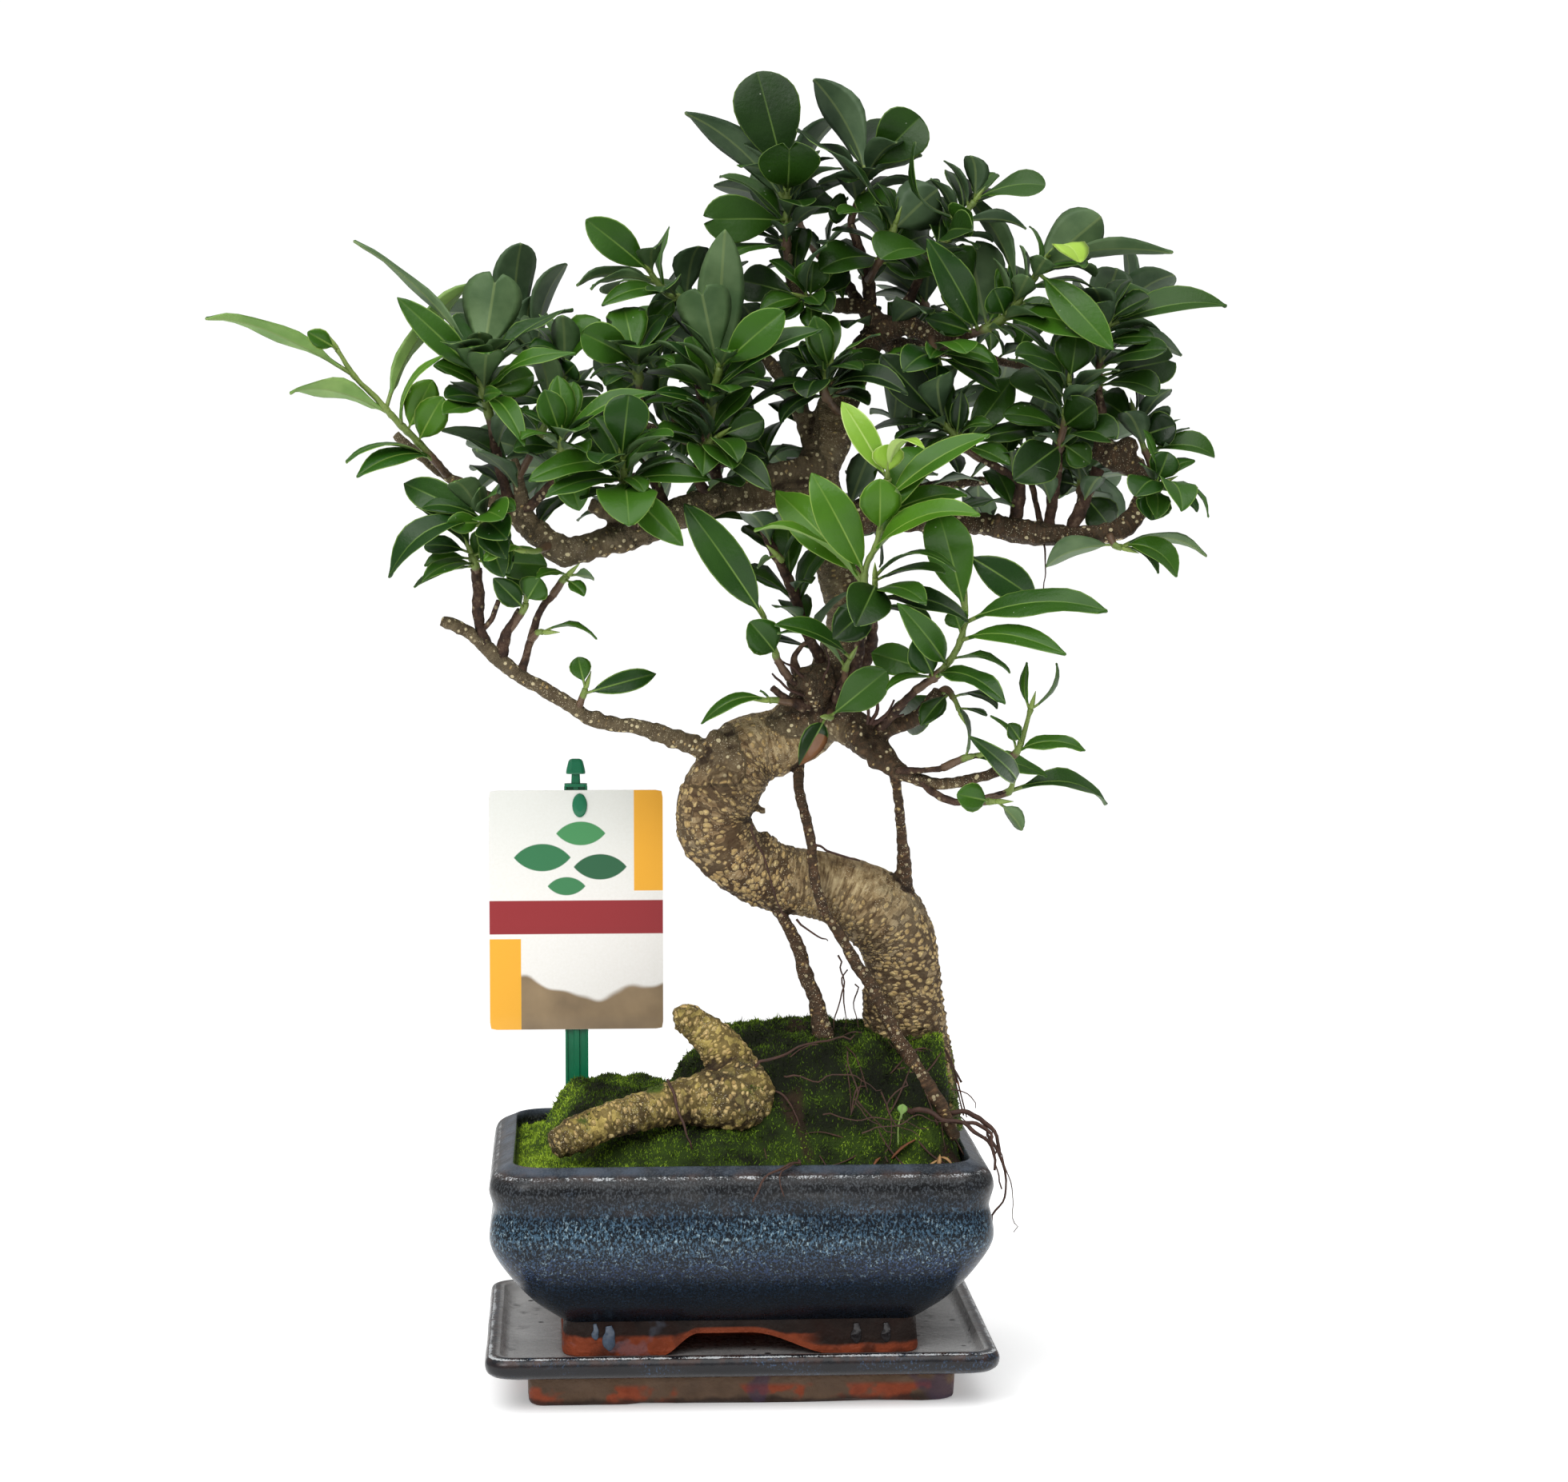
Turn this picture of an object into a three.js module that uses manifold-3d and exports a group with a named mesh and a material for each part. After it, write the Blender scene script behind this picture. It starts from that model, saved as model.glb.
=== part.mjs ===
// A chinese banyan bonsai (Ficus microcarpa) standing in its glazed pot on a saucer.
// Millimetres, +Z up, the viewer's side is -Y. The origin is the middle of the saucer's underside.
import * as THREE from 'three';
import { mergeVertices } from 'three/addons/utils/BufferGeometryUtils.js';
import Module from 'manifold-3d';

const wasm = await Module();
wasm.setup();

// Driving sizes of the pot and the saucer
const GAP = 0.3;
const POT_HALF_WIDTH = 100;
const POT_HALF_DEPTH = 76;
const POT_CORNER = 17;
const FOOT_HALF_WIDTH = 72;
const FOOT_HALF_DEPTH = 48;
const SAUCER_HALF_WIDTH = 102;
const SAUCER_HALF_DEPTH = 73.5;
const SAUCER_CORNER = 9;
const SAUCER_FLOOR = 17.5;
const FOOT_TOP = 33;
const ARCH_HEIGHT = 7;
const ARCH_HALF_WIDTH = 26;
const ARCH_HALF_WIDTH_TOP = 18;
const ARCH_DEPTH = 34;
const DRAIN_RADIUS = 6;
const DRAIN_OFFSET = 26;
const SOIL_RIM_LEVEL = 92;

// Profiles run from the bottom up as [height, how far in from the widest outline]
const POT_OUTSIDE = [
  [32, 28.5], [35.5, 24], [41, 17.5], [49, 10.5], [58.5, 3.9], [65, 0.7], [70, 0], [76, 0.9],
  [80, 1.8], [84, 0.9], [88, 0], [92, 0.8], [94.8, 3], [97.5, 8.2],
];
const POT_INSIDE = [[34, 37], [39, 33], [45, 26], [52, 19], [60, 13], [70, 10], [88, 10], [97.5, 9.6]];
const SAUCER_OUTSIDE = [
  [0, 18.5], [1.2, 17.2], [12.6, 16.6], [14.8, 2.6], [16.6, 0.7], [19.8, 0], [22, 0.9], [22.8, 2.4],
];
const SAUCER_INSIDE = [[17.5, 9], [19, 7.2], [22.8, 5.6]];

// Mounds of the soil: middle x, y, half spreads in x and y, height above the level at the rim
const SOIL_EDGE_RISE = 14;
const MOUNDS = [
  [30, 4, 60, 50, 49], [72, 2, 24, 42, 47], [-46, 8, 32, 44, 25], [-4, -22, 60, 34, 16],
];

// The label marker stands behind the low left branch
const STAKE_X = -65;
const STAKE_DEPTH = 30;
const STAKE_BOTTOM = 60;
const STAKE_TOP = 238;
const STAKE_HALF_WIDTH = 4.8;
const KNOB_TOP = 251;
const CARD_WIDTH = 72;
const CARD_HEIGHT = 100;
const CARD_THICKNESS = 1;
const CARD_BOTTOM = 138;

// Tree measures
const EYE = [-67, -1531, 382];
const LEAF_ARCH = 0.1;
const RIB_DROP = 1.3;
const EDGE_LIFT = 0.06;
const STEM_RADIUS = [1.7, 0.9];
const STEM_START = 0.7;
const CELL = 1.7;
const CELL_LEAVES = 4;
const STALK_LEAST = 3.4;
const LEAF_CLEARANCE = 3.2;
const SAMPLE_STEP = 4;
const WOOD_CLEARANCE = 1.1;
const OWN_CLEARANCE = 1.6;
const TINY = 1e-5;
const LEAST_FACING = 0.15;
// Share of the leaf's length and share of its half width, from the stalk to the last step before the tip
const BLADE_STEPS = [[0, 0.09], [0.14, 0.1], [0.46, 1], [0.78, 0.8]];
const SMALL_STEPS = [[0, 0.09], [0.14, 0.1], [0.58, 1]];
const SMALL_LEAF = 20;
// Where a leaf's upper face looks
const FACINGS = {
  front: [0, -1, 0.12],
  steep: [0, -0.62, 0.78],
  up: [0, -0.2, 1],
  below: [0, 0.55, 0.85],
  back: [0, 1, 0.2],
  left: [-1, -0.4, 0.3],
  right: [1, -0.4, 0.3],
};
const TONES = { deep: 0x2c4a22, mid: 0x3f6b2c, bright: 0x5d8f2f, young: 0x9dbb46 };
// A leaf that would cross another is bent this much nearer or farther in depth
const DEPTH_SHIFTS = [0, 5, -5, 10, -10, 15, -15, 21, -21, 28, -28];

// Branches as seen: each row is a name, the sides of its section and its points
// [x, z on the plane through the trunk as the viewer sees it, depth behind that plane, radius]
const LIMBS = [
  ['trunk', 9, [
    [73, 98, 8, 20.3], [71, 122, 8, 19.6], [69, 147, 6, 17], [68, 165, 4, 15.4], [65, 182, 2, 16.3],
    [54, 193, 0, 16.3], [38, 200, 0, 14.4], [18, 204, -2, 14.1], [1, 212, -3, 14.1],
    [-9, 228, -3, 15.4], [-4, 243, -3, 15.7], [5, 256, -3, 14.7], [20, 261, -2, 13.4],
    [33, 272, 0, 13.1], [43, 292, 0, 10.8], [47, 311, 0, 9.8], [41, 334, 0, 9.2], [36, 354, 0, 9.2],
    [34, 370, 0, 8.8], [38, 383, 0, 9.2], [41, 393, 0, 8.5], [46, 405, 0, 6.5], [52, 418, 0, 5.6],
    [57, 426, 0, 4.9], [59, 434, 1, 3.3],
  ]],
  ['leader', 5, [
    [56, 426, 0, 3.9], [54, 436, 3, 3.3], [39, 437, 5, 2.9], [27, 440, 3, 2.6], [22, 449, 0, 2],
    [22, 458, 0, 1.6],
  ]],
  ['leader_right', 5, [
    [55, 431, 3, 2.9], [54, 447, 6, 2.6], [50, 461, 8, 2], [47, 470, 8, 1.6],
  ]],
  ['crown_right', 6, [
    [56, 425, 0, 4.9], [69, 429, -3, 4.6], [85, 423, -6, 2.9], [97, 426, -8, 2],
  ]],
  ['crown_upper', 5, [
    [65, 430, -3, 2.9], [71, 440, -4, 2.3], [76, 451, -6, 1.6],
  ]],
  ['left_fork', 6, [
    [34, 375, 0, 4.6], [28, 391, 1, 3.9], [22, 402, 5, 3.3], [15, 413, 9, 2.6], [7, 423, 10, 2],
  ]],
  ['cut_stub', 6, [
    [33, 371, -4, 5.2], [22, 370, -9, 4.6], [14, 369, -12, 4.2],
  ]],
  ['left', 7, [
    [31, 367, 0, 8.5], [13, 362, -5, 7.5], [-6, 359, -10, 6.5], [-26, 352, -14, 6.5],
    [-39, 346, -18, 6.2], [-55, 341, -22, 5.6], [-69, 338, -25, 5.9], [-82, 347, -23, 4.9],
    [-92, 355, -20, 3.9], [-103, 361, -16, 2.9], [-116, 368, -12, 2.3], [-129, 378, -10, 2],
    [-137, 385, -10, 2],
  ]],
  ['left_spur', 5, [
    [-35, 347, -17, 4.2], [-48, 352, -19, 3.6], [-59, 357, -20, 2.9],
  ]],
  ['left_riser', 5, [
    [-80, 342, -24, 3.9], [-85, 355, -24, 3.3], [-88, 367, -25, 2.6], [-90, 375, -26, 2],
  ]],
  ['left_top_twig', 5, [
    [-90, 354, -20, 2.6], [-94, 367, -22, 2.3], [-97, 380, -25, 2], [-99, 391, -27, 1.3],
  ]],
  ['left_front_twig', 4, [
    [-85, 354, -25, 2.3], [-76, 363, -30, 2], [-70, 370, -36, 1.6], [-70, 375, -40, 1.3],
  ]],
  ['left_up', 5, [
    [-9, 356, -12, 2.6], [-15, 368, -17, 2], [-13, 380, -20, 1.6], [-10, 390, -24, 1.3],
  ]],
  ['centre_left_twig', 5, [
    [-39, 343, -18, 2.6], [-42, 352, -27, 2], [-44, 360, -36, 1.6],
  ]],
  ['left_back_twig', 5, [
    [-6, 360, -6, 2.6], [-11, 386, 4, 2.3], [-16, 415, 8, 2], [-16, 431, 8, 1.6], [-21, 439, 5, 1.3],
  ]],
  ['left_mid_twig', 4, [
    [-27, 352, -12, 2.3], [-35, 373, -8, 2], [-38, 392, -10, 1.6], [-39, 405, -15, 1.3],
  ]],
  ['inner_twig', 5, [
    [38, 288, -4, 2.9], [29, 305, -12, 2.3], [23, 323, -17, 2.3], [16, 337, -19, 2],
    [10, 349, -20, 1.6],
  ]],
  ['low_left', 6, [
    [-1, 250, -4, 5.2], [-13, 257, -9, 4.2], [-23, 261, -12, 3.9], [-39, 266, -17, 3.3],
    [-57, 269, -20, 2.9], [-65, 274, -22, 2.9], [-75, 280, -24, 2.9], [-87, 287, -24, 2.9],
    [-97, 295, -24, 3.3], [-104, 302, -24, 2.9], [-112, 307, -24, 2.6], [-119, 310, -24, 2.6],
  ]],
  ['low_left_a', 5, [
    [-101, 299, -24, 2.6], [-104, 310, -25, 2.3], [-104, 321, -27, 2.6], [-105, 331, -28, 2.3],
  ]],
  ['low_left_a2', 4, [
    [-104, 305, -25, 1.3], [-99, 310, -27, 1.1], [-96, 318, -29, 1],
  ]],
  ['low_left_b', 5, [
    [-95, 295, -24, 2.6], [-93, 304, -25, 2.3], [-87, 314, -27, 1.6],
  ]],
  ['low_left_c', 4, [
    [-87, 288, -24, 2], [-83, 302, -25, 1.6], [-79, 314, -27, 1.6], [-74, 320, -28, 1.3],
    [-70, 325, -29, 1],
  ]],
  ['mid_right', 7, [
    [36, 271, -4, 7.8], [50, 264, -13, 7.8], [58, 256, -19, 5.9], [67, 248, -25, 3.6],
    [79, 243, -30, 2.6], [92, 243, -34, 2.3], [110, 248, -38, 2],
  ]],
  ['mid_upper', 6, [
    [54, 264, -15, 4.6], [65, 266, -20, 3.3], [76, 271, -25, 3.3], [84, 280, -30, 3.6],
  ]],
  ['mid_lower', 4, [
    [75, 245, -29, 2], [81, 239, -32, 1.6], [90, 235, -34, 1.6], [102, 236, -37, 1.5],
    [112, 239, -40, 1.3],
  ]],
  ['mid_thin', 4, [
    [66, 248, -27, 1.6], [76, 248, -33, 1.3], [85, 249, -37, 1.3], [95, 253, -42, 1.3],
    [105, 255, -46, 1],
  ]],
  ['mid_thin_end', 4, [
    [103, 255, -45, 1.1], [108, 253, -48, 1], [114, 254, -51, 1],
  ]],
  ['right_front_twig', 4, [
    [59, 265, -20, 2.3], [66, 273, -28, 2], [74, 281, -38, 1.6], [81, 286, -46, 1.6],
  ]],
  ['front_twig', 5, [
    [41, 277, -14, 2.6], [48, 288, -25, 2.6], [51, 302, -32, 2.3], [52, 311, -37, 1.6],
  ]],
  ['front_twig_two', 5, [
    [43, 282, -16, 2.6], [54, 295, -22, 2.9], [56, 306, -30, 2.3], [56, 313, -38, 1.6],
  ]],
  ['knot_left', 6, [
    [38, 285, -10, 7.2], [28, 284, -14, 6.5], [23, 281, -15, 3.3],
  ]],
  ['cut_twig', 5, [
    [30, 275, -12, 2.9], [22, 277, -18, 1.6], [15, 282, -20, 1.6],
  ]],
  ['leaf_twig', 4, [
    [28, 273, -14, 1.6], [23, 276, -18, 1.3], [17, 277, -20, 1],
  ]],
  ['hang_twig', 4, [
    [30, 281, -15, 1.6], [22, 286, -20, 1.6], [17, 293, -25, 1.3],
  ]],
  ['dead_twig', 5, [
    [30, 284, -12, 2.6], [25, 289, -14, 2.3], [24, 294, -15, 1.3], [27, 299, -16, 1.1],
    [32, 302, -17, 1],
  ]],
  ['right', 7, [
    [41, 350, 0, 7.2], [56, 351, -2, 5.6], [85, 350, -8, 4.9], [105, 348, -10, 4.6],
    [121, 345, -12, 5.2], [141, 344, -12, 3.9], [156, 346, -12, 4.2], [164, 353, -10, 4.2],
    [168, 364, -8, 3.6], [170, 370, -6, 2.6],
  ]],
  ['right_a', 5, [
    [114, 349, -10, 2.9], [116, 365, -11, 2.3], [108, 371, -12, 1.6], [100, 375, -13, 1.3],
    [94, 379, -14, 1.3],
  ]],
  ['right_b', 4, [
    [125, 347, -12, 1.3], [121, 365, -8, 1.3], [118, 380, -2, 1],
  ]],
  ['right_c', 5, [
    [128, 347, -12, 2.6], [130, 362, -14, 2.3], [132, 370, -15, 1.6], [132, 379, -16, 1.3],
  ]],
  ['right_d', 5, [
    [137, 346, -12, 2.9], [144, 361, -10, 2.6], [148, 371, -8, 2.6],
  ]],
  ['right_knot', 6, [
    [168, 367, -8, 2.9], [161, 373, -7, 5.2], [153, 377, -6, 5.6], [146, 378, -6, 2.9],
  ]],
  ['right_top_twig', 5, [
    [152, 376, -6, 2.6], [150, 391, -6, 2], [148, 403, -6, 1.6],
  ]],
  ['back_left', 5, [
    [30, 363, 3, 3.9], [4, 375, 25, 2.9], [-22, 384, 45, 2.3], [-47, 392, 55, 1.6],
    [-66, 399, 59, 1.3],
  ]],
  ['back_left_low', 4, [
    [4, 375, 25, 2.3], [-26, 370, 52, 2], [-51, 367, 67, 1.5],
  ]],
  ['back_top', 5, [
    [56, 430, 3, 2.9], [44, 447, 25, 2.3], [33, 458, 39, 1.6],
  ]],
  ['back_right', 5, [
    [55, 423, 3, 3.6], [82, 419, 29, 2.6], [106, 415, 47, 2], [131, 409, 55, 1.5],
  ]],
  ['back_low_right', 5, [
    [42, 352, 3, 3.6], [62, 360, 29, 2.9], [88, 365, 49, 2.3], [112, 367, 60, 1.6],
  ]],
  ['back_low', 5, [
    [43, 289, 3, 3.6], [48, 302, 27, 2.6], [47, 316, 47, 2], [43, 329, 57, 1.5],
  ]],
];

// Aerial roots, in the same form
const PROP_ROOTS = [
  ['prop_front', 5, [
    [26, 251, -6, 2.9], [26, 241, -16, 2.9], [28, 232, -20, 2.9], [31, 218, -22, 2.9],
    [32, 206, -22, 2.9], [36, 191, -22, 2.9], [43, 180, -22, 2.9], [49, 169, -22, 3.3],
    [56, 159, -24, 3.3], [65, 141, -27, 3.6], [74, 126, -30, 3.9], [85, 108, -36, 3.9],
    [91, 95, -40, 2.9],
  ]],
  ['prop_left', 7, [
    [14, 195, -6, 2.9], [21, 185, -10, 3.3], [26, 174, -12, 3.6], [29, 163, -13, 3.9],
    [33, 153, -14, 4.2], [36, 137, -16, 5.9], [38, 120, -18, 7.8],
  ]],
  ['prop_right', 6, [
    [65, 247, -24, 2.9], [67, 235, -20, 2.6], [68, 222, -12, 2.9], [69, 210, -6, 3.9],
    [69, 196, 0, 5.9],
  ]],
];

// Leafy shoots: name, tone, how many leaves fill its far side, the stem's points [x, z, depth], whose first
// stretch is woody, and the leaves [place on the green stem, tip x, tip z, tip depth, width, facing, arch]
const SHOOTS = [
  ['top_left', 'deep', 2, [[22, 449, 0], [21, 458, 0], [21, 471, -3], [21, 484, -6]], [
    [1, 9, 530, -8, 27, 'front'], [0.95, 22, 503, -34, 25, 'front'], [0.75, -20, 515, -4, 17, 'below'],
    [0.5, -13, 471, -16, 20, 'front'], [0.4, -6, 490, 12, 15, 'up'], [0.6, 11, 495, 24, 20, 'back'],
    [0.45, 37, 483, 16, 18, 'front'], [0.35, 56, 488, 26, 14, 'below'], [0.15, -2, 465, -18, 16, 'up'],
    [0.05, -8, 454, -26, 18, 'up'],
  ]],
  ['top_right', 'deep', 2, [[50, 461, 8], [47, 470, 8], [50, 479, 8], [54, 491, 6]], [
    [0.9, 32, 528, 16, 20, 'below'], [1, 75, 513, -6, 22, 'front'], [0.8, 76, 497, 10, 13, 'below'],
    [0.85, 33, 485, 0, 9, 'below'], [0.15, 38, 477, 2, 13, 'front'],
  ]],
  ['top_centre', 'deep', 1, [[54, 447, 4], [58, 454, -8], [62, 462, -12], [65, 470, -14]], [
    [0.9, 24, 506, -20, 13, 'up'], [0.8, 82, 484, -6, 22, 'back'], [0.6, 55, 483, 2, 18, 'front'],
    [0.4, 39, 467, -14, 18, 'up'], [0.1, 34, 452, -24, 22, 'steep'], [0, 80, 449, -14, 20, 'steep'],
    [0.3, 81, 466, 6, 24, 'front'],
  ]],
  ['crown_upper', 'deep', 1, [[71, 440, -4], [76, 451, -6], [86, 464, -9], [97, 479, -12]], [
    [1, 126, 486, -24, 19, 'steep'], [0.75, 73, 503, -28, 9, 'left', 0.25],
    [0.7, 119, 469, -18, 9, 'below'], [0.65, 96, 475, -26, 16, 'front'],
    [0.5, 97, 467, -34, 15, 'front'], [0.2, 59, 457, -24, 22, 'steep'],
    [0.2, 96, 447, -4, 24, 'front'],
  ]],
  ['crown_right', 'mid', 0, [
    [85, 423, -6], [97, 426, -8], [108, 431, -12], [117, 441, -16], [125, 454, -20],
  ], [
    [0.05, 78, 464, -22, 15, 'front'], [0.15, 95, 463, 4, 26, 'back'], [0, 88, 445, 8, 14, 'front'],
    [0, 77, 432, -18, 10, 'front'], [0.1, 109, 417, -14, 6, 'right', 0.2],
    [0.25, 110, 425, -4, 8, 'up'], [0.35, 105, 444, -26, 14, 'front'],
    [0.3, 150, 422, -30, 20, 'steep', 0.15], [0.28, 128, 418, -18, 12, 'up'],
    [0.55, 88, 487, 8, 12, 'below', 0.12], [0.7, 151, 442, -12, 14, 'up', 0.15],
    [0.85, 149, 473, -6, 22, 'back'], [0.95, 178, 457, -10, 13, 'below', 0.12],
    [0.9, 154, 419, -36, 15, 'front'],
  ]],
  ['crown_right', 'young', 0, [[125, 454, -20], [125, 455, -21], [126, 456, -24], [127, 457, -26]], [
    [1, 141, 455, -40, 18, 'up', 0.3],
  ]],
  ['right_top', 'deep', 2, [[150, 391, -6], [148, 403, -6], [149, 417, -8], [152, 431, -10]], [
    [0.9, 201, 438, -6, 17, 'steep'], [1, 172, 442, 8, 16, 'steep'],
    [0.95, 169, 440, -16, 14, 'steep'], [0.65, 171, 424, -18, 14, 'steep'],
    [0.3, 176, 419, -28, 17, 'steep'], [0.2, 178, 415, 2, 18, 'front'],
    [0.05, 173, 403, -18, 16, 'steep'], [0.5, 134, 428, 8, 18, 'front'],
  ]],
  ['right_mid', 'deep', 1, [[132, 370, -15], [132, 379, -16], [135, 393, -20], [136, 406, -22]], [
    [1, 139, 426, -28, 17, 'front'], [0.8, 114, 418, -26, 18, 'steep', 0.18],
    [0.5, 119, 415, 0, 24, 'front'], [0.3, 109, 393, -18, 16, 'steep'],
    [0.35, 147, 398, -36, 17, 'front'], [0, 155, 384, -42, 19, 'steep', 0.15],
    [0.05, 114, 367, -36, 19, 'front'], [0.1, 145, 373, -22, 12, 'front'],
    [0.9, 125, 422, -6, 12, 'back'], [0.6, 152, 409, -10, 16, 'up'],
  ]],
  ['right_low', 'deep', 2, [[168, 367, -8], [170, 371, -6], [166, 382, -6], [163, 393, -4]], [
    [0.3, 197, 377, -12, 14, 'steep', 0.15], [0.6, 180, 389, -16, 15, 'front'],
    [0.8, 177, 393, 6, 14, 'below'], [1, 161, 410, 2, 14, 'right'], [0.8, 148, 400, 8, 16, 'front'],
  ]],
  ['right_under', 'mid', 0, [[153, 344, -16], [155, 340, -19], [158, 339, -20]], [
    [0, 126, 332, -16, 17, 'below'], [0.7, 182, 327, -28, 14, 'steep', 0.25],
    [1, 173, 328, -36, 9, 'up', 0.2], [0.9, 194, 337, -8, 8, 'below', 0.15],
  ]],
  ['right_tip', 'mid', 0, [[165, 359, -9], [170, 363, -18], [174, 365, -20]], [
    [0.3, 177, 378, -22, 13, 'front'], [1, 194, 351, -22, 8, 'up', 0.25],
    [0.4, 170, 350, -28, 15, 'front'],
  ]],
  ['right_inner', 'deep', 1, [[141, 355, -10], [141, 361, -3], [141, 367, 2]], [
    [0.1, 154, 346, 6, 16, 'front'], [0.5, 132, 366, 2, 12, 'front'], [1, 134, 381, 8, 16, 'front'],
  ]],
  ['front_bright', 'bright', 0, [
    [51, 302, -32], [52, 311, -38], [53, 330, -48], [58, 342, -52], [61, 362, -52],
  ], [
    [0.7, 59, 367, -64, 17, 'front'], [0.5, 100, 355, -74, 15, 'steep', 0.15],
    [0.35, 31, 370, -58, 17, 'front'], [0.9, 104, 385, -54, 13, 'steep'],
    [0.8, 95, 361, -40, 12, 'steep'], [0.72, 84, 382, -34, 18, 'steep', 0.2],
    [0.6, 80, 365, -34, 14, 'steep'], [0.25, 8, 350, -64, 12, 'up', 0.12],
    [0.3, 16, 363, -46, 17, 'front'],
  ]],
  ['front_bright', 'young', 0, [[61, 362, -52], [61, 363, -53], [62, 365, -54], [62, 367, -55]], [
    [0.9, 43, 399, -52, 11, 'front'], [1, 62, 381, -58, 13, 'front'], [1, 77, 379, -60, 8, 'up', 0.3],
  ]],
  ['front_dark', 'deep', 2, [[56, 306, -30], [56, 313, -39], [57, 319, -46], [57, 327, -52]], [
    [0.9, 86, 329, -64, 14, 'up'], [1, 91, 331, -76, 9, 'up', 0.2], [0.8, 49, 307, -78, 19, 'front'],
    [0.3, 40, 302, -54, 16, 'front'], [0.6, 78, 317, -84, 14, 'steep'], [0.1, 81, 308, -56, 13, 'up'],
    [0.4, 96, 311, -70, 13, 'steep'],
  ]],
  ['right_front', 'mid', 0, [
    [74, 281, -38], [81, 286, -46], [87, 292, -52], [92, 301, -56], [94, 313, -54], [93, 337, -44],
  ], [
    [0.55, 82, 356, -60, 19, 'front'], [0.48, 153, 314, -74, 17, 'steep', 0.12],
    [0.36, 135, 294, -80, 13, 'steep', 0.15], [1, 124, 317, -42, 15, 'front'],
    [0.4, 89, 314, -70, 10, 'front'], [0.15, 67, 316, -62, 12, 'front'],
    [0.2, 113, 288, -62, 8, 'up', 0.15], [0, 111, 276, -80, 12, 'steep', 0.15],
    [0, 73, 302, -60, 14, 'front'], [0, 61, 282, -56, 8, 'up'], [0.05, 56, 296, -44, 13, 'front'],
  ]],
  ['mid_stub', 'deep', 1, [[76, 271, -25], [85, 281, -31], [89, 278, -37], [92, 272, -42]], [
    [0.5, 108, 274, -52, 9, 'up', 0.15], [0.9, 103, 270, -44, 8, 'up'],
    [0.3, 76, 266, -46, 10, 'steep'], [0.1, 68, 268, -12, 16, 'front'],
  ]],
  ['mid_thin', 'mid', 0, [[85, 249, -37], [94, 253, -42], [99, 254, -44]], [
    [0, 91, 273, -48, 9, 'right', 0.12], [0.5, 128, 245, -56, 10, 'steep', 0.08],
  ]],
  ['mid_young', 'mid', 0, [[108, 253, -48], [114, 254, -51], [117, 259, -53], [121, 273, -55]], [
    [1, 132, 292, -60, 8, 'right', 0.15], [0.95, 120, 292, -50, 7, 'left'],
    [0.3, 112, 267, -62, 7, 'front'], [0.1, 104, 270, -58, 4, 'right', 0.15],
    [0.02, 144, 256, -58, 9, 'steep', 0.2],
  ]],
  ['mid_low', 'mid', 0, [[102, 236, -37], [112, 239, -40], [114, 244, -43]], [
    [0, 152, 233, -50, 12, 'steep', 0.2], [1, 96, 262, -58, 9, 'front', 0.15],
  ]],
  ['mid_oval', 'mid', 0, [[99, 235, -36], [104, 235, -43], [107, 235, -45]], [
    [0.1, 91, 238, -54, 12, 'front'], [1, 118, 223, -48, 11, 'below'],
  ]],
  ['left_bright', 'mid', 1, [[-13, 380, -20], [-10, 391, -24], [-9, 401, -28], [-6, 412, -32]], [
    [1, 20, 435, -46, 16, 'front'], [0.9, -14, 445, -42, 22, 'back'],
    [0.45, 36, 427, -40, 14, 'steep', 0.12], [0.8, -4, 469, -20, 19, 'back'],
    [0.5, -34, 413, -14, 18, 'steep'], [0.1, -33, 401, -46, 11, 'steep', 0.12],
    [0.3, 9, 418, 10, 18, 'front'],
  ]],
  ['left_mid', 'deep', 1, [[-14, 373, -19], [-14, 378, -28], [-11, 381, -33], [-7, 384, -36]], [
    [0, 15, 362, -56, 14, 'steep', 0.12], [1, 12, 391, -38, 14, 'front'],
    [0.5, 13, 376, -44, 14, 'steep'], [0.2, -32, 387, -34, 12, 'steep'],
  ]],
  ['centre_top', 'deep', 1, [[42, 394, -8], [38, 399, -20], [36, 404, -24], [38, 411, -26]], [
    [1, 32, 433, -34, 11, 'front'], [0.9, 59, 426, -34, 5, 'up', 0.1],
    [0.3, 5, 395, -34, 11, 'up', 0.15], [0.2, 71, 403, -48, 14, 'steep', 0.18],
    [0.1, 53, 403, -56, 10, 'steep'], [0.6, 60, 416, 0, 14, 'front'],
  ]],
  ['crown_mid', 'deep', 0, [[39, 437, 4], [33, 438, -7], [28, 440, -12]], [
    [0.8, 10, 435, -20, 13, 'steep'], [0.5, 32, 455, -16, 15, 'steep'], [1, 2, 447, -4, 16, 'front'],
    [0.4, 43, 454, 2, 16, 'front'], [0.7, 18, 431, -24, 12, 'steep'],
  ]],
  ['centre_right', 'deep', 1, [[100, 375, -13], [94, 379, -15], [90, 384, -18], [85, 389, -20]], [
    [1, 59, 417, -22, 16, 'front'], [0.5, 92, 403, -30, 8, 'front'],
    [0.4, 105, 389, -28, 8, 'steep', 0.2], [0.2, 82, 400, -8, 16, 'front'],
    [0.15, 113, 408, -20, 14, 'front'], [0.1, 131, 386, -12, 13, 'steep'],
    [0.05, 112, 372, -30, 12, 'steep'],
  ]],
  ['crown_knob', 'mid', 0, [[80, 424, -8], [81, 418, -14], [82, 416, -15]], [
    [1, 108, 402, -14, 12, 'steep'], [0.8, 60, 415, -10, 10, 'up', 0.15],
    [0.9, 82, 405, -28, 12, 'steep'],
  ]],
  ['left_young', 'bright', 0, [
    [-116, 368, -12], [-120, 373, -18], [-129, 383, -22], [-136, 390, -23], [-145, 400, -24],
    [-153, 408, -25], [-160, 419, -26],
  ], [
    [0.8, -212, 435, -30, 11, 'below', 0.05], [0.45, -180, 404, -32, 14, 'below'],
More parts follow.
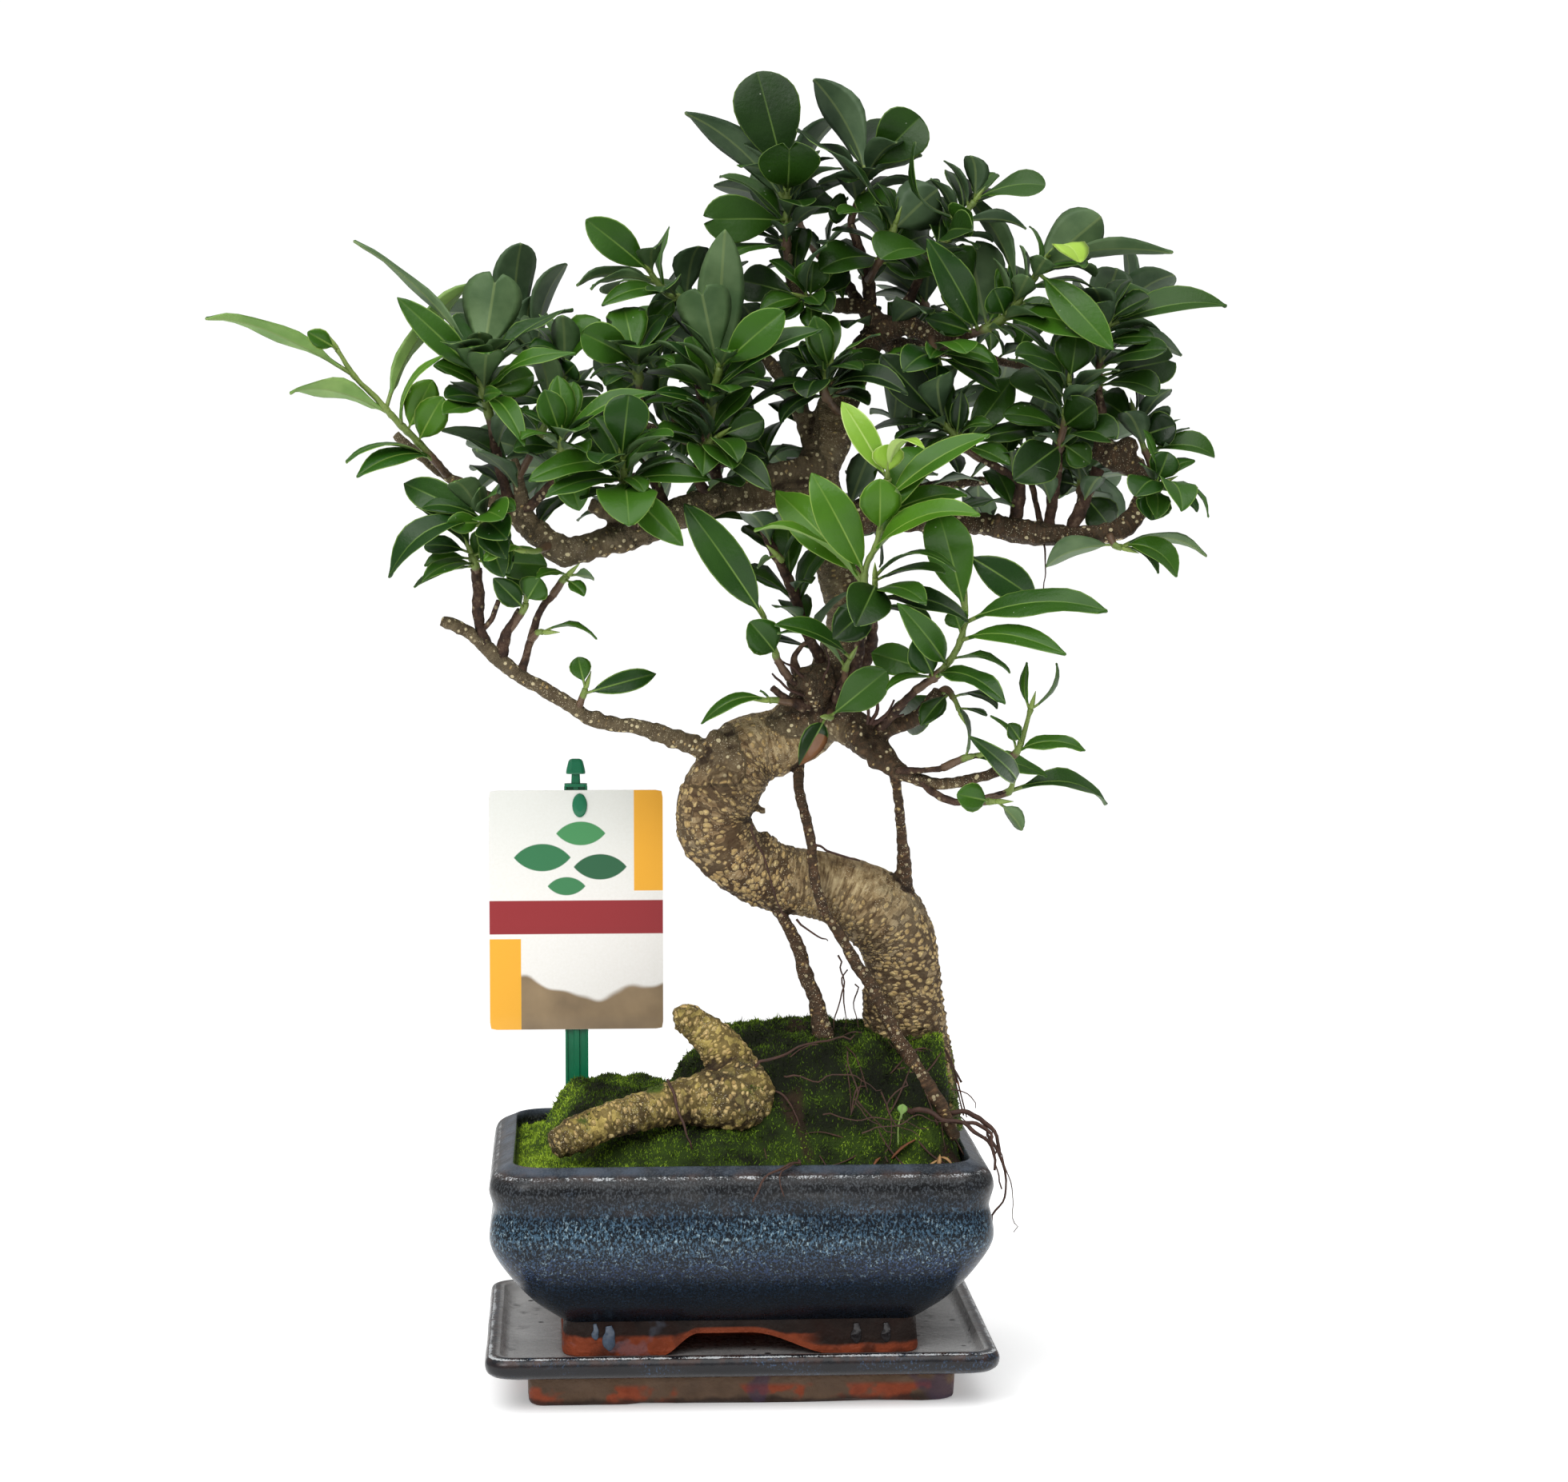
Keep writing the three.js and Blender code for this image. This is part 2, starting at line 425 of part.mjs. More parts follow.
    [0.5, -105, 448, -4, 13, 'below', 0.1], [0.3, -122, 407, -32, 14, 'front'],
    [0.35, -118, 417, -40, 6, 'left', 0.15], [0.2, -118, 400, -36, 14, 'front'],
    [0, -158, 376, -42, 8, 'up', 0.15], [0.05, -153, 368, -46, 12, 'steep', 0.15],
    [1, -172, 426, -36, 8, 'front', 0.1],
  ]],
  ['left_top', 'mid', 0, [[-97, 380, -25], [-99, 391, -27], [-102, 405, -29], [-102, 413, -29]], [
    [1, -96, 450, -22, 24, 'back'], [0.75, -136, 440, -36, 12, 'front'],
    [0.8, -65, 435, -8, 11, 'up', 0.1], [0.6, -121, 415, -20, 14, 'steep'],
    [0.5, -121, 413, -46, 12, 'steep'], [0.4, -95, 402, -50, 7, 'front'],
    [0.3, -117, 400, -42, 14, 'steep', 0.1], [0.15, -118, 393, -50, 12, 'steep'],
    [0.45, -64, 418, -46, 10, 'steep', 0.15], [0.5, -81, 409, -38, 14, 'front'],
    [0.35, -85, 380, -58, 10, 'steep', 0.2], [0.9, -153, 463, 6, 7, 'below', 0.08],
  ]],
  ['left_back_top', 'mid', 1, [[-16, 431, 8], [-21, 439, 4], [-28, 442, 2], [-34, 450, 0]], [
    [1, -60, 471, -8, 15, 'front'], [0.8, -65, 446, -4, 9, 'below', 0.12],
    [0.7, -59, 444, -18, 8, 'below', 0.12], [0.3, -54, 437, -16, 12, 'steep', 0.15],
    [0.1, -34, 430, -4, 12, 'steep'],
  ]],
  ['left_mid_top', 'mid', 1, [[-38, 392, -11], [-39, 406, -17], [-40, 414, -20]], [
    [1, -62, 426, -36, 16, 'front'], [0.95, -45, 437, -14, 17, 'front'],
    [0.6, -22, 428, -10, 10, 'up', 0.12], [0.4, -59, 408, -16, 8, 'up', 0.15],
    [0.3, -24, 415, -28, 9, 'up', 0.15], [0.1, -50, 399, -4, 16, 'front'],
  ]],
  ['left_inner', 'mid', 2, [[-88, 367, -26], [-81, 380, -22], [-72, 399, -14], [-68, 413, -10]], [
    [1, -54, 431, -16, 18, 'steep'], [0.9, -83, 421, -32, 12, 'steep', 0.2],
    [0.85, -65, 413, -40, 12, 'front'], [0.5, -95, 399, -6, 20, 'steep', 0.15],
    [0.6, -48, 386, -2, 18, 'front'],
  ]],
  ['left_front', 'mid', 0, [[-70, 370, -36], [-70, 376, -41], [-70, 383, -47]], [
    [1, -77, 403, -54, 12, 'front'], [0.8, -32, 402, -52, 10, 'steep', 0.15],
    [0.3, -90, 380, -48, 14, 'steep'], [0.2, -63, 354, -50, 14, 'front'],
  ]],
  ['centre_left', 'mid', 1, [[-42, 352, -27], [-45, 360, -38], [-45, 367, -46], [-46, 375, -50]], [
    [1, -43, 401, -58, 18, 'front'], [0.35, -43, 350, -80, 24, 'steep'],
    [0.5, -77, 360, -52, 11, 'steep'], [0.9, -84, 367, -62, 15, 'steep'],
    [0.4, -10, 366, -54, 13, 'steep'], [0.2, -21, 340, -60, 13, 'front'],
  ]],
  ['hang', 'mid', 0, [[22, 286, -20], [17, 294, -26], [16, 298, -28], [12, 310, -36]], [
    [1, -21, 358, -46, 16, 'front', 0.1], [0.1, 6, 309, -44, 15, 'front'],
  ]],
  ['left_low_front', 'mid', 0, [[-92, 354, -24], [-99, 350, -36], [-103, 349, -38]], [
    [1, -140, 327, -46, 14, 'steep', 0.28], [0.5, -135, 366, -28, 14, 'front'],
    [0.7, -117, 349, -48, 9, 'front'], [0.9, -133, 340, -54, 8, 'up', 0.1],
  ]],
  ['left_under', 'bright', 0, [[-74, 341, -26], [-80, 338, -38], [-85, 338, -44]], [
    [1, -102, 334, -52, 9, 'steep', 0.25],
  ]],
  ['low_left_a', 'mid', 1, [[-104, 321, -27], [-105, 331, -29], [-107, 337, -31]], [
    [1, -126, 340, -30, 12, 'steep'], [0.8, -89, 338, -36, 14, 'steep'],
    [0.6, -126, 332, -42, 9, 'steep', 0.12], [0.2, -127, 327, -50, 9, 'steep'],
    [0.1, -130, 323, -40, 9, 'up', 0.1], [0.5, -76, 332, -22, 14, 'front'],
    [0, -102, 347, -42, 9, 'front'],
  ]],
  ['low_left_b', 'mid', 0, [[-93, 304, -25], [-86, 314, -28], [-85, 317, -29]], [
    [1, -79, 327, -38, 13, 'front'], [0.8, -86, 330, -20, 14, 'front'],
    [0.2, -98, 327, -34, 10, 'front'],
  ]],
  ['low_left_c', 'mid', 0, [[-74, 320, -28], [-70, 326, -30], [-68, 328, -31]], [
    [0.8, -57, 327, -34, 9, 'below'], [0.2, -61, 320, -38, 7, 'steep'],
    [0.9, -81, 327, -34, 7, 'steep'],
  ]],
  ['low_left_d', 'mid', 0, [[-83, 302, -25], [-80, 305, -30], [-78, 305, -31]], [
    [1, -56, 302, -36, 6, 'up', 0.2],
  ]],
  ['low_leaf', 'mid', 0, [[-64, 274, -22], [-62, 279, -26], [-61, 282, -26]], [
    [1, -64, 295, -28, 9, 'front'],
  ]],
  ['arch_leaf', 'mid', 0, [[23, 276, -18], [17, 277, -20], [14, 277, -21]], [
    [0.9, -13, 267, -24, 8, 'steep', 0.25], [1, 10, 281, -22, 3, 'up'],
  ]],
  ['trunk_leaf', 'mid', 0, [[39, 272, -12], [39, 270, -34], [37, 270, -42]], [
    [1, 26, 250, -50, 13, 'front'], [0.3, 62, 289, -54, 16, 'front'],
  ]],
  ['trunk_upper', 'mid', 0, [[45, 285, -22], [45, 290, -30], [47, 294, -34]], [
    [0, 17, 305, -44, 9, 'up', 0.15], [1, 16, 308, -38, 13, 'steep', 0.1],
  ]],
  ['inner', 'mid', 0, [[16, 337, -20], [19, 334, -27], [17, 336, -30]], [
    [1, 9, 331, -34, 9, 'below'],
  ]],
];

// The big root that lies over the moss on the left, and the swellings under the trunk
const SURFACE_ROOTS = [
  ['root_arm', 8, [
    [60, 108, -6, 10], [38, 106, -14, 11], [18, 107, -24, 12], [5, 110, -30, 13.4], [-6, 111, -34, 11.6],
    [-20, 112, -37, 9.6], [-36, 109, -42, 8], [-52, 104, -47, 7.4], [-67, 98, -51, 7.6], [-75, 94, -54, 5.4],
  ]],
  ['root_hook', 8, [
    [5, 112, -30, 13], [1, 121, -29, 12], [-5, 132, -28, 9.4], [-13, 141, -27, 7.3], [-20, 146, -27, 6.3],
    [-25, 146, -27, 4.6],
  ]],
  ['root_right', 6, [[74, 120, -8, 12], [84, 108, -20, 8], [86, 96, -34, 6]]],
  ['root_back', 6, [[64, 118, 10, 12], [44, 106, 30, 9], [30, 96, 44, 7]]],
];

// Shoots on the far side, with leaves set round the stem by rule: name, leaves, the stem's points
const BACK_SHOOTS = [
  ['back_left_inner', 8, [[4, 375, 26], [-2, 392, 30], [-8, 410, 36]]],
  ['back_left_mid', 8, [[-22, 384, 45], [-28, 400, 52], [-32, 420, 58]]],
  ['back_left_end', 8, [[-66, 399, 58], [-76, 410, 63], [-86, 424, 68]]],
  ['back_left_low', 8, [[-51, 367, 64], [-64, 368, 70], [-80, 374, 76]]],
  ['back_top', 8, [[33, 458, 40], [26, 470, 46], [18, 484, 52]]],
  ['back_middle', 8, [[82, 419, 29], [78, 434, 34], [72, 452, 40]]],
  ['back_right_end', 8, [[131, 409, 56], [142, 418, 62], [152, 430, 67]]],
  ['back_right_low', 8, [[112, 367, 60], [124, 370, 66], [138, 376, 72]]],
  ['back_right_inner', 8, [[62, 360, 29], [70, 378, 36], [76, 396, 42]]],
  ['back_low', 8, [[43, 329, 56], [38, 342, 62], [30, 356, 68]]],
];

const add = (a, b) => [a[0] + b[0], a[1] + b[1], a[2] + b[2]];
const sub = (a, b) => [a[0] - b[0], a[1] - b[1], a[2] - b[2]];
const times = (a, k) => [a[0] * k, a[1] * k, a[2] * k];
const dot = (a, b) => a[0] * b[0] + a[1] * b[1] + a[2] * b[2];
const cross = (a, b) => [a[1] * b[2] - a[2] * b[1], a[2] * b[0] - a[0] * b[2], a[0] * b[1] - a[1] * b[0]];
const size = (a) => Math.sqrt(dot(a, a));
const unit = (a) => times(a, 1 / size(a));
const mix = (a, b, t) => add(times(a, 1 - t), times(b, t));

// A point seen at (x, z) on the plane through the trunk, moved along the sight line to its depth
function fromView([x, z, depth]) {
  const k = (depth - EYE[1]) / -EYE[1];
  return [EYE[0] + (x - EYE[0]) * k, depth, EYE[2] + (z - EYE[2]) * k];
}

// A number from 0 to 1 that is always the same for the same three whole numbers
function chance(a, b, c) {
  let h = Math.imul(a + 1, 73856093) ^ Math.imul(b + 1, 19349663) ^ Math.imul(c + 1, 83492791);
  h = Math.imul(h ^ (h >>> 13), 1274126177);
  return ((h ^ (h >>> 16)) >>> 0) / 4294967296;
}

// A solid from points and triangles, turned outward if it came out inside out
function solidFrom(points, triangles) {
  let volume = 0;
  for (const [a, b, c] of triangles) volume += dot(points[a], cross(points[b], points[c]));
  const faces = volume < 0 ? triangles.map(([a, b, c]) => [a, c, b]) : triangles;
  const vertProperties = new Float32Array(points.flat());
  const triVerts = new Uint32Array(faces.flat());
  return new wasm.Manifold(new wasm.Mesh({ numProp: 3, vertProperties, triVerts }));
}

// Rings with the same number of points, skinned and closed by a fan at each end
function loft(rings) {
  const count = rings[0].length;
  const points = rings.flat();
  const triangles = [];
  for (let r = 0; r + 1 < rings.length; r += 1) {
    for (let i = 0; i < count; i += 1) {
      const a = r * count + i;
      const b = r * count + ((i + 1) % count);
      triangles.push([a, b, b + count], [a, b + count, a + count]);
    }
  }
  for (const [start, flip] of [[0, true], [(rings.length - 1) * count, false]]) {
    for (let i = 1; i + 1 < count; i += 1) {
      triangles.push(flip ? [start, start + i + 1, start + i] : [start, start + i, start + i + 1]);
    }
  }
  return solidFrom(points, triangles);
}

function solidOf(geometry) {
  const bare = geometry.clone();
  bare.deleteAttribute('normal');
  bare.deleteAttribute('uv');
  const merged = mergeVertices(bare, 1e-4);
  const flat = Array.from(merged.attributes.position.array);
  const index = Array.from(merged.index.array);
  const points = Array.from({ length: flat.length / 3 }, (_, i) => flat.slice(3 * i, 3 * i + 3));
  const triangles = Array.from({ length: index.length / 3 }, (_, i) => index.slice(3 * i, 3 * i + 3));
  return solidFrom(points, triangles);
}

function unite(solids) {
  let parts = solids;
  while (parts.length > 1) {
    const next = [];
    for (let i = 0; i < parts.length; i += 2) {
      next.push(i + 1 < parts.length ? parts[i].add(parts[i + 1]) : parts[i]);
    }
    parts = next;
  }
  return parts[0];
}

// The largest body of a solid: a crumb that a cut leaves behind is dropped
function largest(solid) {
  const bodies = solid.decompose();
  return bodies.reduce((best, body) => (body.volume() > best.volume() ? body : best));
}

// A rounded rectangle with three straight steps round each corner
function outline(halfX, halfY, corner, z) {
  const points = [];
  for (let quarter = 0; quarter < 4; quarter += 1) {
    const cx = (quarter === 0 || quarter === 3 ? 1 : -1) * (halfX - corner);
    const cy = (quarter < 2 ? 1 : -1) * (halfY - corner);
    for (let step = 0; step <= 3; step += 1) {
      const angle = ((quarter + step / 3) * Math.PI) / 2;
      points.push([cx + corner * Math.cos(angle), cy + corner * Math.sin(angle), z]);
    }
  }
  return points;
}

function vessel(profile, halfX, halfY, corner) {
  return loft(profile.map(([z, inset]) => {
    const bend = Math.max(corner - inset * 0.35, 5);
    return outline(halfX - inset, halfY - inset, bend, z);
  }));
}

function box(x0, x1, y0, y1, z0, z1) {
  const geometry = new THREE.BoxGeometry(x1 - x0, y1 - y0, z1 - z0);
  geometry.translate((x0 + x1) / 2, (y0 + y1) / 2, (z0 + z1) / 2);
  return solidOf(geometry);
}

function potSolid() {
  const body = vessel(POT_OUTSIDE, POT_HALF_WIDTH, POT_HALF_DEPTH, POT_CORNER);
  const foot = loft([
    outline(FOOT_HALF_WIDTH - 0.6, FOOT_HALF_DEPTH - 0.6, 9, SAUCER_FLOOR),
    outline(FOOT_HALF_WIDTH, FOOT_HALF_DEPTH, 9, SAUCER_FLOOR + 1.5),
    outline(FOOT_HALF_WIDTH - 0.8, FOOT_HALF_DEPTH - 0.8, 9, FOOT_TOP),
  ]);
  const hollow = vessel(
    [...POT_INSIDE, [100, 9.6]], POT_HALF_WIDTH, POT_HALF_DEPTH, POT_CORNER);
  let pot = body.add(foot).subtract(hollow);
  for (const side of [-1, 1]) {
    const near = side * (FOOT_HALF_DEPTH + 4);
    const far = side * (FOOT_HALF_DEPTH - ARCH_DEPTH);
    const arch = (y) => [
      [-ARCH_HALF_WIDTH, y, SAUCER_FLOOR - 1], [ARCH_HALF_WIDTH, y, SAUCER_FLOOR - 1],
      [ARCH_HALF_WIDTH, y, SAUCER_FLOOR], [ARCH_HALF_WIDTH_TOP, y, SAUCER_FLOOR + ARCH_HEIGHT],
      [-ARCH_HALF_WIDTH_TOP, y, SAUCER_FLOOR + ARCH_HEIGHT], [-ARCH_HALF_WIDTH, y, SAUCER_FLOOR],
    ];
    const drain = new THREE.CylinderGeometry(DRAIN_RADIUS, DRAIN_RADIUS, 30, 12);
    drain.rotateX(Math.PI / 2);
    drain.translate(0, side * DRAIN_OFFSET, SAUCER_FLOOR + 15);
    pot = pot.subtract(loft([arch(near), arch(far)])).subtract(solidOf(drain));
  }
  return pot;
}

function saucerSolid() {
  const body = vessel(SAUCER_OUTSIDE, SAUCER_HALF_WIDTH, SAUCER_HALF_DEPTH, SAUCER_CORNER);
  const hollow = vessel([...SAUCER_INSIDE, [24, 5.2]], SAUCER_HALF_WIDTH, SAUCER_HALF_DEPTH, SAUCER_CORNER);
  return body.subtract(hollow);
}

// Height of the moss over the pot, level at the wall and mounded up to the trunk
function soilHeight(x, y, edge) {
  let mound = 0;
  for (const [mx, my, sx, sy, height] of MOUNDS) {
    const spread = ((x - mx) / sx) ** 2 + ((y - my) / sy) ** 2;
    mound = Math.max(mound, height * Math.exp(-0.9 * spread ** 3));
  }
  const ripple = 1.6 * Math.sin(x * 0.21) * Math.cos(y * 0.17);
  return SOIL_RIM_LEVEL + (mound + ripple) * Math.min(1, edge * SOIL_EDGE_RISE);
}

function soilSolid() {
  const rings = POT_INSIDE.map(([z, inset], i) => {
    const bend = Math.max(POT_CORNER - inset * 0.35, 5);
    const level = i === 0 ? z + GAP : Math.min(z, SOIL_RIM_LEVEL);
    return outline(POT_HALF_WIDTH - inset - GAP, POT_HALF_DEPTH - inset - GAP, bend, level);
  });
  const wall = rings[rings.length - 1];
  for (const share of [0.97, 0.92, 0.82, 0.7, 0.55, 0.38, 0.19]) {
    rings.push(wall.map(([x, y]) => {
      const px = x * share;
      const py = y * share;
      return [px, py, soilHeight(px, py, 1 - share)];
    }));
  }
  return loft(rings);
}

// A tube through given points with a radius at each, its rings carried along without twist
function tube(points, radii, sides) {
  const rings = [];
  let side = null;
  points.forEach((point, i) => {
    const before = points[Math.max(i - 1, 0)];
    const after = points[Math.min(i + 1, points.length - 1)];
    const along = unit(sub(after, before));
    if (side === null) side = Math.abs(along[1]) < 0.9 ? [0, 1, 0] : [1, 0, 0];
    side = unit(sub(side, times(along, dot(side, along))));
    const across = cross(along, side);
    const ring = [];
    for (let k = 0; k < sides; k += 1) {
      const angle = (2 * Math.PI * k) / sides;
      const offset = add(times(side, Math.cos(angle)), times(across, Math.sin(angle)));
      ring.push(add(point, times(offset, radii[i])));
    }
    rings.push(ring);
  });
  return loft(rings);
}

// The same tube made larger all round, to cut a clear hole with
function limbTube([, sides, rows], grow) {
  const points = rows.map(fromView);
  const radii = rows.map((row) => row[3] + grow);
  if (grow > 0) {
    const last = points.length - 1;
    points[last] = add(points[last], times(unit(sub(points[last], points[last - 1])), grow));
    points[0] = add(points[0], times(unit(sub(points[0], points[1])), grow));
  }
  return tube(points, radii, sides);
}

const SKELETON = [...LIMBS, ...PROP_ROOTS, ...SURFACE_ROOTS];

function pointAlong(points, share) {
  const lengths = points.slice(1).map((p, i) => size(sub(p, points[i])));
  let left = share * lengths.reduce((sum, l) => sum + l, 0);
  for (let i = 0; i < lengths.length; i += 1) {
    if (left <= lengths[i]) return mix(points[i], points[i + 1], left / lengths[i]);
    left -= lengths[i];
  }
  return points[points.length - 1];
}

// The midrib is an arched curve, and the blade lies across it with its upper face toward `facing`
function leafFrame(leaf, t) {
  const { base, tip, facing, arch } = leaf;
  const chord = sub(tip, base);
  const length = size(chord);
  const along = times(chord, 1 / length);
  const normal = unit(sub(facing, times(along, dot(facing, along))));
  const side = cross(along, normal);
  const control = add(mix(base, tip, 0.5), times(normal, 2 * arch * length));
  const point = mix(mix(base, control, t), mix(control, tip, t), t);
  const direction = unit(sub(mix(control, tip, t), mix(base, control, t)));
  return { point, side, normal: cross(side, direction) };
}

function bladeHalf(t) {
  for (let i = 1; i < BLADE_STEPS.length; i += 1) {
    const [t0, w0] = BLADE_STEPS[i - 1];
    const [t1, w1] = BLADE_STEPS[i];
    if (t <= t1) return w0 + ((w1 - w0) * (t - t0)) / (t1 - t0);
  }
  const [tEnd, wEnd] = BLADE_STEPS[BLADE_STEPS.length - 1];
  return (wEnd * (1 - t)) / (1 - tEnd);
}

// The three corners of a blade's section: one edge, the rib below and the other edge
function leafSection(leaf, t, share) {
  const { point, side, normal } = leafFrame(leaf, t);
  const half = Math.max((share * leaf.width) / 2, 0.6);
  const stalk = share < 0.2;
  const top = add(point, times(normal, stalk ? 0.4 : EDGE_LIFT * half));
  const rib = sub(point, times(normal, stalk ? 0.6 : RIB_DROP));
  return [add(top, times(side, half)), rib, add(top, times(side, -half))];
}

// The stalk's end lies at least a few millimetres from the stem, on a short leaf too
function leafSteps(leaf) {
  const length = size(sub(leaf.tip, leaf.base));
  const stalk = Math.max(BLADE_STEPS[1][0], Math.min(STALK_LEAST / length, 0.4));
  const steps = length < SMALL_LEAF ? SMALL_STEPS : BLADE_STEPS;
  return steps.slice(1).map(([t, share], i) => [i === 0 ? stalk : t, share]);
}

// Walls from one ring of three corners to the next, and the fan to a leaf's tip
function skinLeaf(leaf, points, triangles, root) {
  let ring = root;
  leafSteps(leaf).forEach(([t, share]) => {
    const section = leafSection(leaf, t, share);
    const gaps = [0, 1, 2].map((turn) => (
      ring.reduce((sum, at, i) => sum + size(sub(points[at], section[(i + turn) % 3])), 0)));
    const turn = gaps.indexOf(Math.min(...gaps));
    const next = [0, 1, 2].map((i) => points.push(section[(i + turn) % 3]) - 1);
    for (let i = 0; i < 3; i += 1) {
      const j = (i + 1) % 3;
      triangles.push([ring[i], ring[j], next[j]], [ring[i], next[j], next[i]]);
    }
    ring = next;
  });
  const tip = points.push(leaf.tip) - 1;
  for (let i = 0; i < 3; i += 1) triangles.push([ring[i], ring[(i + 1) % 3], tip]);
}

// A leaf as a solid of its own, from its foot inside the stem or from some way up its stalk
function leafSolid(leaf, start = 0) {
  const points = leafSection(leaf, start, BLADE_STEPS[0][1]);
  const triangles = [[0, 2, 1]];
  skinLeaf(leaf, points, triangles, [0, 1, 2]);
  return solidFrom(points, triangles);
}

// Points spread over a leaf from some way up its stalk, to measure how near it comes to other things
function leafSamples(leaf, start) {
  const samples = [];
  const steps = Math.max(6, Math.ceil(size(sub(leaf.tip, leaf.base)) / SAMPLE_STEP));
  for (let i = 0; i <= steps; i += 1) {
    const t = 0.12 + (0.88 * i) / steps;
    if (t >= start) {
      const { point, side } = leafFrame(leaf, t);
      const half = (bladeHalf(t) * leaf.width) / 2;
      for (let k = -3; k <= 3; k += 1) samples.push(add(point, times(side, (half * k) / 3)));
    }
  }
  return samples;
}

function boundsOf(samples) {
  const low = [0, 1, 2].map((i) => Math.min(...samples.map((p) => p[i])));
  const high = [0, 1, 2].map((i) => Math.max(...samples.map((p) => p[i])));
  return [low, high];
}

function apart(a, b, margin) {
  return [0, 1, 2].some((i) => a[0][i] > b[1][i] + margin || b[0][i] > a[1][i] + margin);
}

// Balls along the wood and the stems, which the leaves keep clear of
function ballsAlong(points, radii, owner) {
  const balls = [];
  for (let i = 0; i + 1 < points.length; i += 1) {
    const steps = Math.max(1, Math.ceil(size(sub(points[i + 1], points[i])) / 3));
    for (let k = 0; k <= steps; k += 1) {
      const t = k / steps;
      const radius = radii[i] * (1 - t) + radii[i + 1] * t;
      balls.push({ at: mix(points[i], points[i + 1], t), radius, owner });
    }
  }
  return balls;
}

function near(a, b, reach) {
  return a.some((p) => b.some((q) => {
    const d = sub(p, q);
    return dot(d, d) < reach * reach;
  }));
}

// Leaves of one shoot may meet where they leave the stem, but their blades stay apart too
function isClear(leaf, placed, balls) {
  for (const other of placed) {
    const own = other.owner === leaf.owner;
    const reach = own ? OWN_CLEARANCE : LEAF_CLEARANCE;
    if (apart(leaf.bounds, other.bounds, reach)) continue;
    if (near(own ? leaf.blade : leaf.whole, own ? other.blade : other.whole, reach)) return false;
  }
  for (const ball of balls) {
    const own = ball.owner === leaf.owner;
    const reach = ball.radius + (own ? 0.3 : WOOD_CLEARANCE);
    if (apart(leaf.bounds, [ball.at, ball.at], reach)) continue;
    if (near(own ? leaf.outer : leaf.blade, [ball.at], reach)) return false;
  }
  return true;
}

function measured(leaf) {
  const [whole, blade, outer] = [0, 0.3, 0.55].map((start) => leafSamples(leaf, start));
  return { ...leaf, whole, blade, outer, bounds: boundsOf(whole) };
}

// Shoots of one name are fused; leaves sit on the green part, past each stem's first stretch
function stemsOf() {
  const seen = SHOOTS.map(([name, tone, fill, route, rows]) => (
    { name, tone, fill, route, rows, far: false }));
  const rear = BACK_SHOOTS.map(([name, fill, route]) => (
    { name, tone: 'deep', fill, route, rows: [], far: true }));
  return [...seen, ...rear].map((shoot, owner) => {
    const points = shoot.route.map(fromView);
    return { ...shoot, owner, points, green: points.slice(1) };
  });
}

const stemRadius = (share) => STEM_RADIUS[0] + (STEM_RADIUS[1] - STEM_RADIUS[0]) * share;

function stemRadii(points) {
  return points.map((_, i) => stemRadius(i / (points.length - 1)));
}

// A leaf set by rule: it spirals up the stem by the golden angle and leans out from it
function spiralLeaf(shoot, i) {
  const { points, green, owner, fill, far } = shoot;
  const share = (i + 0.6) / fill;
  const base = pointAlong(green, share);
  const axis = unit(sub(points[points.length - 1], points[0]));
  const u = unit(cross(axis, Math.abs(axis[2]) > 0.9 ? [1, 0, 0] : [0, 0, 1]));
  const v = cross(axis, u);
  const turn = 2.4 * i + 0.7 * chance(owner, i, 1) + (far ? 0 : 1.1);
  const lean = (far ? 0.75 : 0.9) + 0.4 * chance(owner, i, 2) - 0.25 * share;
  let way = add(times(u, Math.cos(turn)), times(v, Math.sin(turn)));
  if (!far) way = unit([way[0] * 0.7, Math.abs(way[1]) + 0.5, way[2] * 0.7]);
  const direction = add(times(axis, Math.cos(lean)), times(way, Math.sin(lean)));
  const length = 33 + 12 * chance(owner, i, 3);
  return {
    owner, share, base, tip: add(base, times(direction, length)),
    width: length * (0.46 + 0.1 * chance(owner, i, 4)),
    facing: add(times(axis, 0.7), [0, far ? 0.25 : 0.1, 0.9]), arch: 0.1 + 0.06 * chance(owner, i, 5),
  };
}

// Every leaf of the tree, the ones read from the view first and then those set by rule
function growLeaves(shoots, wood) {
  const placed = [];
  const balls = [...wood];
  for (const { points, owner } of shoots) balls.push(...ballsAlong(points, stemRadii(points), owner));
  for (const { owner, green, rows } of shoots) {
    for (const [row, [share, x, z, depth, width, way, arch = LEAF_ARCH]] of rows.entries()) {
      const base = pointAlong(green, share);
      for (const shift of DEPTH_SHIFTS) {
        const tip = fromView([x, z, depth + shift]);
        const leaf = measured({ owner, row, share, base, tip, width, facing: FACINGS[way], arch });
        if (isClear(leaf, placed, balls)) {
          placed.push(leaf);
          break;
        }
      }
    }
  }
  for (const shoot of shoots) {
    for (let i = 0; i < shoot.fill; i += 1) {
      const leaf = measured(spiralLeaf(shoot, i));
      if (isClear(leaf, placed, balls)) placed.push(leaf);
    }
  }
  return placed;
}

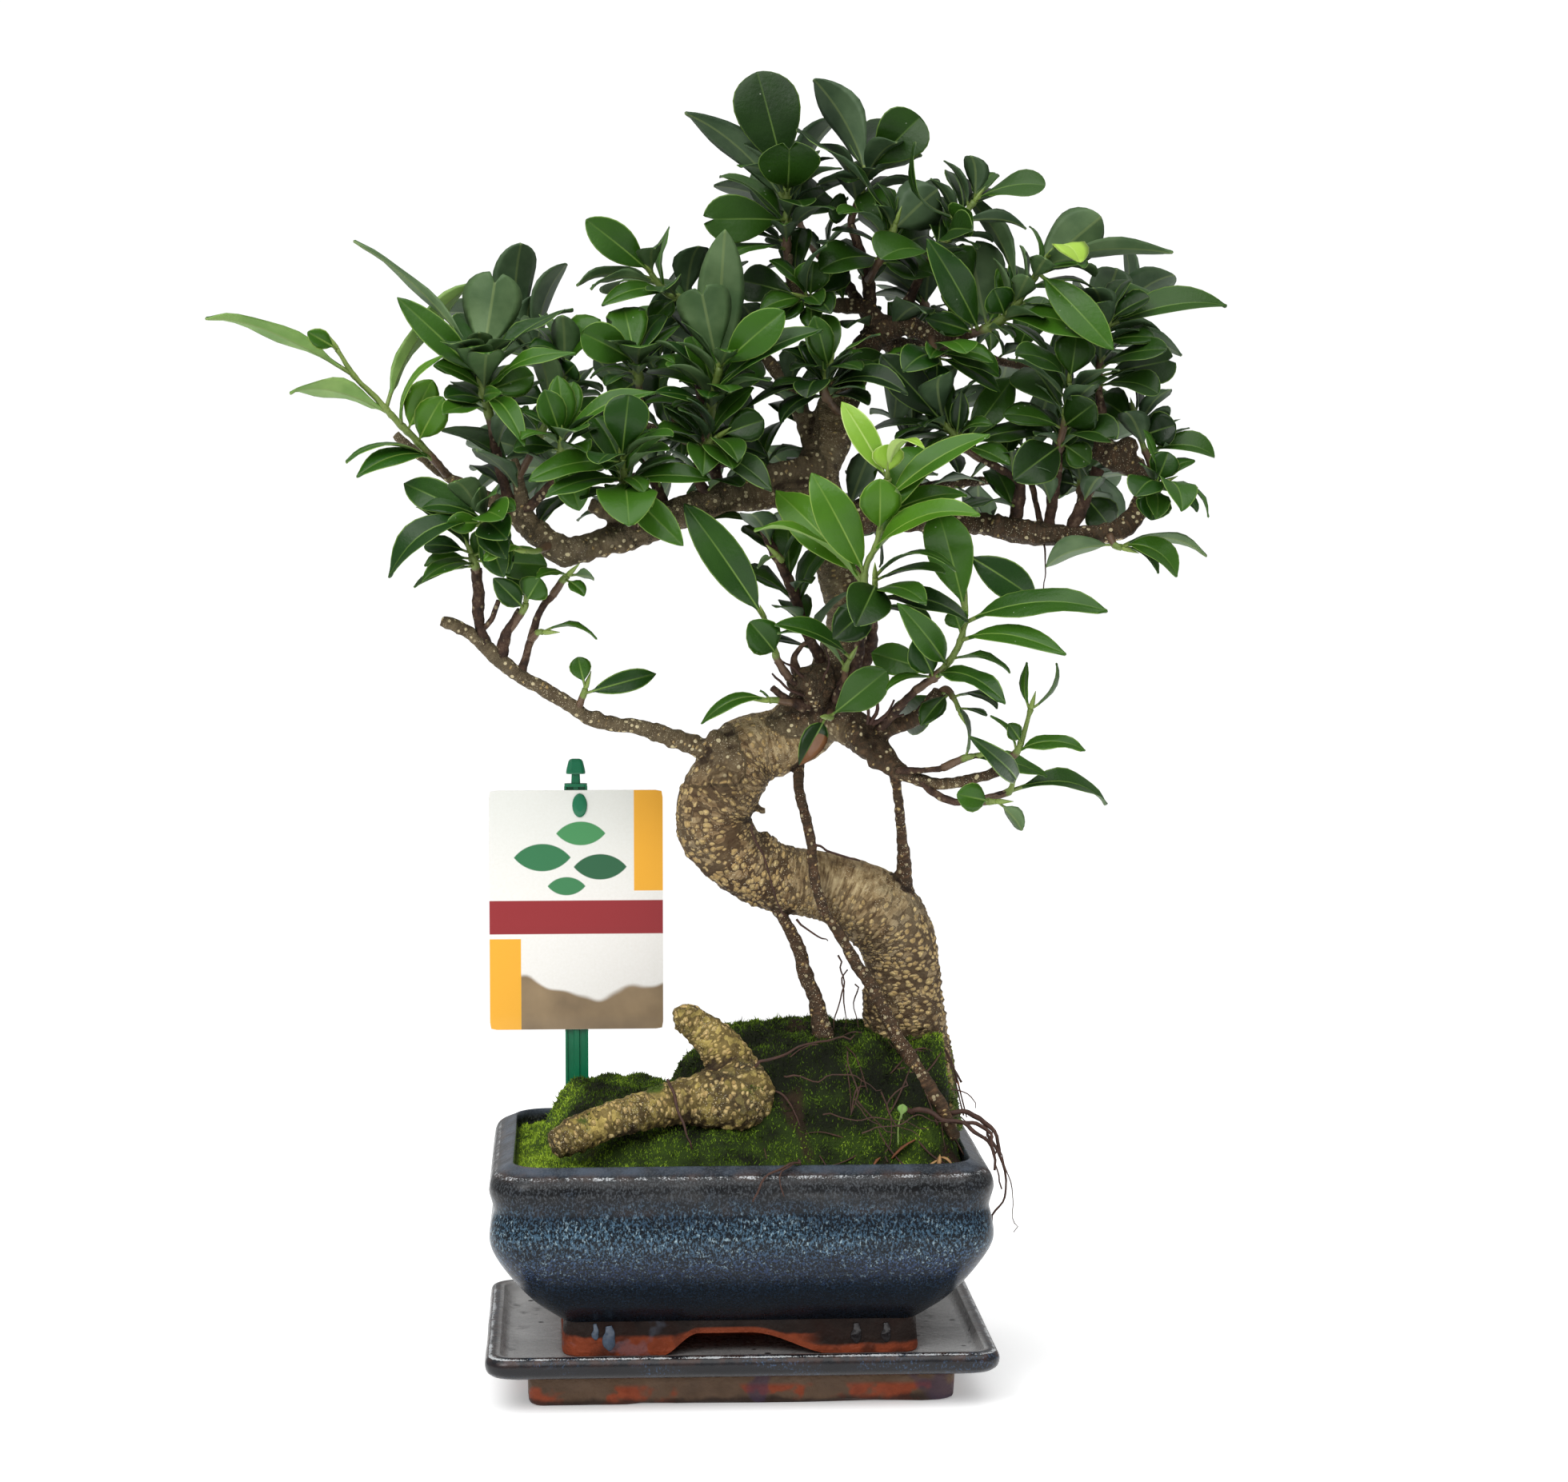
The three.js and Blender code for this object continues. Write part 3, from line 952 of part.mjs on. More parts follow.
function markerStake() {
  const shape = new THREE.Shape();
  const w = STAKE_HALF_WIDTH;
  const ribs = [
    [-w, -1.2], [-w, 1.6], [-w + 1.6, 1.6], [-w + 1.6, 0.4], [-0.8, 0.4], [-0.8, 1.6],
    [0.8, 1.6], [0.8, 0.4], [w - 1.6, 0.4], [w - 1.6, 1.6], [w, 1.6], [w, -1.2],
  ];
  ribs.forEach(([x, y], i) => (i === 0 ? shape.moveTo(x, y) : shape.lineTo(x, y)));
  const shaft = new THREE.ExtrudeGeometry(shape, { depth: STAKE_TOP - STAKE_BOTTOM, bevelEnabled: false });
  shaft.translate(STAKE_X, STAKE_DEPTH, STAKE_BOTTOM);
  const section = (z, half) => [[-half, -1.2], [half, -1.2], [half, 1.6], [-half, 1.6]]
    .map(([x, y]) => [STAKE_X + x, STAKE_DEPTH + y, z]);
  const steps = [[STAKE_TOP - 1, 2.6], [STAKE_TOP + 2, 3.4], [KNOB_TOP - 3, 3.4], [KNOB_TOP, 1.6]];
  const knob = loft(steps.map(([z, half]) => section(z, half)));
  const point = loft([section(STAKE_BOTTOM - 16, 0.8), section(STAKE_BOTTOM + 1, 3.1)]);
  return solidOf(shaft).add(knob).add(point);
}

function markerCard() {
  const front = STAKE_DEPTH - 1.2 - GAP;
  return box(STAKE_X - CARD_WIDTH / 2, STAKE_X + CARD_WIDTH / 2, front - CARD_THICKNESS, front, CARD_BOTTOM,
    CARD_BOTTOM + CARD_HEIGHT);
}

const group = new THREE.Group();

function place(name, solid, color, roughness) {
  const { vertProperties, triVerts } = solid.getMesh();
  const geometry = new THREE.BufferGeometry();
  geometry.setAttribute('position', new THREE.BufferAttribute(new Float32Array(vertProperties), 3));
  geometry.setIndex(Array.from(triVerts));
  geometry.computeVertexNormals();
  const mesh = new THREE.Mesh(geometry, new THREE.MeshStandardMaterial({ color, roughness, metalness: 0 }));
  mesh.name = name;
  group.add(mesh);
}

const shoots = stemsOf();
const wood = unite(SKELETON.map((limb) => limbTube(limb, 0)));
const grownWood = unite(SKELETON.map((limb) => limbTube(limb, GAP)));
const woodBalls = SKELETON.flatMap(([, , rows]) => (
  ballsAlong(rows.map(fromView), rows.map((row) => row[3]), -1)));
const leaves = growLeaves(shoots, woodBalls);

place('saucer', saucerSolid(), 0x4a4340, 0.5);
place('pot', potSolid(), 0x26323f, 0.35);
const stake = markerStake();
const stakeHole = box(
  STAKE_X - STAKE_HALF_WIDTH - GAP, STAKE_X + STAKE_HALF_WIDTH + GAP,
  STAKE_DEPTH - 1.2 - GAP, STAKE_DEPTH + 1.6 + GAP, STAKE_BOTTOM - 17, STAKE_TOP);
place('soil', largest(soilSolid().subtract(grownWood).subtract(stakeHole)), 0x33401d, 0.95);
place('trunk', largest(wood), 0x6d6250, 0.9);
place('marker_stake', stake, 0x1d7a55, 0.5);
place('marker_card', markerCard(), 0xe9e4da, 0.6);

// Places along a stem where its rings go: its bends, and a short cell for every few leaves
function stemCells(points, startLength, stemLeaves) {
  const lengths = points.slice(1).map((p, i) => size(sub(p, points[i])));
  const total = lengths.reduce((sum, l) => sum + l, 0);
  const places = stemLeaves.map(({ share }) => startLength + share * (total - startLength));
  const marks = places.sort((a, b) => a - b);
  const cells = [];
  for (let i = 0; i < marks.length; i += CELL_LEAVES) {
    const end = Math.max(marks[Math.min(i + CELL_LEAVES - 1, marks.length - 1)], STEM_START + 2 * CELL);
    cells.push([Math.min(end, total) - CELL, Math.min(end, total)]);
  }
  for (let i = cells.length - 2; i >= 0; i -= 1) {
    const over = cells[i][1] - cells[i + 1][0];
    if (over > 0) cells[i] = cells[i].map((place) => place - over);
  }
  const bends = [];
  lengths.reduce((sum, l) => bends.push(sum + l) && sum + l, 0);
  const clear = (b) => b > STEM_START + 1 && !cells.some(([a, z]) => b > a - 2.5 && b < z + 2.5);
  const free = bends.filter(clear);
  const rings = [STEM_START, ...free, ...cells.flat()].sort((a, b) => a - b);
  if (total - rings[rings.length - 1] > 0.8) rings.push(total);
  return { cells, total, rings: rings.filter((r, i) => i === 0 || r - rings[i - 1] > 0.05) };
}

// The walls of a skin that are inside out: the skin does not wrap round a point just behind them
function turnedWalls(points, triangles) {
  return triangles.filter((triangle) => {
    const [a, b, c] = triangle.map((i) => points[i]);
    const normal = cross(sub(b, a), sub(c, a));
    if (size(normal) < TINY) return false;
    const behind = sub(times(add(add(a, b), c), 1 / 3), times(unit(normal), TINY));
    let angle = 0;
    for (const corners of triangles) {
      const [x, y, z] = corners.map((i) => sub(points[i], behind));
      const [lx, ly, lz] = [size(x), size(y), size(z)];
      const across = lx * ly * lz + dot(x, y) * lz + dot(y, z) * lx + dot(z, x) * ly;
      angle += Math.atan2(dot(x, cross(y, z)), across);
    }
    return angle < Math.PI;
  });
}

// A shoot as one skin: a three-sided stem, and leaves that grow out of its facets
function skinShoot(shoot, stemLeaves, separate) {
  const { points: path, green } = shoot;
  const startLength = size(sub(green[0], path[0]));
  const { cells, total, rings } = stemCells(path, startLength, stemLeaves);
  const points = [];
  const triangles = [];
  const facets = [];
  let side = null;
  rings.forEach((place, r) => {
    const at = pointAlong(path, place / total);
    const ahead = pointAlong(path, Math.min(1, (place + 1.5) / total));
    const behind = pointAlong(path, Math.max(0, (place - 1.5) / total));
    const along = unit(sub(ahead, behind));
    if (side === null) side = Math.abs(along[1]) < 0.9 ? [0, 1, 0] : [1, 0, 0];
    side = unit(sub(side, times(along, dot(side, along))));
    const across = cross(along, side);
    for (let k = 0; k < 3; k += 1) {
      const angle = (2 * Math.PI * k) / 3;
      const offset = add(times(side, Math.cos(angle)), times(across, Math.sin(angle)));
      points.push(add(at, times(offset, stemRadius(place / total) * 1.2)));
    }
    if (r === 0) return;
    const short = cells.some(([a, z]) => place > a + 0.01 && place < z + 0.01);
    for (let k = 0; k < 3; k += 1) {
      const a = 3 * (r - 1) + k;
      const b = 3 * (r - 1) + ((k + 1) % 3);
      facets.push({ corners: [a, b, b + 3], short, place }, { corners: [a, b + 3, a + 3], short, place });
    }
  });
  const last = points.length - 3;
  facets.push({ corners: [last, last + 1, last + 2], short: true, place: total });
  const joined = stemLeaves.filter((leaf) => separate.has(leaf)).map((leaf) => leafSolid(leaf));
  const owners = new Map();
  const grown = [];
  for (const leaf of stemLeaves.filter((one) => !separate.has(one))) {
    const way = unit(sub(leafFrame(leaf, 0.2).point, leaf.base));
    const place = startLength + leaf.share * (total - startLength);
    let best = null;
    for (const facet of facets.filter(({ short, used }) => short && !used)) {
      const [a, b, c] = facet.corners.map((i) => points[i]);
      const normal = unit(cross(sub(b, a), sub(c, a)));
      const score = dot(normal, way) - 0.1 * Math.abs(facet.place - place);
      if (dot(normal, way) > LEAST_FACING && (best === null || score > best.score)) best = { facet, score };
    }
    const crosses = grown.some((other) => (
      !leafSolid(leaf, 0.08).intersect(leafSolid(other, 0.08)).isEmpty()));
    if (best === null || crosses) {
      joined.push(leafSolid(leaf));
    } else {
      grown.push(leaf);
      best.facet.used = true;
      const first = triangles.length;
      skinLeaf(leaf, points, triangles, best.facet.corners);
      for (const wall of triangles.slice(first)) owners.set(wall, leaf);
    }
  }
  triangles.push([0, 2, 1], ...facets.filter(({ used }) => !used).map(({ corners }) => corners));
  return { points, triangles, joined, owners };
}

// A leaf whose walls come out inside out becomes a solid of its own that is joined to the stem
function shootSolid(shoot, stemLeaves) {
  const separate = new Set();
  for (;;) {
    const { points, triangles, joined, owners } = skinShoot(shoot, stemLeaves, separate);
    const turned = turnedWalls(points, triangles).map((wall) => owners.get(wall)).filter(Boolean);
    if (turned.length === 0) return unite([solidFrom(points, triangles), ...joined]);
    separate.add(turned[0]);
  }
}

for (const name of new Set(shoots.map((shoot) => shoot.name))) {
  const own = shoots.filter((shoot) => shoot.name === name);
  const solids = own.map((shoot) => shootSolid(shoot, leaves.filter((leaf) => leaf.owner === shoot.owner)));
  place(`spray_${name}`, largest(unite(solids).subtract(grownWood)), TONES[own[0].tone], 0.45);
}

export default group;
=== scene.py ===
"""The looks of a chinese banyan bonsai (Ficus microcarpa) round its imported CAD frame.
Measures are millimetres until a mesh is made, in the CAD's own frame."""
import math

import bpy
import numpy as np
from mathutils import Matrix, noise
from mathutils.kdtree import KDTree


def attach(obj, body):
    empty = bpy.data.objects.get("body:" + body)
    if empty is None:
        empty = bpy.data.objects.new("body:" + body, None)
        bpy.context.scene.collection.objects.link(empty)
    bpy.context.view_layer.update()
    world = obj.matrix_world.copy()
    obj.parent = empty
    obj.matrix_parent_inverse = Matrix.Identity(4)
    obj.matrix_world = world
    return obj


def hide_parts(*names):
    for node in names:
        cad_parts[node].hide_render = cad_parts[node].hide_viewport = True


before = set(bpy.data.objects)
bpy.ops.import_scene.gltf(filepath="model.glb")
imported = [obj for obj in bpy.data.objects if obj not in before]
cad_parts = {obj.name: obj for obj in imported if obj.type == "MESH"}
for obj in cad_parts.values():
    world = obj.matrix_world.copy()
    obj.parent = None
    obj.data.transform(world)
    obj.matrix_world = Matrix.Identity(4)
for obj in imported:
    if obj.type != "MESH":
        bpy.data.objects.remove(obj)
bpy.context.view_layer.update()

# Driving sizes, the same as in the CAD source; profiles are rows of [level, how far in from the widest]
GAP = 0.3
POT_HALF_WIDTH = 100
POT_HALF_DEPTH = 76
POT_CORNER = 17
FOOT_HALF_WIDTH = 72
FOOT_HALF_DEPTH = 48
SAUCER_HALF_WIDTH = 102
SAUCER_HALF_DEPTH = 73.5
SAUCER_CORNER = 9
SAUCER_FLOOR = 17.5
FOOT_TOP = 33
SOIL_RIM_LEVEL = 92
POT_OUTSIDE = [
    [30.5, 31], [32, 28.5], [35.5, 24], [41, 17.5], [49, 10.5], [58.5, 3.9], [65, 0.7], [70, 0],
    [76, 0.9], [80, 1.8], [84, 0.9], [88, 0], [92, 0.8], [94.8, 3], [97.5, 8.2], [98, 9],
]
POT_INSIDE = [[34, 37], [39, 33], [45, 26], [52, 19], [60, 13], [70, 10], [88, 10], [97.5, 9.6]]
SAUCER_OUTSIDE = [[14.8, 2.6], [16.6, 0.7], [19.8, 0], [22, 0.9], [22.8, 2.4], [23, 3.8]]
SAUCER_INSIDE = [[22.8, 5.6], [19, 7.2], [17.5, 9]]
SOIL_EDGE_RISE = 14
MOUNDS = [
    [30, 4, 60, 50, 49], [72, 2, 24, 42, 47], [-46, 8, 32, 44, 25], [-4, -22, 60, 34, 16],
]
STAKE_X = -65
STAKE_DEPTH = 30
CARD_WIDTH = 72
CARD_HEIGHT = 100
CARD_BOTTOM = 138

# Tree measures, the same as in the CAD source
EYE = [-67, -1531, 382]
LEAF_ARCH = 0.1
STEM_RADIUS = [1.7, 0.9]
STALK_LEAST = 3.4
LEAF_CLEARANCE = 3.2
SAMPLE_STEP = 4
WOOD_CLEARANCE = 1.1
OWN_CLEARANCE = 1.6
BLADE_STEPS = [[0, 0.09], [0.14, 0.1], [0.46, 1], [0.78, 0.8]]
FACINGS = {
    'front': [0, -1, 0.12],
    'steep': [0, -0.62, 0.78],
    'up': [0, -0.2, 1],
    'below': [0, 0.55, 0.85],
    'back': [0, 1, 0.2],
    'left': [-1, -0.4, 0.3],
    'right': [1, -0.4, 0.3],
}
DEPTH_SHIFTS = [0, 5, -5, 10, -10, 15, -15, 21, -21, 28, -28]

# Branches as seen: each row is a name and its points
# [x, z on the plane through the trunk as the viewer sees it, depth behind that plane, radius]
LIMBS = [
  ['trunk', [
    [73, 98, 8, 20.3], [71, 122, 8, 19.6], [69, 147, 6, 17], [68, 165, 4, 15.4], [65, 182, 2, 16.3],
    [54, 193, 0, 16.3], [38, 200, 0, 14.4], [18, 204, -2, 14.1], [1, 212, -3, 14.1],
    [-9, 228, -3, 15.4], [-4, 243, -3, 15.7], [5, 256, -3, 14.7], [20, 261, -2, 13.4],
    [33, 272, 0, 13.1], [43, 292, 0, 10.8], [47, 311, 0, 9.8], [41, 334, 0, 9.2], [36, 354, 0, 9.2],
    [34, 370, 0, 8.8], [38, 383, 0, 9.2], [41, 393, 0, 8.5], [46, 405, 0, 6.5], [52, 418, 0, 5.6],
    [57, 426, 0, 4.9], [59, 434, 1, 3.3],
  ]],
  ['leader', [
    [56, 426, 0, 3.9], [54, 436, 3, 3.3], [39, 437, 5, 2.9], [27, 440, 3, 2.6], [22, 449, 0, 2],
    [22, 458, 0, 1.6],
  ]],
  ['leader_right', [
    [55, 431, 3, 2.9], [54, 447, 6, 2.6], [50, 461, 8, 2], [47, 470, 8, 1.6],
  ]],
  ['crown_right', [
    [56, 425, 0, 4.9], [69, 429, -3, 4.6], [85, 423, -6, 2.9], [97, 426, -8, 2],
  ]],
  ['crown_upper', [
    [65, 430, -3, 2.9], [71, 440, -4, 2.3], [76, 451, -6, 1.6],
  ]],
  ['left_fork', [
    [34, 375, 0, 4.6], [28, 391, 1, 3.9], [22, 402, 5, 3.3], [15, 413, 9, 2.6], [7, 423, 10, 2],
  ]],
  ['cut_stub', [
    [33, 371, -4, 5.2], [22, 370, -9, 4.6], [14, 369, -12, 4.2],
  ]],
  ['left', [
    [31, 367, 0, 8.5], [13, 362, -5, 7.5], [-6, 359, -10, 6.5], [-26, 352, -14, 6.5],
    [-39, 346, -18, 6.2], [-55, 341, -22, 5.6], [-69, 338, -25, 5.9], [-82, 347, -23, 4.9],
    [-92, 355, -20, 3.9], [-103, 361, -16, 2.9], [-116, 368, -12, 2.3], [-129, 378, -10, 2],
    [-137, 385, -10, 2],
  ]],
  ['left_spur', [
    [-35, 347, -17, 4.2], [-48, 352, -19, 3.6], [-59, 357, -20, 2.9],
  ]],
  ['left_riser', [
    [-80, 342, -24, 3.9], [-85, 355, -24, 3.3], [-88, 367, -25, 2.6], [-90, 375, -26, 2],
  ]],
  ['left_top_twig', [
    [-90, 354, -20, 2.6], [-94, 367, -22, 2.3], [-97, 380, -25, 2], [-99, 391, -27, 1.3],
  ]],
  ['left_front_twig', [
    [-85, 354, -25, 2.3], [-76, 363, -30, 2], [-70, 370, -36, 1.6], [-70, 375, -40, 1.3],
  ]],
  ['left_up', [
    [-9, 356, -12, 2.6], [-15, 368, -17, 2], [-13, 380, -20, 1.6], [-10, 390, -24, 1.3],
  ]],
  ['centre_left_twig', [
    [-39, 343, -18, 2.6], [-42, 352, -27, 2], [-44, 360, -36, 1.6],
  ]],
  ['left_back_twig', [
    [-6, 360, -6, 2.6], [-11, 386, 4, 2.3], [-16, 415, 8, 2], [-16, 431, 8, 1.6], [-21, 439, 5, 1.3],
  ]],
  ['left_mid_twig', [
    [-27, 352, -12, 2.3], [-35, 373, -8, 2], [-38, 392, -10, 1.6], [-39, 405, -15, 1.3],
  ]],
  ['inner_twig', [
    [38, 288, -4, 2.9], [29, 305, -12, 2.3], [23, 323, -17, 2.3], [16, 337, -19, 2],
    [10, 349, -20, 1.6],
  ]],
  ['low_left', [
    [-1, 250, -4, 5.2], [-13, 257, -9, 4.2], [-23, 261, -12, 3.9], [-39, 266, -17, 3.3],
    [-57, 269, -20, 2.9], [-65, 274, -22, 2.9], [-75, 280, -24, 2.9], [-87, 287, -24, 2.9],
    [-97, 295, -24, 3.3], [-104, 302, -24, 2.9], [-112, 307, -24, 2.6], [-119, 310, -24, 2.6],
  ]],
  ['low_left_a', [
    [-101, 299, -24, 2.6], [-104, 310, -25, 2.3], [-104, 321, -27, 2.6], [-105, 331, -28, 2.3],
  ]],
  ['low_left_a2', [
    [-104, 305, -25, 1.3], [-99, 310, -27, 1.1], [-96, 318, -29, 1],
  ]],
  ['low_left_b', [
    [-95, 295, -24, 2.6], [-93, 304, -25, 2.3], [-87, 314, -27, 1.6],
  ]],
  ['low_left_c', [
    [-87, 288, -24, 2], [-83, 302, -25, 1.6], [-79, 314, -27, 1.6], [-74, 320, -28, 1.3],
    [-70, 325, -29, 1],
  ]],
  ['mid_right', [
    [36, 271, -4, 7.8], [50, 264, -13, 7.8], [58, 256, -19, 5.9], [67, 248, -25, 3.6],
    [79, 243, -30, 2.6], [92, 243, -34, 2.3], [110, 248, -38, 2],
  ]],
  ['mid_upper', [
    [54, 264, -15, 4.6], [65, 266, -20, 3.3], [76, 271, -25, 3.3], [84, 280, -30, 3.6],
  ]],
  ['mid_lower', [
    [75, 245, -29, 2], [81, 239, -32, 1.6], [90, 235, -34, 1.6], [102, 236, -37, 1.5],
    [112, 239, -40, 1.3],
  ]],
  ['mid_thin', [
    [66, 248, -27, 1.6], [76, 248, -33, 1.3], [85, 249, -37, 1.3], [95, 253, -42, 1.3],
    [105, 255, -46, 1],
  ]],
  ['mid_thin_end', [
    [103, 255, -45, 1.1], [108, 253, -48, 1], [114, 254, -51, 1],
  ]],
  ['right_front_twig', [
    [59, 265, -20, 2.3], [66, 273, -28, 2], [74, 281, -38, 1.6], [81, 286, -46, 1.6],
  ]],
  ['front_twig', [
    [41, 277, -14, 2.6], [48, 288, -25, 2.6], [51, 302, -32, 2.3], [52, 311, -37, 1.6],
  ]],
  ['front_twig_two', [
    [43, 282, -16, 2.6], [54, 295, -22, 2.9], [56, 306, -30, 2.3], [56, 313, -38, 1.6],
  ]],
  ['knot_left', [
    [38, 285, -10, 7.2], [28, 284, -14, 6.5], [23, 281, -15, 3.3],
  ]],
  ['cut_twig', [
    [30, 275, -12, 2.9], [22, 277, -18, 1.6], [15, 282, -20, 1.6],
  ]],
  ['leaf_twig', [
    [28, 273, -14, 1.6], [23, 276, -18, 1.3], [17, 277, -20, 1],
  ]],
  ['hang_twig', [
    [30, 281, -15, 1.6], [22, 286, -20, 1.6], [17, 293, -25, 1.3],
  ]],
  ['dead_twig', [
    [30, 284, -12, 2.6], [25, 289, -14, 2.3], [24, 294, -15, 1.3], [27, 299, -16, 1.1],
    [32, 302, -17, 1],
  ]],
  ['right', [
    [41, 350, 0, 7.2], [56, 351, -2, 5.6], [85, 350, -8, 4.9], [105, 348, -10, 4.6],
    [121, 345, -12, 5.2], [141, 344, -12, 3.9], [156, 346, -12, 4.2], [164, 353, -10, 4.2],
    [168, 364, -8, 3.6], [170, 370, -6, 2.6],
  ]],
  ['right_a', [
    [114, 349, -10, 2.9], [116, 365, -11, 2.3], [108, 371, -12, 1.6], [100, 375, -13, 1.3],
    [94, 379, -14, 1.3],
  ]],
  ['right_b', [
    [125, 347, -12, 1.3], [121, 365, -8, 1.3], [118, 380, -2, 1],
  ]],
  ['right_c', [
    [128, 347, -12, 2.6], [130, 362, -14, 2.3], [132, 370, -15, 1.6], [132, 379, -16, 1.3],
  ]],
  ['right_d', [
    [137, 346, -12, 2.9], [144, 361, -10, 2.6], [148, 371, -8, 2.6],
  ]],
  ['right_knot', [
    [168, 367, -8, 2.9], [161, 373, -7, 5.2], [153, 377, -6, 5.6], [146, 378, -6, 2.9],
  ]],
  ['right_top_twig', [
    [152, 376, -6, 2.6], [150, 391, -6, 2], [148, 403, -6, 1.6],
  ]],
  ['back_left', [
    [30, 363, 3, 3.9], [4, 375, 25, 2.9], [-22, 384, 45, 2.3], [-47, 392, 55, 1.6],
    [-66, 399, 59, 1.3],
  ]],
  ['back_left_low', [
    [4, 375, 25, 2.3], [-26, 370, 52, 2], [-51, 367, 67, 1.5],
  ]],
  ['back_top', [
    [56, 430, 3, 2.9], [44, 447, 25, 2.3], [33, 458, 39, 1.6],
  ]],
  ['back_right', [
    [55, 423, 3, 3.6], [82, 419, 29, 2.6], [106, 415, 47, 2], [131, 409, 55, 1.5],
  ]],
  ['back_low_right', [
    [42, 352, 3, 3.6], [62, 360, 29, 2.9], [88, 365, 49, 2.3], [112, 367, 60, 1.6],
  ]],
  ['back_low', [
    [43, 289, 3, 3.6], [48, 302, 27, 2.6], [47, 316, 47, 2], [43, 329, 57, 1.5],
  ]],
]

# Aerial roots, in the same form
PROP_ROOTS = [
  ['prop_front', [
    [26, 251, -6, 2.9], [26, 241, -16, 2.9], [28, 232, -20, 2.9], [31, 218, -22, 2.9],
    [32, 206, -22, 2.9], [36, 191, -22, 2.9], [43, 180, -22, 2.9], [49, 169, -22, 3.3],
    [56, 159, -24, 3.3], [65, 141, -27, 3.6], [74, 126, -30, 3.9], [85, 108, -36, 3.9],
    [91, 95, -40, 2.9],
  ]],
  ['prop_left', [
    [14, 195, -6, 2.9], [21, 185, -10, 3.3], [26, 174, -12, 3.6], [29, 163, -13, 3.9],
    [33, 153, -14, 4.2], [36, 137, -16, 5.9], [38, 120, -18, 7.8],
  ]],
  ['prop_right', [
    [65, 247, -24, 2.9], [67, 235, -20, 2.6], [68, 222, -12, 2.9], [69, 210, -6, 3.9],
    [69, 196, 0, 5.9],
  ]],
]

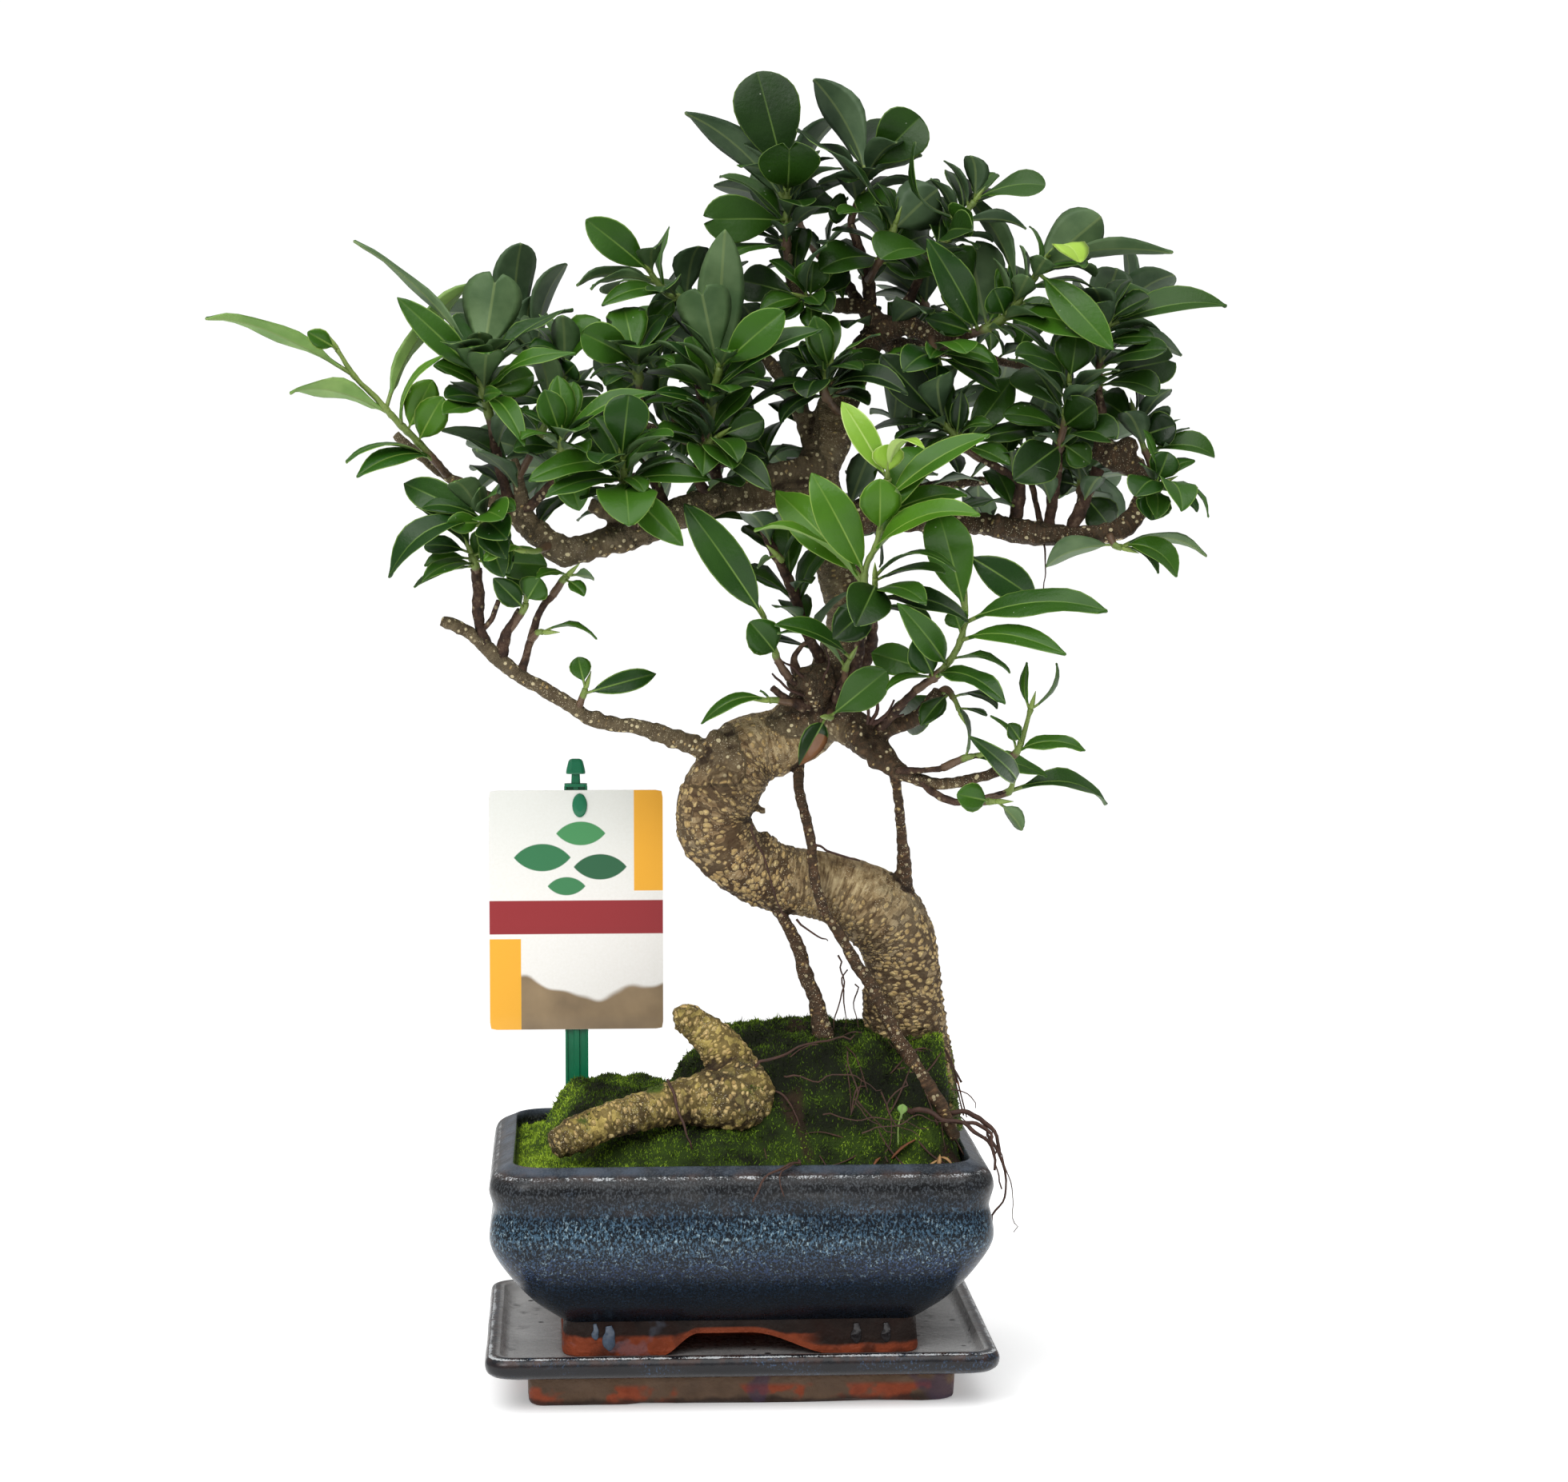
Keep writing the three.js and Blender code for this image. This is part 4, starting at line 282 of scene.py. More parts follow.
# Leafy shoots: name, tone, how many leaves fill its far side, the stem's points [x, z, depth], whose first
# stretch is woody, and the leaves [place on the green stem, tip x, tip z, tip depth, width, facing, arch]
SHOOTS = [
  ['top_left', 'deep', 2, [[22, 449, 0], [21, 458, 0], [21, 471, -3], [21, 484, -6]], [
    [1, 9, 530, -8, 27, 'front'], [0.95, 22, 503, -34, 25, 'front'], [0.75, -20, 515, -4, 17, 'below'],
    [0.5, -13, 471, -16, 20, 'front'], [0.4, -6, 490, 12, 15, 'up'], [0.6, 11, 495, 24, 20, 'back'],
    [0.45, 37, 483, 16, 18, 'front'], [0.35, 56, 488, 26, 14, 'below'], [0.15, -2, 465, -18, 16, 'up'],
    [0.05, -8, 454, -26, 18, 'up'],
  ]],
  ['top_right', 'deep', 2, [[50, 461, 8], [47, 470, 8], [50, 479, 8], [54, 491, 6]], [
    [0.9, 32, 528, 16, 20, 'below'], [1, 75, 513, -6, 22, 'front'], [0.8, 76, 497, 10, 13, 'below'],
    [0.85, 33, 485, 0, 9, 'below'], [0.15, 38, 477, 2, 13, 'front'],
  ]],
  ['top_centre', 'deep', 1, [[54, 447, 4], [58, 454, -8], [62, 462, -12], [65, 470, -14]], [
    [0.9, 24, 506, -20, 13, 'up'], [0.8, 82, 484, -6, 22, 'back'], [0.6, 55, 483, 2, 18, 'front'],
    [0.4, 39, 467, -14, 18, 'up'], [0.1, 34, 452, -24, 22, 'steep'], [0, 80, 449, -14, 20, 'steep'],
    [0.3, 81, 466, 6, 24, 'front'],
  ]],
  ['crown_upper', 'deep', 1, [[71, 440, -4], [76, 451, -6], [86, 464, -9], [97, 479, -12]], [
    [1, 126, 486, -24, 19, 'steep'], [0.75, 73, 503, -28, 9, 'left', 0.25],
    [0.7, 119, 469, -18, 9, 'below'], [0.65, 96, 475, -26, 16, 'front'],
    [0.5, 97, 467, -34, 15, 'front'], [0.2, 59, 457, -24, 22, 'steep'],
    [0.2, 96, 447, -4, 24, 'front'],
  ]],
  ['crown_right', 'mid', 0, [
    [85, 423, -6], [97, 426, -8], [108, 431, -12], [117, 441, -16], [125, 454, -20],
  ], [
    [0.05, 78, 464, -22, 15, 'front'], [0.15, 95, 463, 4, 26, 'back'], [0, 88, 445, 8, 14, 'front'],
    [0, 77, 432, -18, 10, 'front'], [0.1, 109, 417, -14, 6, 'right', 0.2],
    [0.25, 110, 425, -4, 8, 'up'], [0.35, 105, 444, -26, 14, 'front'],
    [0.3, 150, 422, -30, 20, 'steep', 0.15], [0.28, 128, 418, -18, 12, 'up'],
    [0.55, 88, 487, 8, 12, 'below', 0.12], [0.7, 151, 442, -12, 14, 'up', 0.15],
    [0.85, 149, 473, -6, 22, 'back'], [0.95, 178, 457, -10, 13, 'below', 0.12],
    [0.9, 154, 419, -36, 15, 'front'],
  ]],
  ['crown_right', 'young', 0, [[125, 454, -20], [125, 455, -21], [126, 456, -24], [127, 457, -26]], [
    [1, 141, 455, -40, 18, 'up', 0.3],
  ]],
  ['right_top', 'deep', 2, [[150, 391, -6], [148, 403, -6], [149, 417, -8], [152, 431, -10]], [
    [0.9, 201, 438, -6, 17, 'steep'], [1, 172, 442, 8, 16, 'steep'],
    [0.95, 169, 440, -16, 14, 'steep'], [0.65, 171, 424, -18, 14, 'steep'],
    [0.3, 176, 419, -28, 17, 'steep'], [0.2, 178, 415, 2, 18, 'front'],
    [0.05, 173, 403, -18, 16, 'steep'], [0.5, 134, 428, 8, 18, 'front'],
  ]],
  ['right_mid', 'deep', 1, [[132, 370, -15], [132, 379, -16], [135, 393, -20], [136, 406, -22]], [
    [1, 139, 426, -28, 17, 'front'], [0.8, 114, 418, -26, 18, 'steep', 0.18],
    [0.5, 119, 415, 0, 24, 'front'], [0.3, 109, 393, -18, 16, 'steep'],
    [0.35, 147, 398, -36, 17, 'front'], [0, 155, 384, -42, 19, 'steep', 0.15],
    [0.05, 114, 367, -36, 19, 'front'], [0.1, 145, 373, -22, 12, 'front'],
    [0.9, 125, 422, -6, 12, 'back'], [0.6, 152, 409, -10, 16, 'up'],
  ]],
  ['right_low', 'deep', 2, [[168, 367, -8], [170, 371, -6], [166, 382, -6], [163, 393, -4]], [
    [0.3, 197, 377, -12, 14, 'steep', 0.15], [0.6, 180, 389, -16, 15, 'front'],
    [0.8, 177, 393, 6, 14, 'below'], [1, 161, 410, 2, 14, 'right'], [0.8, 148, 400, 8, 16, 'front'],
  ]],
  ['right_under', 'mid', 0, [[153, 344, -16], [155, 340, -19], [158, 339, -20]], [
    [0, 126, 332, -16, 17, 'below'], [0.7, 182, 327, -28, 14, 'steep', 0.25],
    [1, 173, 328, -36, 9, 'up', 0.2], [0.9, 194, 337, -8, 8, 'below', 0.15],
  ]],
  ['right_tip', 'mid', 0, [[165, 359, -9], [170, 363, -18], [174, 365, -20]], [
    [0.3, 177, 378, -22, 13, 'front'], [1, 194, 351, -22, 8, 'up', 0.25],
    [0.4, 170, 350, -28, 15, 'front'],
  ]],
  ['right_inner', 'deep', 1, [[141, 355, -10], [141, 361, -3], [141, 367, 2]], [
    [0.1, 154, 346, 6, 16, 'front'], [0.5, 132, 366, 2, 12, 'front'], [1, 134, 381, 8, 16, 'front'],
  ]],
  ['front_bright', 'bright', 0, [
    [51, 302, -32], [52, 311, -38], [53, 330, -48], [58, 342, -52], [61, 362, -52],
  ], [
    [0.7, 59, 367, -64, 17, 'front'], [0.5, 100, 355, -74, 15, 'steep', 0.15],
    [0.35, 31, 370, -58, 17, 'front'], [0.9, 104, 385, -54, 13, 'steep'],
    [0.8, 95, 361, -40, 12, 'steep'], [0.72, 84, 382, -34, 18, 'steep', 0.2],
    [0.6, 80, 365, -34, 14, 'steep'], [0.25, 8, 350, -64, 12, 'up', 0.12],
    [0.3, 16, 363, -46, 17, 'front'],
  ]],
  ['front_bright', 'young', 0, [[61, 362, -52], [61, 363, -53], [62, 365, -54], [62, 367, -55]], [
    [0.9, 43, 399, -52, 11, 'front'], [1, 62, 381, -58, 13, 'front'], [1, 77, 379, -60, 8, 'up', 0.3],
  ]],
  ['front_dark', 'deep', 2, [[56, 306, -30], [56, 313, -39], [57, 319, -46], [57, 327, -52]], [
    [0.9, 86, 329, -64, 14, 'up'], [1, 91, 331, -76, 9, 'up', 0.2], [0.8, 49, 307, -78, 19, 'front'],
    [0.3, 40, 302, -54, 16, 'front'], [0.6, 78, 317, -84, 14, 'steep'], [0.1, 81, 308, -56, 13, 'up'],
    [0.4, 96, 311, -70, 13, 'steep'],
  ]],
  ['right_front', 'mid', 0, [
    [74, 281, -38], [81, 286, -46], [87, 292, -52], [92, 301, -56], [94, 313, -54], [93, 337, -44],
  ], [
    [0.55, 82, 356, -60, 19, 'front'], [0.48, 153, 314, -74, 17, 'steep', 0.12],
    [0.36, 135, 294, -80, 13, 'steep', 0.15], [1, 124, 317, -42, 15, 'front'],
    [0.4, 89, 314, -70, 10, 'front'], [0.15, 67, 316, -62, 12, 'front'],
    [0.2, 113, 288, -62, 8, 'up', 0.15], [0, 111, 276, -80, 12, 'steep', 0.15],
    [0, 73, 302, -60, 14, 'front'], [0, 61, 282, -56, 8, 'up'], [0.05, 56, 296, -44, 13, 'front'],
  ]],
  ['mid_stub', 'deep', 1, [[76, 271, -25], [85, 281, -31], [89, 278, -37], [92, 272, -42]], [
    [0.5, 108, 274, -52, 9, 'up', 0.15], [0.9, 103, 270, -44, 8, 'up'],
    [0.3, 76, 266, -46, 10, 'steep'], [0.1, 68, 268, -12, 16, 'front'],
  ]],
  ['mid_thin', 'mid', 0, [[85, 249, -37], [94, 253, -42], [99, 254, -44]], [
    [0, 91, 273, -48, 9, 'right', 0.12], [0.5, 128, 245, -56, 10, 'steep', 0.08],
  ]],
  ['mid_young', 'mid', 0, [[108, 253, -48], [114, 254, -51], [117, 259, -53], [121, 273, -55]], [
    [1, 132, 292, -60, 8, 'right', 0.15], [0.95, 120, 292, -50, 7, 'left'],
    [0.3, 112, 267, -62, 7, 'front'], [0.1, 104, 270, -58, 4, 'right', 0.15],
    [0.02, 144, 256, -58, 9, 'steep', 0.2],
  ]],
  ['mid_low', 'mid', 0, [[102, 236, -37], [112, 239, -40], [114, 244, -43]], [
    [0, 152, 233, -50, 12, 'steep', 0.2], [1, 96, 262, -58, 9, 'front', 0.15],
  ]],
  ['mid_oval', 'mid', 0, [[99, 235, -36], [104, 235, -43], [107, 235, -45]], [
    [0.1, 91, 238, -54, 12, 'front'], [1, 118, 223, -48, 11, 'below'],
  ]],
  ['left_bright', 'mid', 1, [[-13, 380, -20], [-10, 391, -24], [-9, 401, -28], [-6, 412, -32]], [
    [1, 20, 435, -46, 16, 'front'], [0.9, -14, 445, -42, 22, 'back'],
    [0.45, 36, 427, -40, 14, 'steep', 0.12], [0.8, -4, 469, -20, 19, 'back'],
    [0.5, -34, 413, -14, 18, 'steep'], [0.1, -33, 401, -46, 11, 'steep', 0.12],
    [0.3, 9, 418, 10, 18, 'front'],
  ]],
  ['left_mid', 'deep', 1, [[-14, 373, -19], [-14, 378, -28], [-11, 381, -33], [-7, 384, -36]], [
    [0, 15, 362, -56, 14, 'steep', 0.12], [1, 12, 391, -38, 14, 'front'],
    [0.5, 13, 376, -44, 14, 'steep'], [0.2, -32, 387, -34, 12, 'steep'],
  ]],
  ['centre_top', 'deep', 1, [[42, 394, -8], [38, 399, -20], [36, 404, -24], [38, 411, -26]], [
    [1, 32, 433, -34, 11, 'front'], [0.9, 59, 426, -34, 5, 'up', 0.1],
    [0.3, 5, 395, -34, 11, 'up', 0.15], [0.2, 71, 403, -48, 14, 'steep', 0.18],
    [0.1, 53, 403, -56, 10, 'steep'], [0.6, 60, 416, 0, 14, 'front'],
  ]],
  ['crown_mid', 'deep', 0, [[39, 437, 4], [33, 438, -7], [28, 440, -12]], [
    [0.8, 10, 435, -20, 13, 'steep'], [0.5, 32, 455, -16, 15, 'steep'], [1, 2, 447, -4, 16, 'front'],
    [0.4, 43, 454, 2, 16, 'front'], [0.7, 18, 431, -24, 12, 'steep'],
  ]],
  ['centre_right', 'deep', 1, [[100, 375, -13], [94, 379, -15], [90, 384, -18], [85, 389, -20]], [
    [1, 59, 417, -22, 16, 'front'], [0.5, 92, 403, -30, 8, 'front'],
    [0.4, 105, 389, -28, 8, 'steep', 0.2], [0.2, 82, 400, -8, 16, 'front'],
    [0.15, 113, 408, -20, 14, 'front'], [0.1, 131, 386, -12, 13, 'steep'],
    [0.05, 112, 372, -30, 12, 'steep'],
  ]],
  ['crown_knob', 'mid', 0, [[80, 424, -8], [81, 418, -14], [82, 416, -15]], [
    [1, 108, 402, -14, 12, 'steep'], [0.8, 60, 415, -10, 10, 'up', 0.15],
    [0.9, 82, 405, -28, 12, 'steep'],
  ]],
  ['left_young', 'bright', 0, [
    [-116, 368, -12], [-120, 373, -18], [-129, 383, -22], [-136, 390, -23], [-145, 400, -24],
    [-153, 408, -25], [-160, 419, -26],
  ], [
    [0.8, -212, 435, -30, 11, 'below', 0.05], [0.45, -180, 404, -32, 14, 'below'],
    [0.5, -105, 448, -4, 13, 'below', 0.1], [0.3, -122, 407, -32, 14, 'front'],
    [0.35, -118, 417, -40, 6, 'left', 0.15], [0.2, -118, 400, -36, 14, 'front'],
    [0, -158, 376, -42, 8, 'up', 0.15], [0.05, -153, 368, -46, 12, 'steep', 0.15],
    [1, -172, 426, -36, 8, 'front', 0.1],
  ]],
  ['left_top', 'mid', 0, [[-97, 380, -25], [-99, 391, -27], [-102, 405, -29], [-102, 413, -29]], [
    [1, -96, 450, -22, 24, 'back'], [0.75, -136, 440, -36, 12, 'front'],
    [0.8, -65, 435, -8, 11, 'up', 0.1], [0.6, -121, 415, -20, 14, 'steep'],
    [0.5, -121, 413, -46, 12, 'steep'], [0.4, -95, 402, -50, 7, 'front'],
    [0.3, -117, 400, -42, 14, 'steep', 0.1], [0.15, -118, 393, -50, 12, 'steep'],
    [0.45, -64, 418, -46, 10, 'steep', 0.15], [0.5, -81, 409, -38, 14, 'front'],
    [0.35, -85, 380, -58, 10, 'steep', 0.2], [0.9, -153, 463, 6, 7, 'below', 0.08],
  ]],
  ['left_back_top', 'mid', 1, [[-16, 431, 8], [-21, 439, 4], [-28, 442, 2], [-34, 450, 0]], [
    [1, -60, 471, -8, 15, 'front'], [0.8, -65, 446, -4, 9, 'below', 0.12],
    [0.7, -59, 444, -18, 8, 'below', 0.12], [0.3, -54, 437, -16, 12, 'steep', 0.15],
    [0.1, -34, 430, -4, 12, 'steep'],
  ]],
  ['left_mid_top', 'mid', 1, [[-38, 392, -11], [-39, 406, -17], [-40, 414, -20]], [
    [1, -62, 426, -36, 16, 'front'], [0.95, -45, 437, -14, 17, 'front'],
    [0.6, -22, 428, -10, 10, 'up', 0.12], [0.4, -59, 408, -16, 8, 'up', 0.15],
    [0.3, -24, 415, -28, 9, 'up', 0.15], [0.1, -50, 399, -4, 16, 'front'],
  ]],
  ['left_inner', 'mid', 2, [[-88, 367, -26], [-81, 380, -22], [-72, 399, -14], [-68, 413, -10]], [
    [1, -54, 431, -16, 18, 'steep'], [0.9, -83, 421, -32, 12, 'steep', 0.2],
    [0.85, -65, 413, -40, 12, 'front'], [0.5, -95, 399, -6, 20, 'steep', 0.15],
    [0.6, -48, 386, -2, 18, 'front'],
  ]],
  ['left_front', 'mid', 0, [[-70, 370, -36], [-70, 376, -41], [-70, 383, -47]], [
    [1, -77, 403, -54, 12, 'front'], [0.8, -32, 402, -52, 10, 'steep', 0.15],
    [0.3, -90, 380, -48, 14, 'steep'], [0.2, -63, 354, -50, 14, 'front'],
  ]],
  ['centre_left', 'mid', 1, [[-42, 352, -27], [-45, 360, -38], [-45, 367, -46], [-46, 375, -50]], [
    [1, -43, 401, -58, 18, 'front'], [0.35, -43, 350, -80, 24, 'steep'],
    [0.5, -77, 360, -52, 11, 'steep'], [0.9, -84, 367, -62, 15, 'steep'],
    [0.4, -10, 366, -54, 13, 'steep'], [0.2, -21, 340, -60, 13, 'front'],
  ]],
  ['hang', 'mid', 0, [[22, 286, -20], [17, 294, -26], [16, 298, -28], [12, 310, -36]], [
    [1, -21, 358, -46, 16, 'front', 0.1], [0.1, 6, 309, -44, 15, 'front'],
  ]],
  ['left_low_front', 'mid', 0, [[-92, 354, -24], [-99, 350, -36], [-103, 349, -38]], [
    [1, -140, 327, -46, 14, 'steep', 0.28], [0.5, -135, 366, -28, 14, 'front'],
    [0.7, -117, 349, -48, 9, 'front'], [0.9, -133, 340, -54, 8, 'up', 0.1],
  ]],
  ['left_under', 'bright', 0, [[-74, 341, -26], [-80, 338, -38], [-85, 338, -44]], [
    [1, -102, 334, -52, 9, 'steep', 0.25],
  ]],
  ['low_left_a', 'mid', 1, [[-104, 321, -27], [-105, 331, -29], [-107, 337, -31]], [
    [1, -126, 340, -30, 12, 'steep'], [0.8, -89, 338, -36, 14, 'steep'],
    [0.6, -126, 332, -42, 9, 'steep', 0.12], [0.2, -127, 327, -50, 9, 'steep'],
    [0.1, -130, 323, -40, 9, 'up', 0.1], [0.5, -76, 332, -22, 14, 'front'],
    [0, -102, 347, -42, 9, 'front'],
  ]],
  ['low_left_b', 'mid', 0, [[-93, 304, -25], [-86, 314, -28], [-85, 317, -29]], [
    [1, -79, 327, -38, 13, 'front'], [0.8, -86, 330, -20, 14, 'front'],
    [0.2, -98, 327, -34, 10, 'front'],
  ]],
  ['low_left_c', 'mid', 0, [[-74, 320, -28], [-70, 326, -30], [-68, 328, -31]], [
    [0.8, -57, 327, -34, 9, 'below'], [0.2, -61, 320, -38, 7, 'steep'],
    [0.9, -81, 327, -34, 7, 'steep'],
  ]],
  ['low_left_d', 'mid', 0, [[-83, 302, -25], [-80, 305, -30], [-78, 305, -31]], [
    [1, -56, 302, -36, 6, 'up', 0.2],
  ]],
  ['low_leaf', 'mid', 0, [[-64, 274, -22], [-62, 279, -26], [-61, 282, -26]], [
    [1, -64, 295, -28, 9, 'front'],
  ]],
  ['arch_leaf', 'mid', 0, [[23, 276, -18], [17, 277, -20], [14, 277, -21]], [
    [0.9, -13, 267, -24, 8, 'steep', 0.25], [1, 10, 281, -22, 3, 'up'],
  ]],
  ['trunk_leaf', 'mid', 0, [[39, 272, -12], [39, 270, -34], [37, 270, -42]], [
    [1, 26, 250, -50, 13, 'front'], [0.3, 62, 289, -54, 16, 'front'],
  ]],
  ['trunk_upper', 'mid', 0, [[45, 285, -22], [45, 290, -30], [47, 294, -34]], [
    [0, 17, 305, -44, 9, 'up', 0.15], [1, 16, 308, -38, 13, 'steep', 0.1],
  ]],
  ['inner', 'mid', 0, [[16, 337, -20], [19, 334, -27], [17, 336, -30]], [
    [1, 9, 331, -34, 9, 'below'],
  ]],
]

# The big root that lies over the moss on the left, and the swellings under the trunk
SURFACE_ROOTS = [
  ['root_arm', [
    [60, 108, -6, 10], [38, 106, -14, 11], [18, 107, -24, 12], [5, 110, -30, 13.4], [-6, 111, -34, 11.6],
    [-20, 112, -37, 9.6], [-36, 109, -42, 8], [-52, 104, -47, 7.4], [-67, 98, -51, 7.6], [-75, 94, -54, 5.4],
  ]],
  ['root_hook', [
    [5, 112, -30, 13], [1, 121, -29, 12], [-5, 132, -28, 9.4], [-13, 141, -27, 7.3], [-20, 146, -27, 6.3],
    [-25, 146, -27, 4.6],
  ]],
  ['root_right', [[74, 120, -8, 12], [84, 108, -20, 8], [86, 96, -34, 6]]],
  ['root_back', [[64, 118, 10, 12], [44, 106, 30, 9], [30, 96, 44, 7]]],
]

SKELETON = LIMBS + PROP_ROOTS + SURFACE_ROOTS

# Shoots on the far side, with leaves set round the stem by rule: name, leaves, the stem's points
BACK_SHOOTS = [
  ['back_left_inner', 8, [[4, 375, 26], [-2, 392, 30], [-8, 410, 36]]],
  ['back_left_mid', 8, [[-22, 384, 45], [-28, 400, 52], [-32, 420, 58]]],
  ['back_left_end', 8, [[-66, 399, 58], [-76, 410, 63], [-86, 424, 68]]],
  ['back_left_low', 8, [[-51, 367, 64], [-64, 368, 70], [-80, 374, 76]]],
  ['back_top', 8, [[33, 458, 40], [26, 470, 46], [18, 484, 52]]],
  ['back_middle', 8, [[82, 419, 29], [78, 434, 34], [72, 452, 40]]],
  ['back_right_end', 8, [[131, 409, 56], [142, 418, 62], [152, 430, 67]]],
  ['back_right_low', 8, [[112, 367, 60], [124, 370, 66], [138, 376, 72]]],
  ['back_right_inner', 8, [[62, 360, 29], [70, 378, 36], [76, 396, 42]]],
  ['back_low', 8, [[43, 329, 56], [38, 342, 62], [30, 356, 68]]],
]

# Small bumps on the wood: [x, z, depth, radius] as seen, old branch scars and knots
KNOBS = [
    [-8, 261, -12, 4.2], [-3, 243, -14, 7], [11, 232, -4, 2.0], [12, 221, 0, 3.0], [15, 219, -6, 2.6],
    [52, 258, -22, 4.6], [49, 263, -20, 4.8], [57, 252, -24, 3.6], [44, 272, -12, 6], [33, 279, -12, 6],
    [47, 276, -12, 3.5], [-63, 340, -30, 3.4], [-51, 343, -26, 3.2], [-28, 351, -19, 3.4],
    [27, 372, -8, 4], [43, 386, -6, 4.6], [34, 356, -7, 3.6], [50, 303, -6, 3.4], [60, 196, -12, 5],
    [107, 350, -13, 3], [122, 343, -15, 3.2], [139, 342, -14, 2.8], [-90, 290, -26, 2.4],
    [1, 114, -38, 15], [-10, 113, -38, 12.5], [-27, 263, -14, 2.6], [-56, 271, -22, 2.2],
    [160, 380, -8, 4.2], [150, 383, -6, 3.8],
]

# Thin roots and hairs: [radius, how far they wander, points as seen]
ROOTLETS = [
    [0.6, 1.2, [[32, 218, -24], [41, 215, -14], [51, 211, -10]]],
    [0.5, 1.2, [[7, 226, -20], [14, 205, -18], [21, 188, -17]]],
    [0.45, 1.5, [[25, 187, -14], [32, 181, -18], [38, 178, -20]]],
    [0.4, 1.6, [[42, 172, -18], [43, 158, -17], [40, 141, -16]]],
    [0.35, 1.6, [[46, 166, -14], [45, 153, -13], [46, 140, -12]]],
    [0.3, 1.6, [[49, 160, -10], [48, 150, -9], [50, 138, -10]]],
    [0.4, 0.8, [[126, 341, -13], [127, 332, -12], [126, 322, -12]]],
    [0.7, 1.2, [[-28, 121, -44], [-22, 106, -52], [-18, 92, -56]]],
    [1.1, 2, [[70, 108, -38], [86, 104, -44], [101, 98, -47], [108, 90, -50]]],
    [1.3, 2, [[82, 106, -34], [98, 105, -38], [106, 99, -44], [109, 88, -46]]],
    [0.9, 2, [[88, 103, -40], [102, 99, -48], [107, 92, -52], [107, 82, -54]]],
    [0.65, 1.5, [[104, 98, -44], [110, 84, -46], [111, 72, -46], [106, 61, -47]]],
    [0.5, 1.5, [[103, 96, -47], [108, 84, -50], [110, 74, -50]]],
    [0.28, 1.5, [[106, 98, -44], [113, 82, -45], [114, 66, -45], [115, 56, -45]]],
    [0.3, 1, [[89, 116, -30], [95, 113, -28], [99, 108, -30]]],
    [0.6, 1.2, [[26, 87, -66], [21, 84, -72], [14, 82, -76], [10, 76, -78.5], [7, 70, -79]]],
    [0.45, 1.2, [[24, 86, -68], [19, 83, -75], [18, 78, -78.5], [20, 72, -79]]],
    [0.6, 1.5, [[8, 126, -44], [26, 134, -41], [38, 137, -37], [49, 139, -34]]],
    [0.35, 2, [[20, 122, -50], [34, 118, -54], [46, 121, -52], [60, 116, -52]]],
    [0.35, 2, [[46, 132, -44], [50, 118, -52], [54, 106, -60], [66, 98, -66]]],
    [0.3, 2, [[70, 120, -46], [62, 110, -54], [66, 100, -62], [76, 96, -68]]],
    [0.3, 2, [[36, 106, -60], [48, 103, -64], [62, 104, -66], [80, 100, -62]]],
    [0.3, 2, [[52, 98, -70], [64, 99, -68], [74, 104, -66], [88, 102, -60]]],
    [0.9, 0.6, [[55, 267, -24], [58, 273, -26], [57, 280, -27]]],
    [0.8, 0.6, [[56, 267, -24], [61, 271, -27], [65, 277, -28]]],
    [0.7, 0.6, [[56, 268, -24], [62, 269, -26], [69, 271, -28]]],
    [0.8, 0.6, [[54, 267, -24], [54, 274, -27], [50, 279, -29]]],
    [0.7, 0.6, [[30, 284, -18], [24, 290, -21], [19, 293, -22]]],
    [0.6, 0.6, [[36, 285, -18], [38, 292, -22], [37, 298, -23]]],
    [0.7, 0.6, [[28, 279, -18], [21, 282, -22], [15, 288, -23]]],
]

# Dry bits on the moss: [length, width, 0 for wood or 1 for leaf, x, y, turn, lean]
LITTER = [
    [13, 2.6, 0, 60, -50, 0.5, 0.5], [9, 2, 0, 66, -46, 2.2, 0.3], [8, 3.4, 1, 73, -56, 0.2, 0.6],
    [7, 2, 1, 78, -60, 1.4, 0.9], [9, 1.6, 0, 52, -58, 1.1, 0.2], [6, 2.4, 1, 84, -52, 2.6, 0.4],
    [10, 1.4, 0, 44, -60, 2.9, 0.1], [8, 1.8, 0, 20, -64, 0.3, 0.1], [6, 1.6, 1, -12, -66, 0.9, 0.2],
    [7, 1.6, 0, 90, -20, 1.8, 0.2], [8, 2, 1, -40, 40, 0.6, 0.2], [9, 1.6, 0, 30, 58, 2.4, 0.1],
]

# Lengths in the scene are metres
MM = 0.001
METRE = 1000

# Seeds of the random draws
MOSS_SEED = 11
ROOTLET_SEED = 5
BARK_MOSS_SEED = 23

# Camera at the photograph's viewing angle, in metres and degrees
CAMERA_LENS = 86.56
CAMERA_SENSOR = 36
CAMERA_PLACE = (-0.0673, -1.531, 0.3822)
CAMERA_TURN = (90 - 4.545, 0, -3.259)

# Light: a wide soft one from above, a smaller one from the left, and the white surround
SUN_STRENGTH = 2.5
SUN_WIDTH = 75
SUN_TURN = (24, -5, 0)
KEY_STRENGTH = 9
KEY_SIZE = 0.8
KEY_PLACE = (-0.8, -1.3, 1.3)
KEY_TURN = (55, 0, -32)
SURROUND_LIGHT = 0.42
BACKDROP_LIGHT = 1.05
FLOOR_GLOW = 0.3

# Foot of the pot: its corner and profile, and the arch in it with the x over which it rises and falls
FOOT_CORNER = 9
FOOT_LEVELS = [
    [SAUCER_FLOOR, 0.7], [SAUCER_FLOOR + 0.6, 0.2], [SAUCER_FLOOR + 2, 0], [22, 0.3], [26, 0.6], [30, 0.8],
    [FOOT_TOP, 1.2],
]
ARCH_RISE = 9.4
ARCH_LEFT = (-33.0, -17.0)
ARCH_RIGHT = (4.0, 39.0)
ARCH_REACH = 41

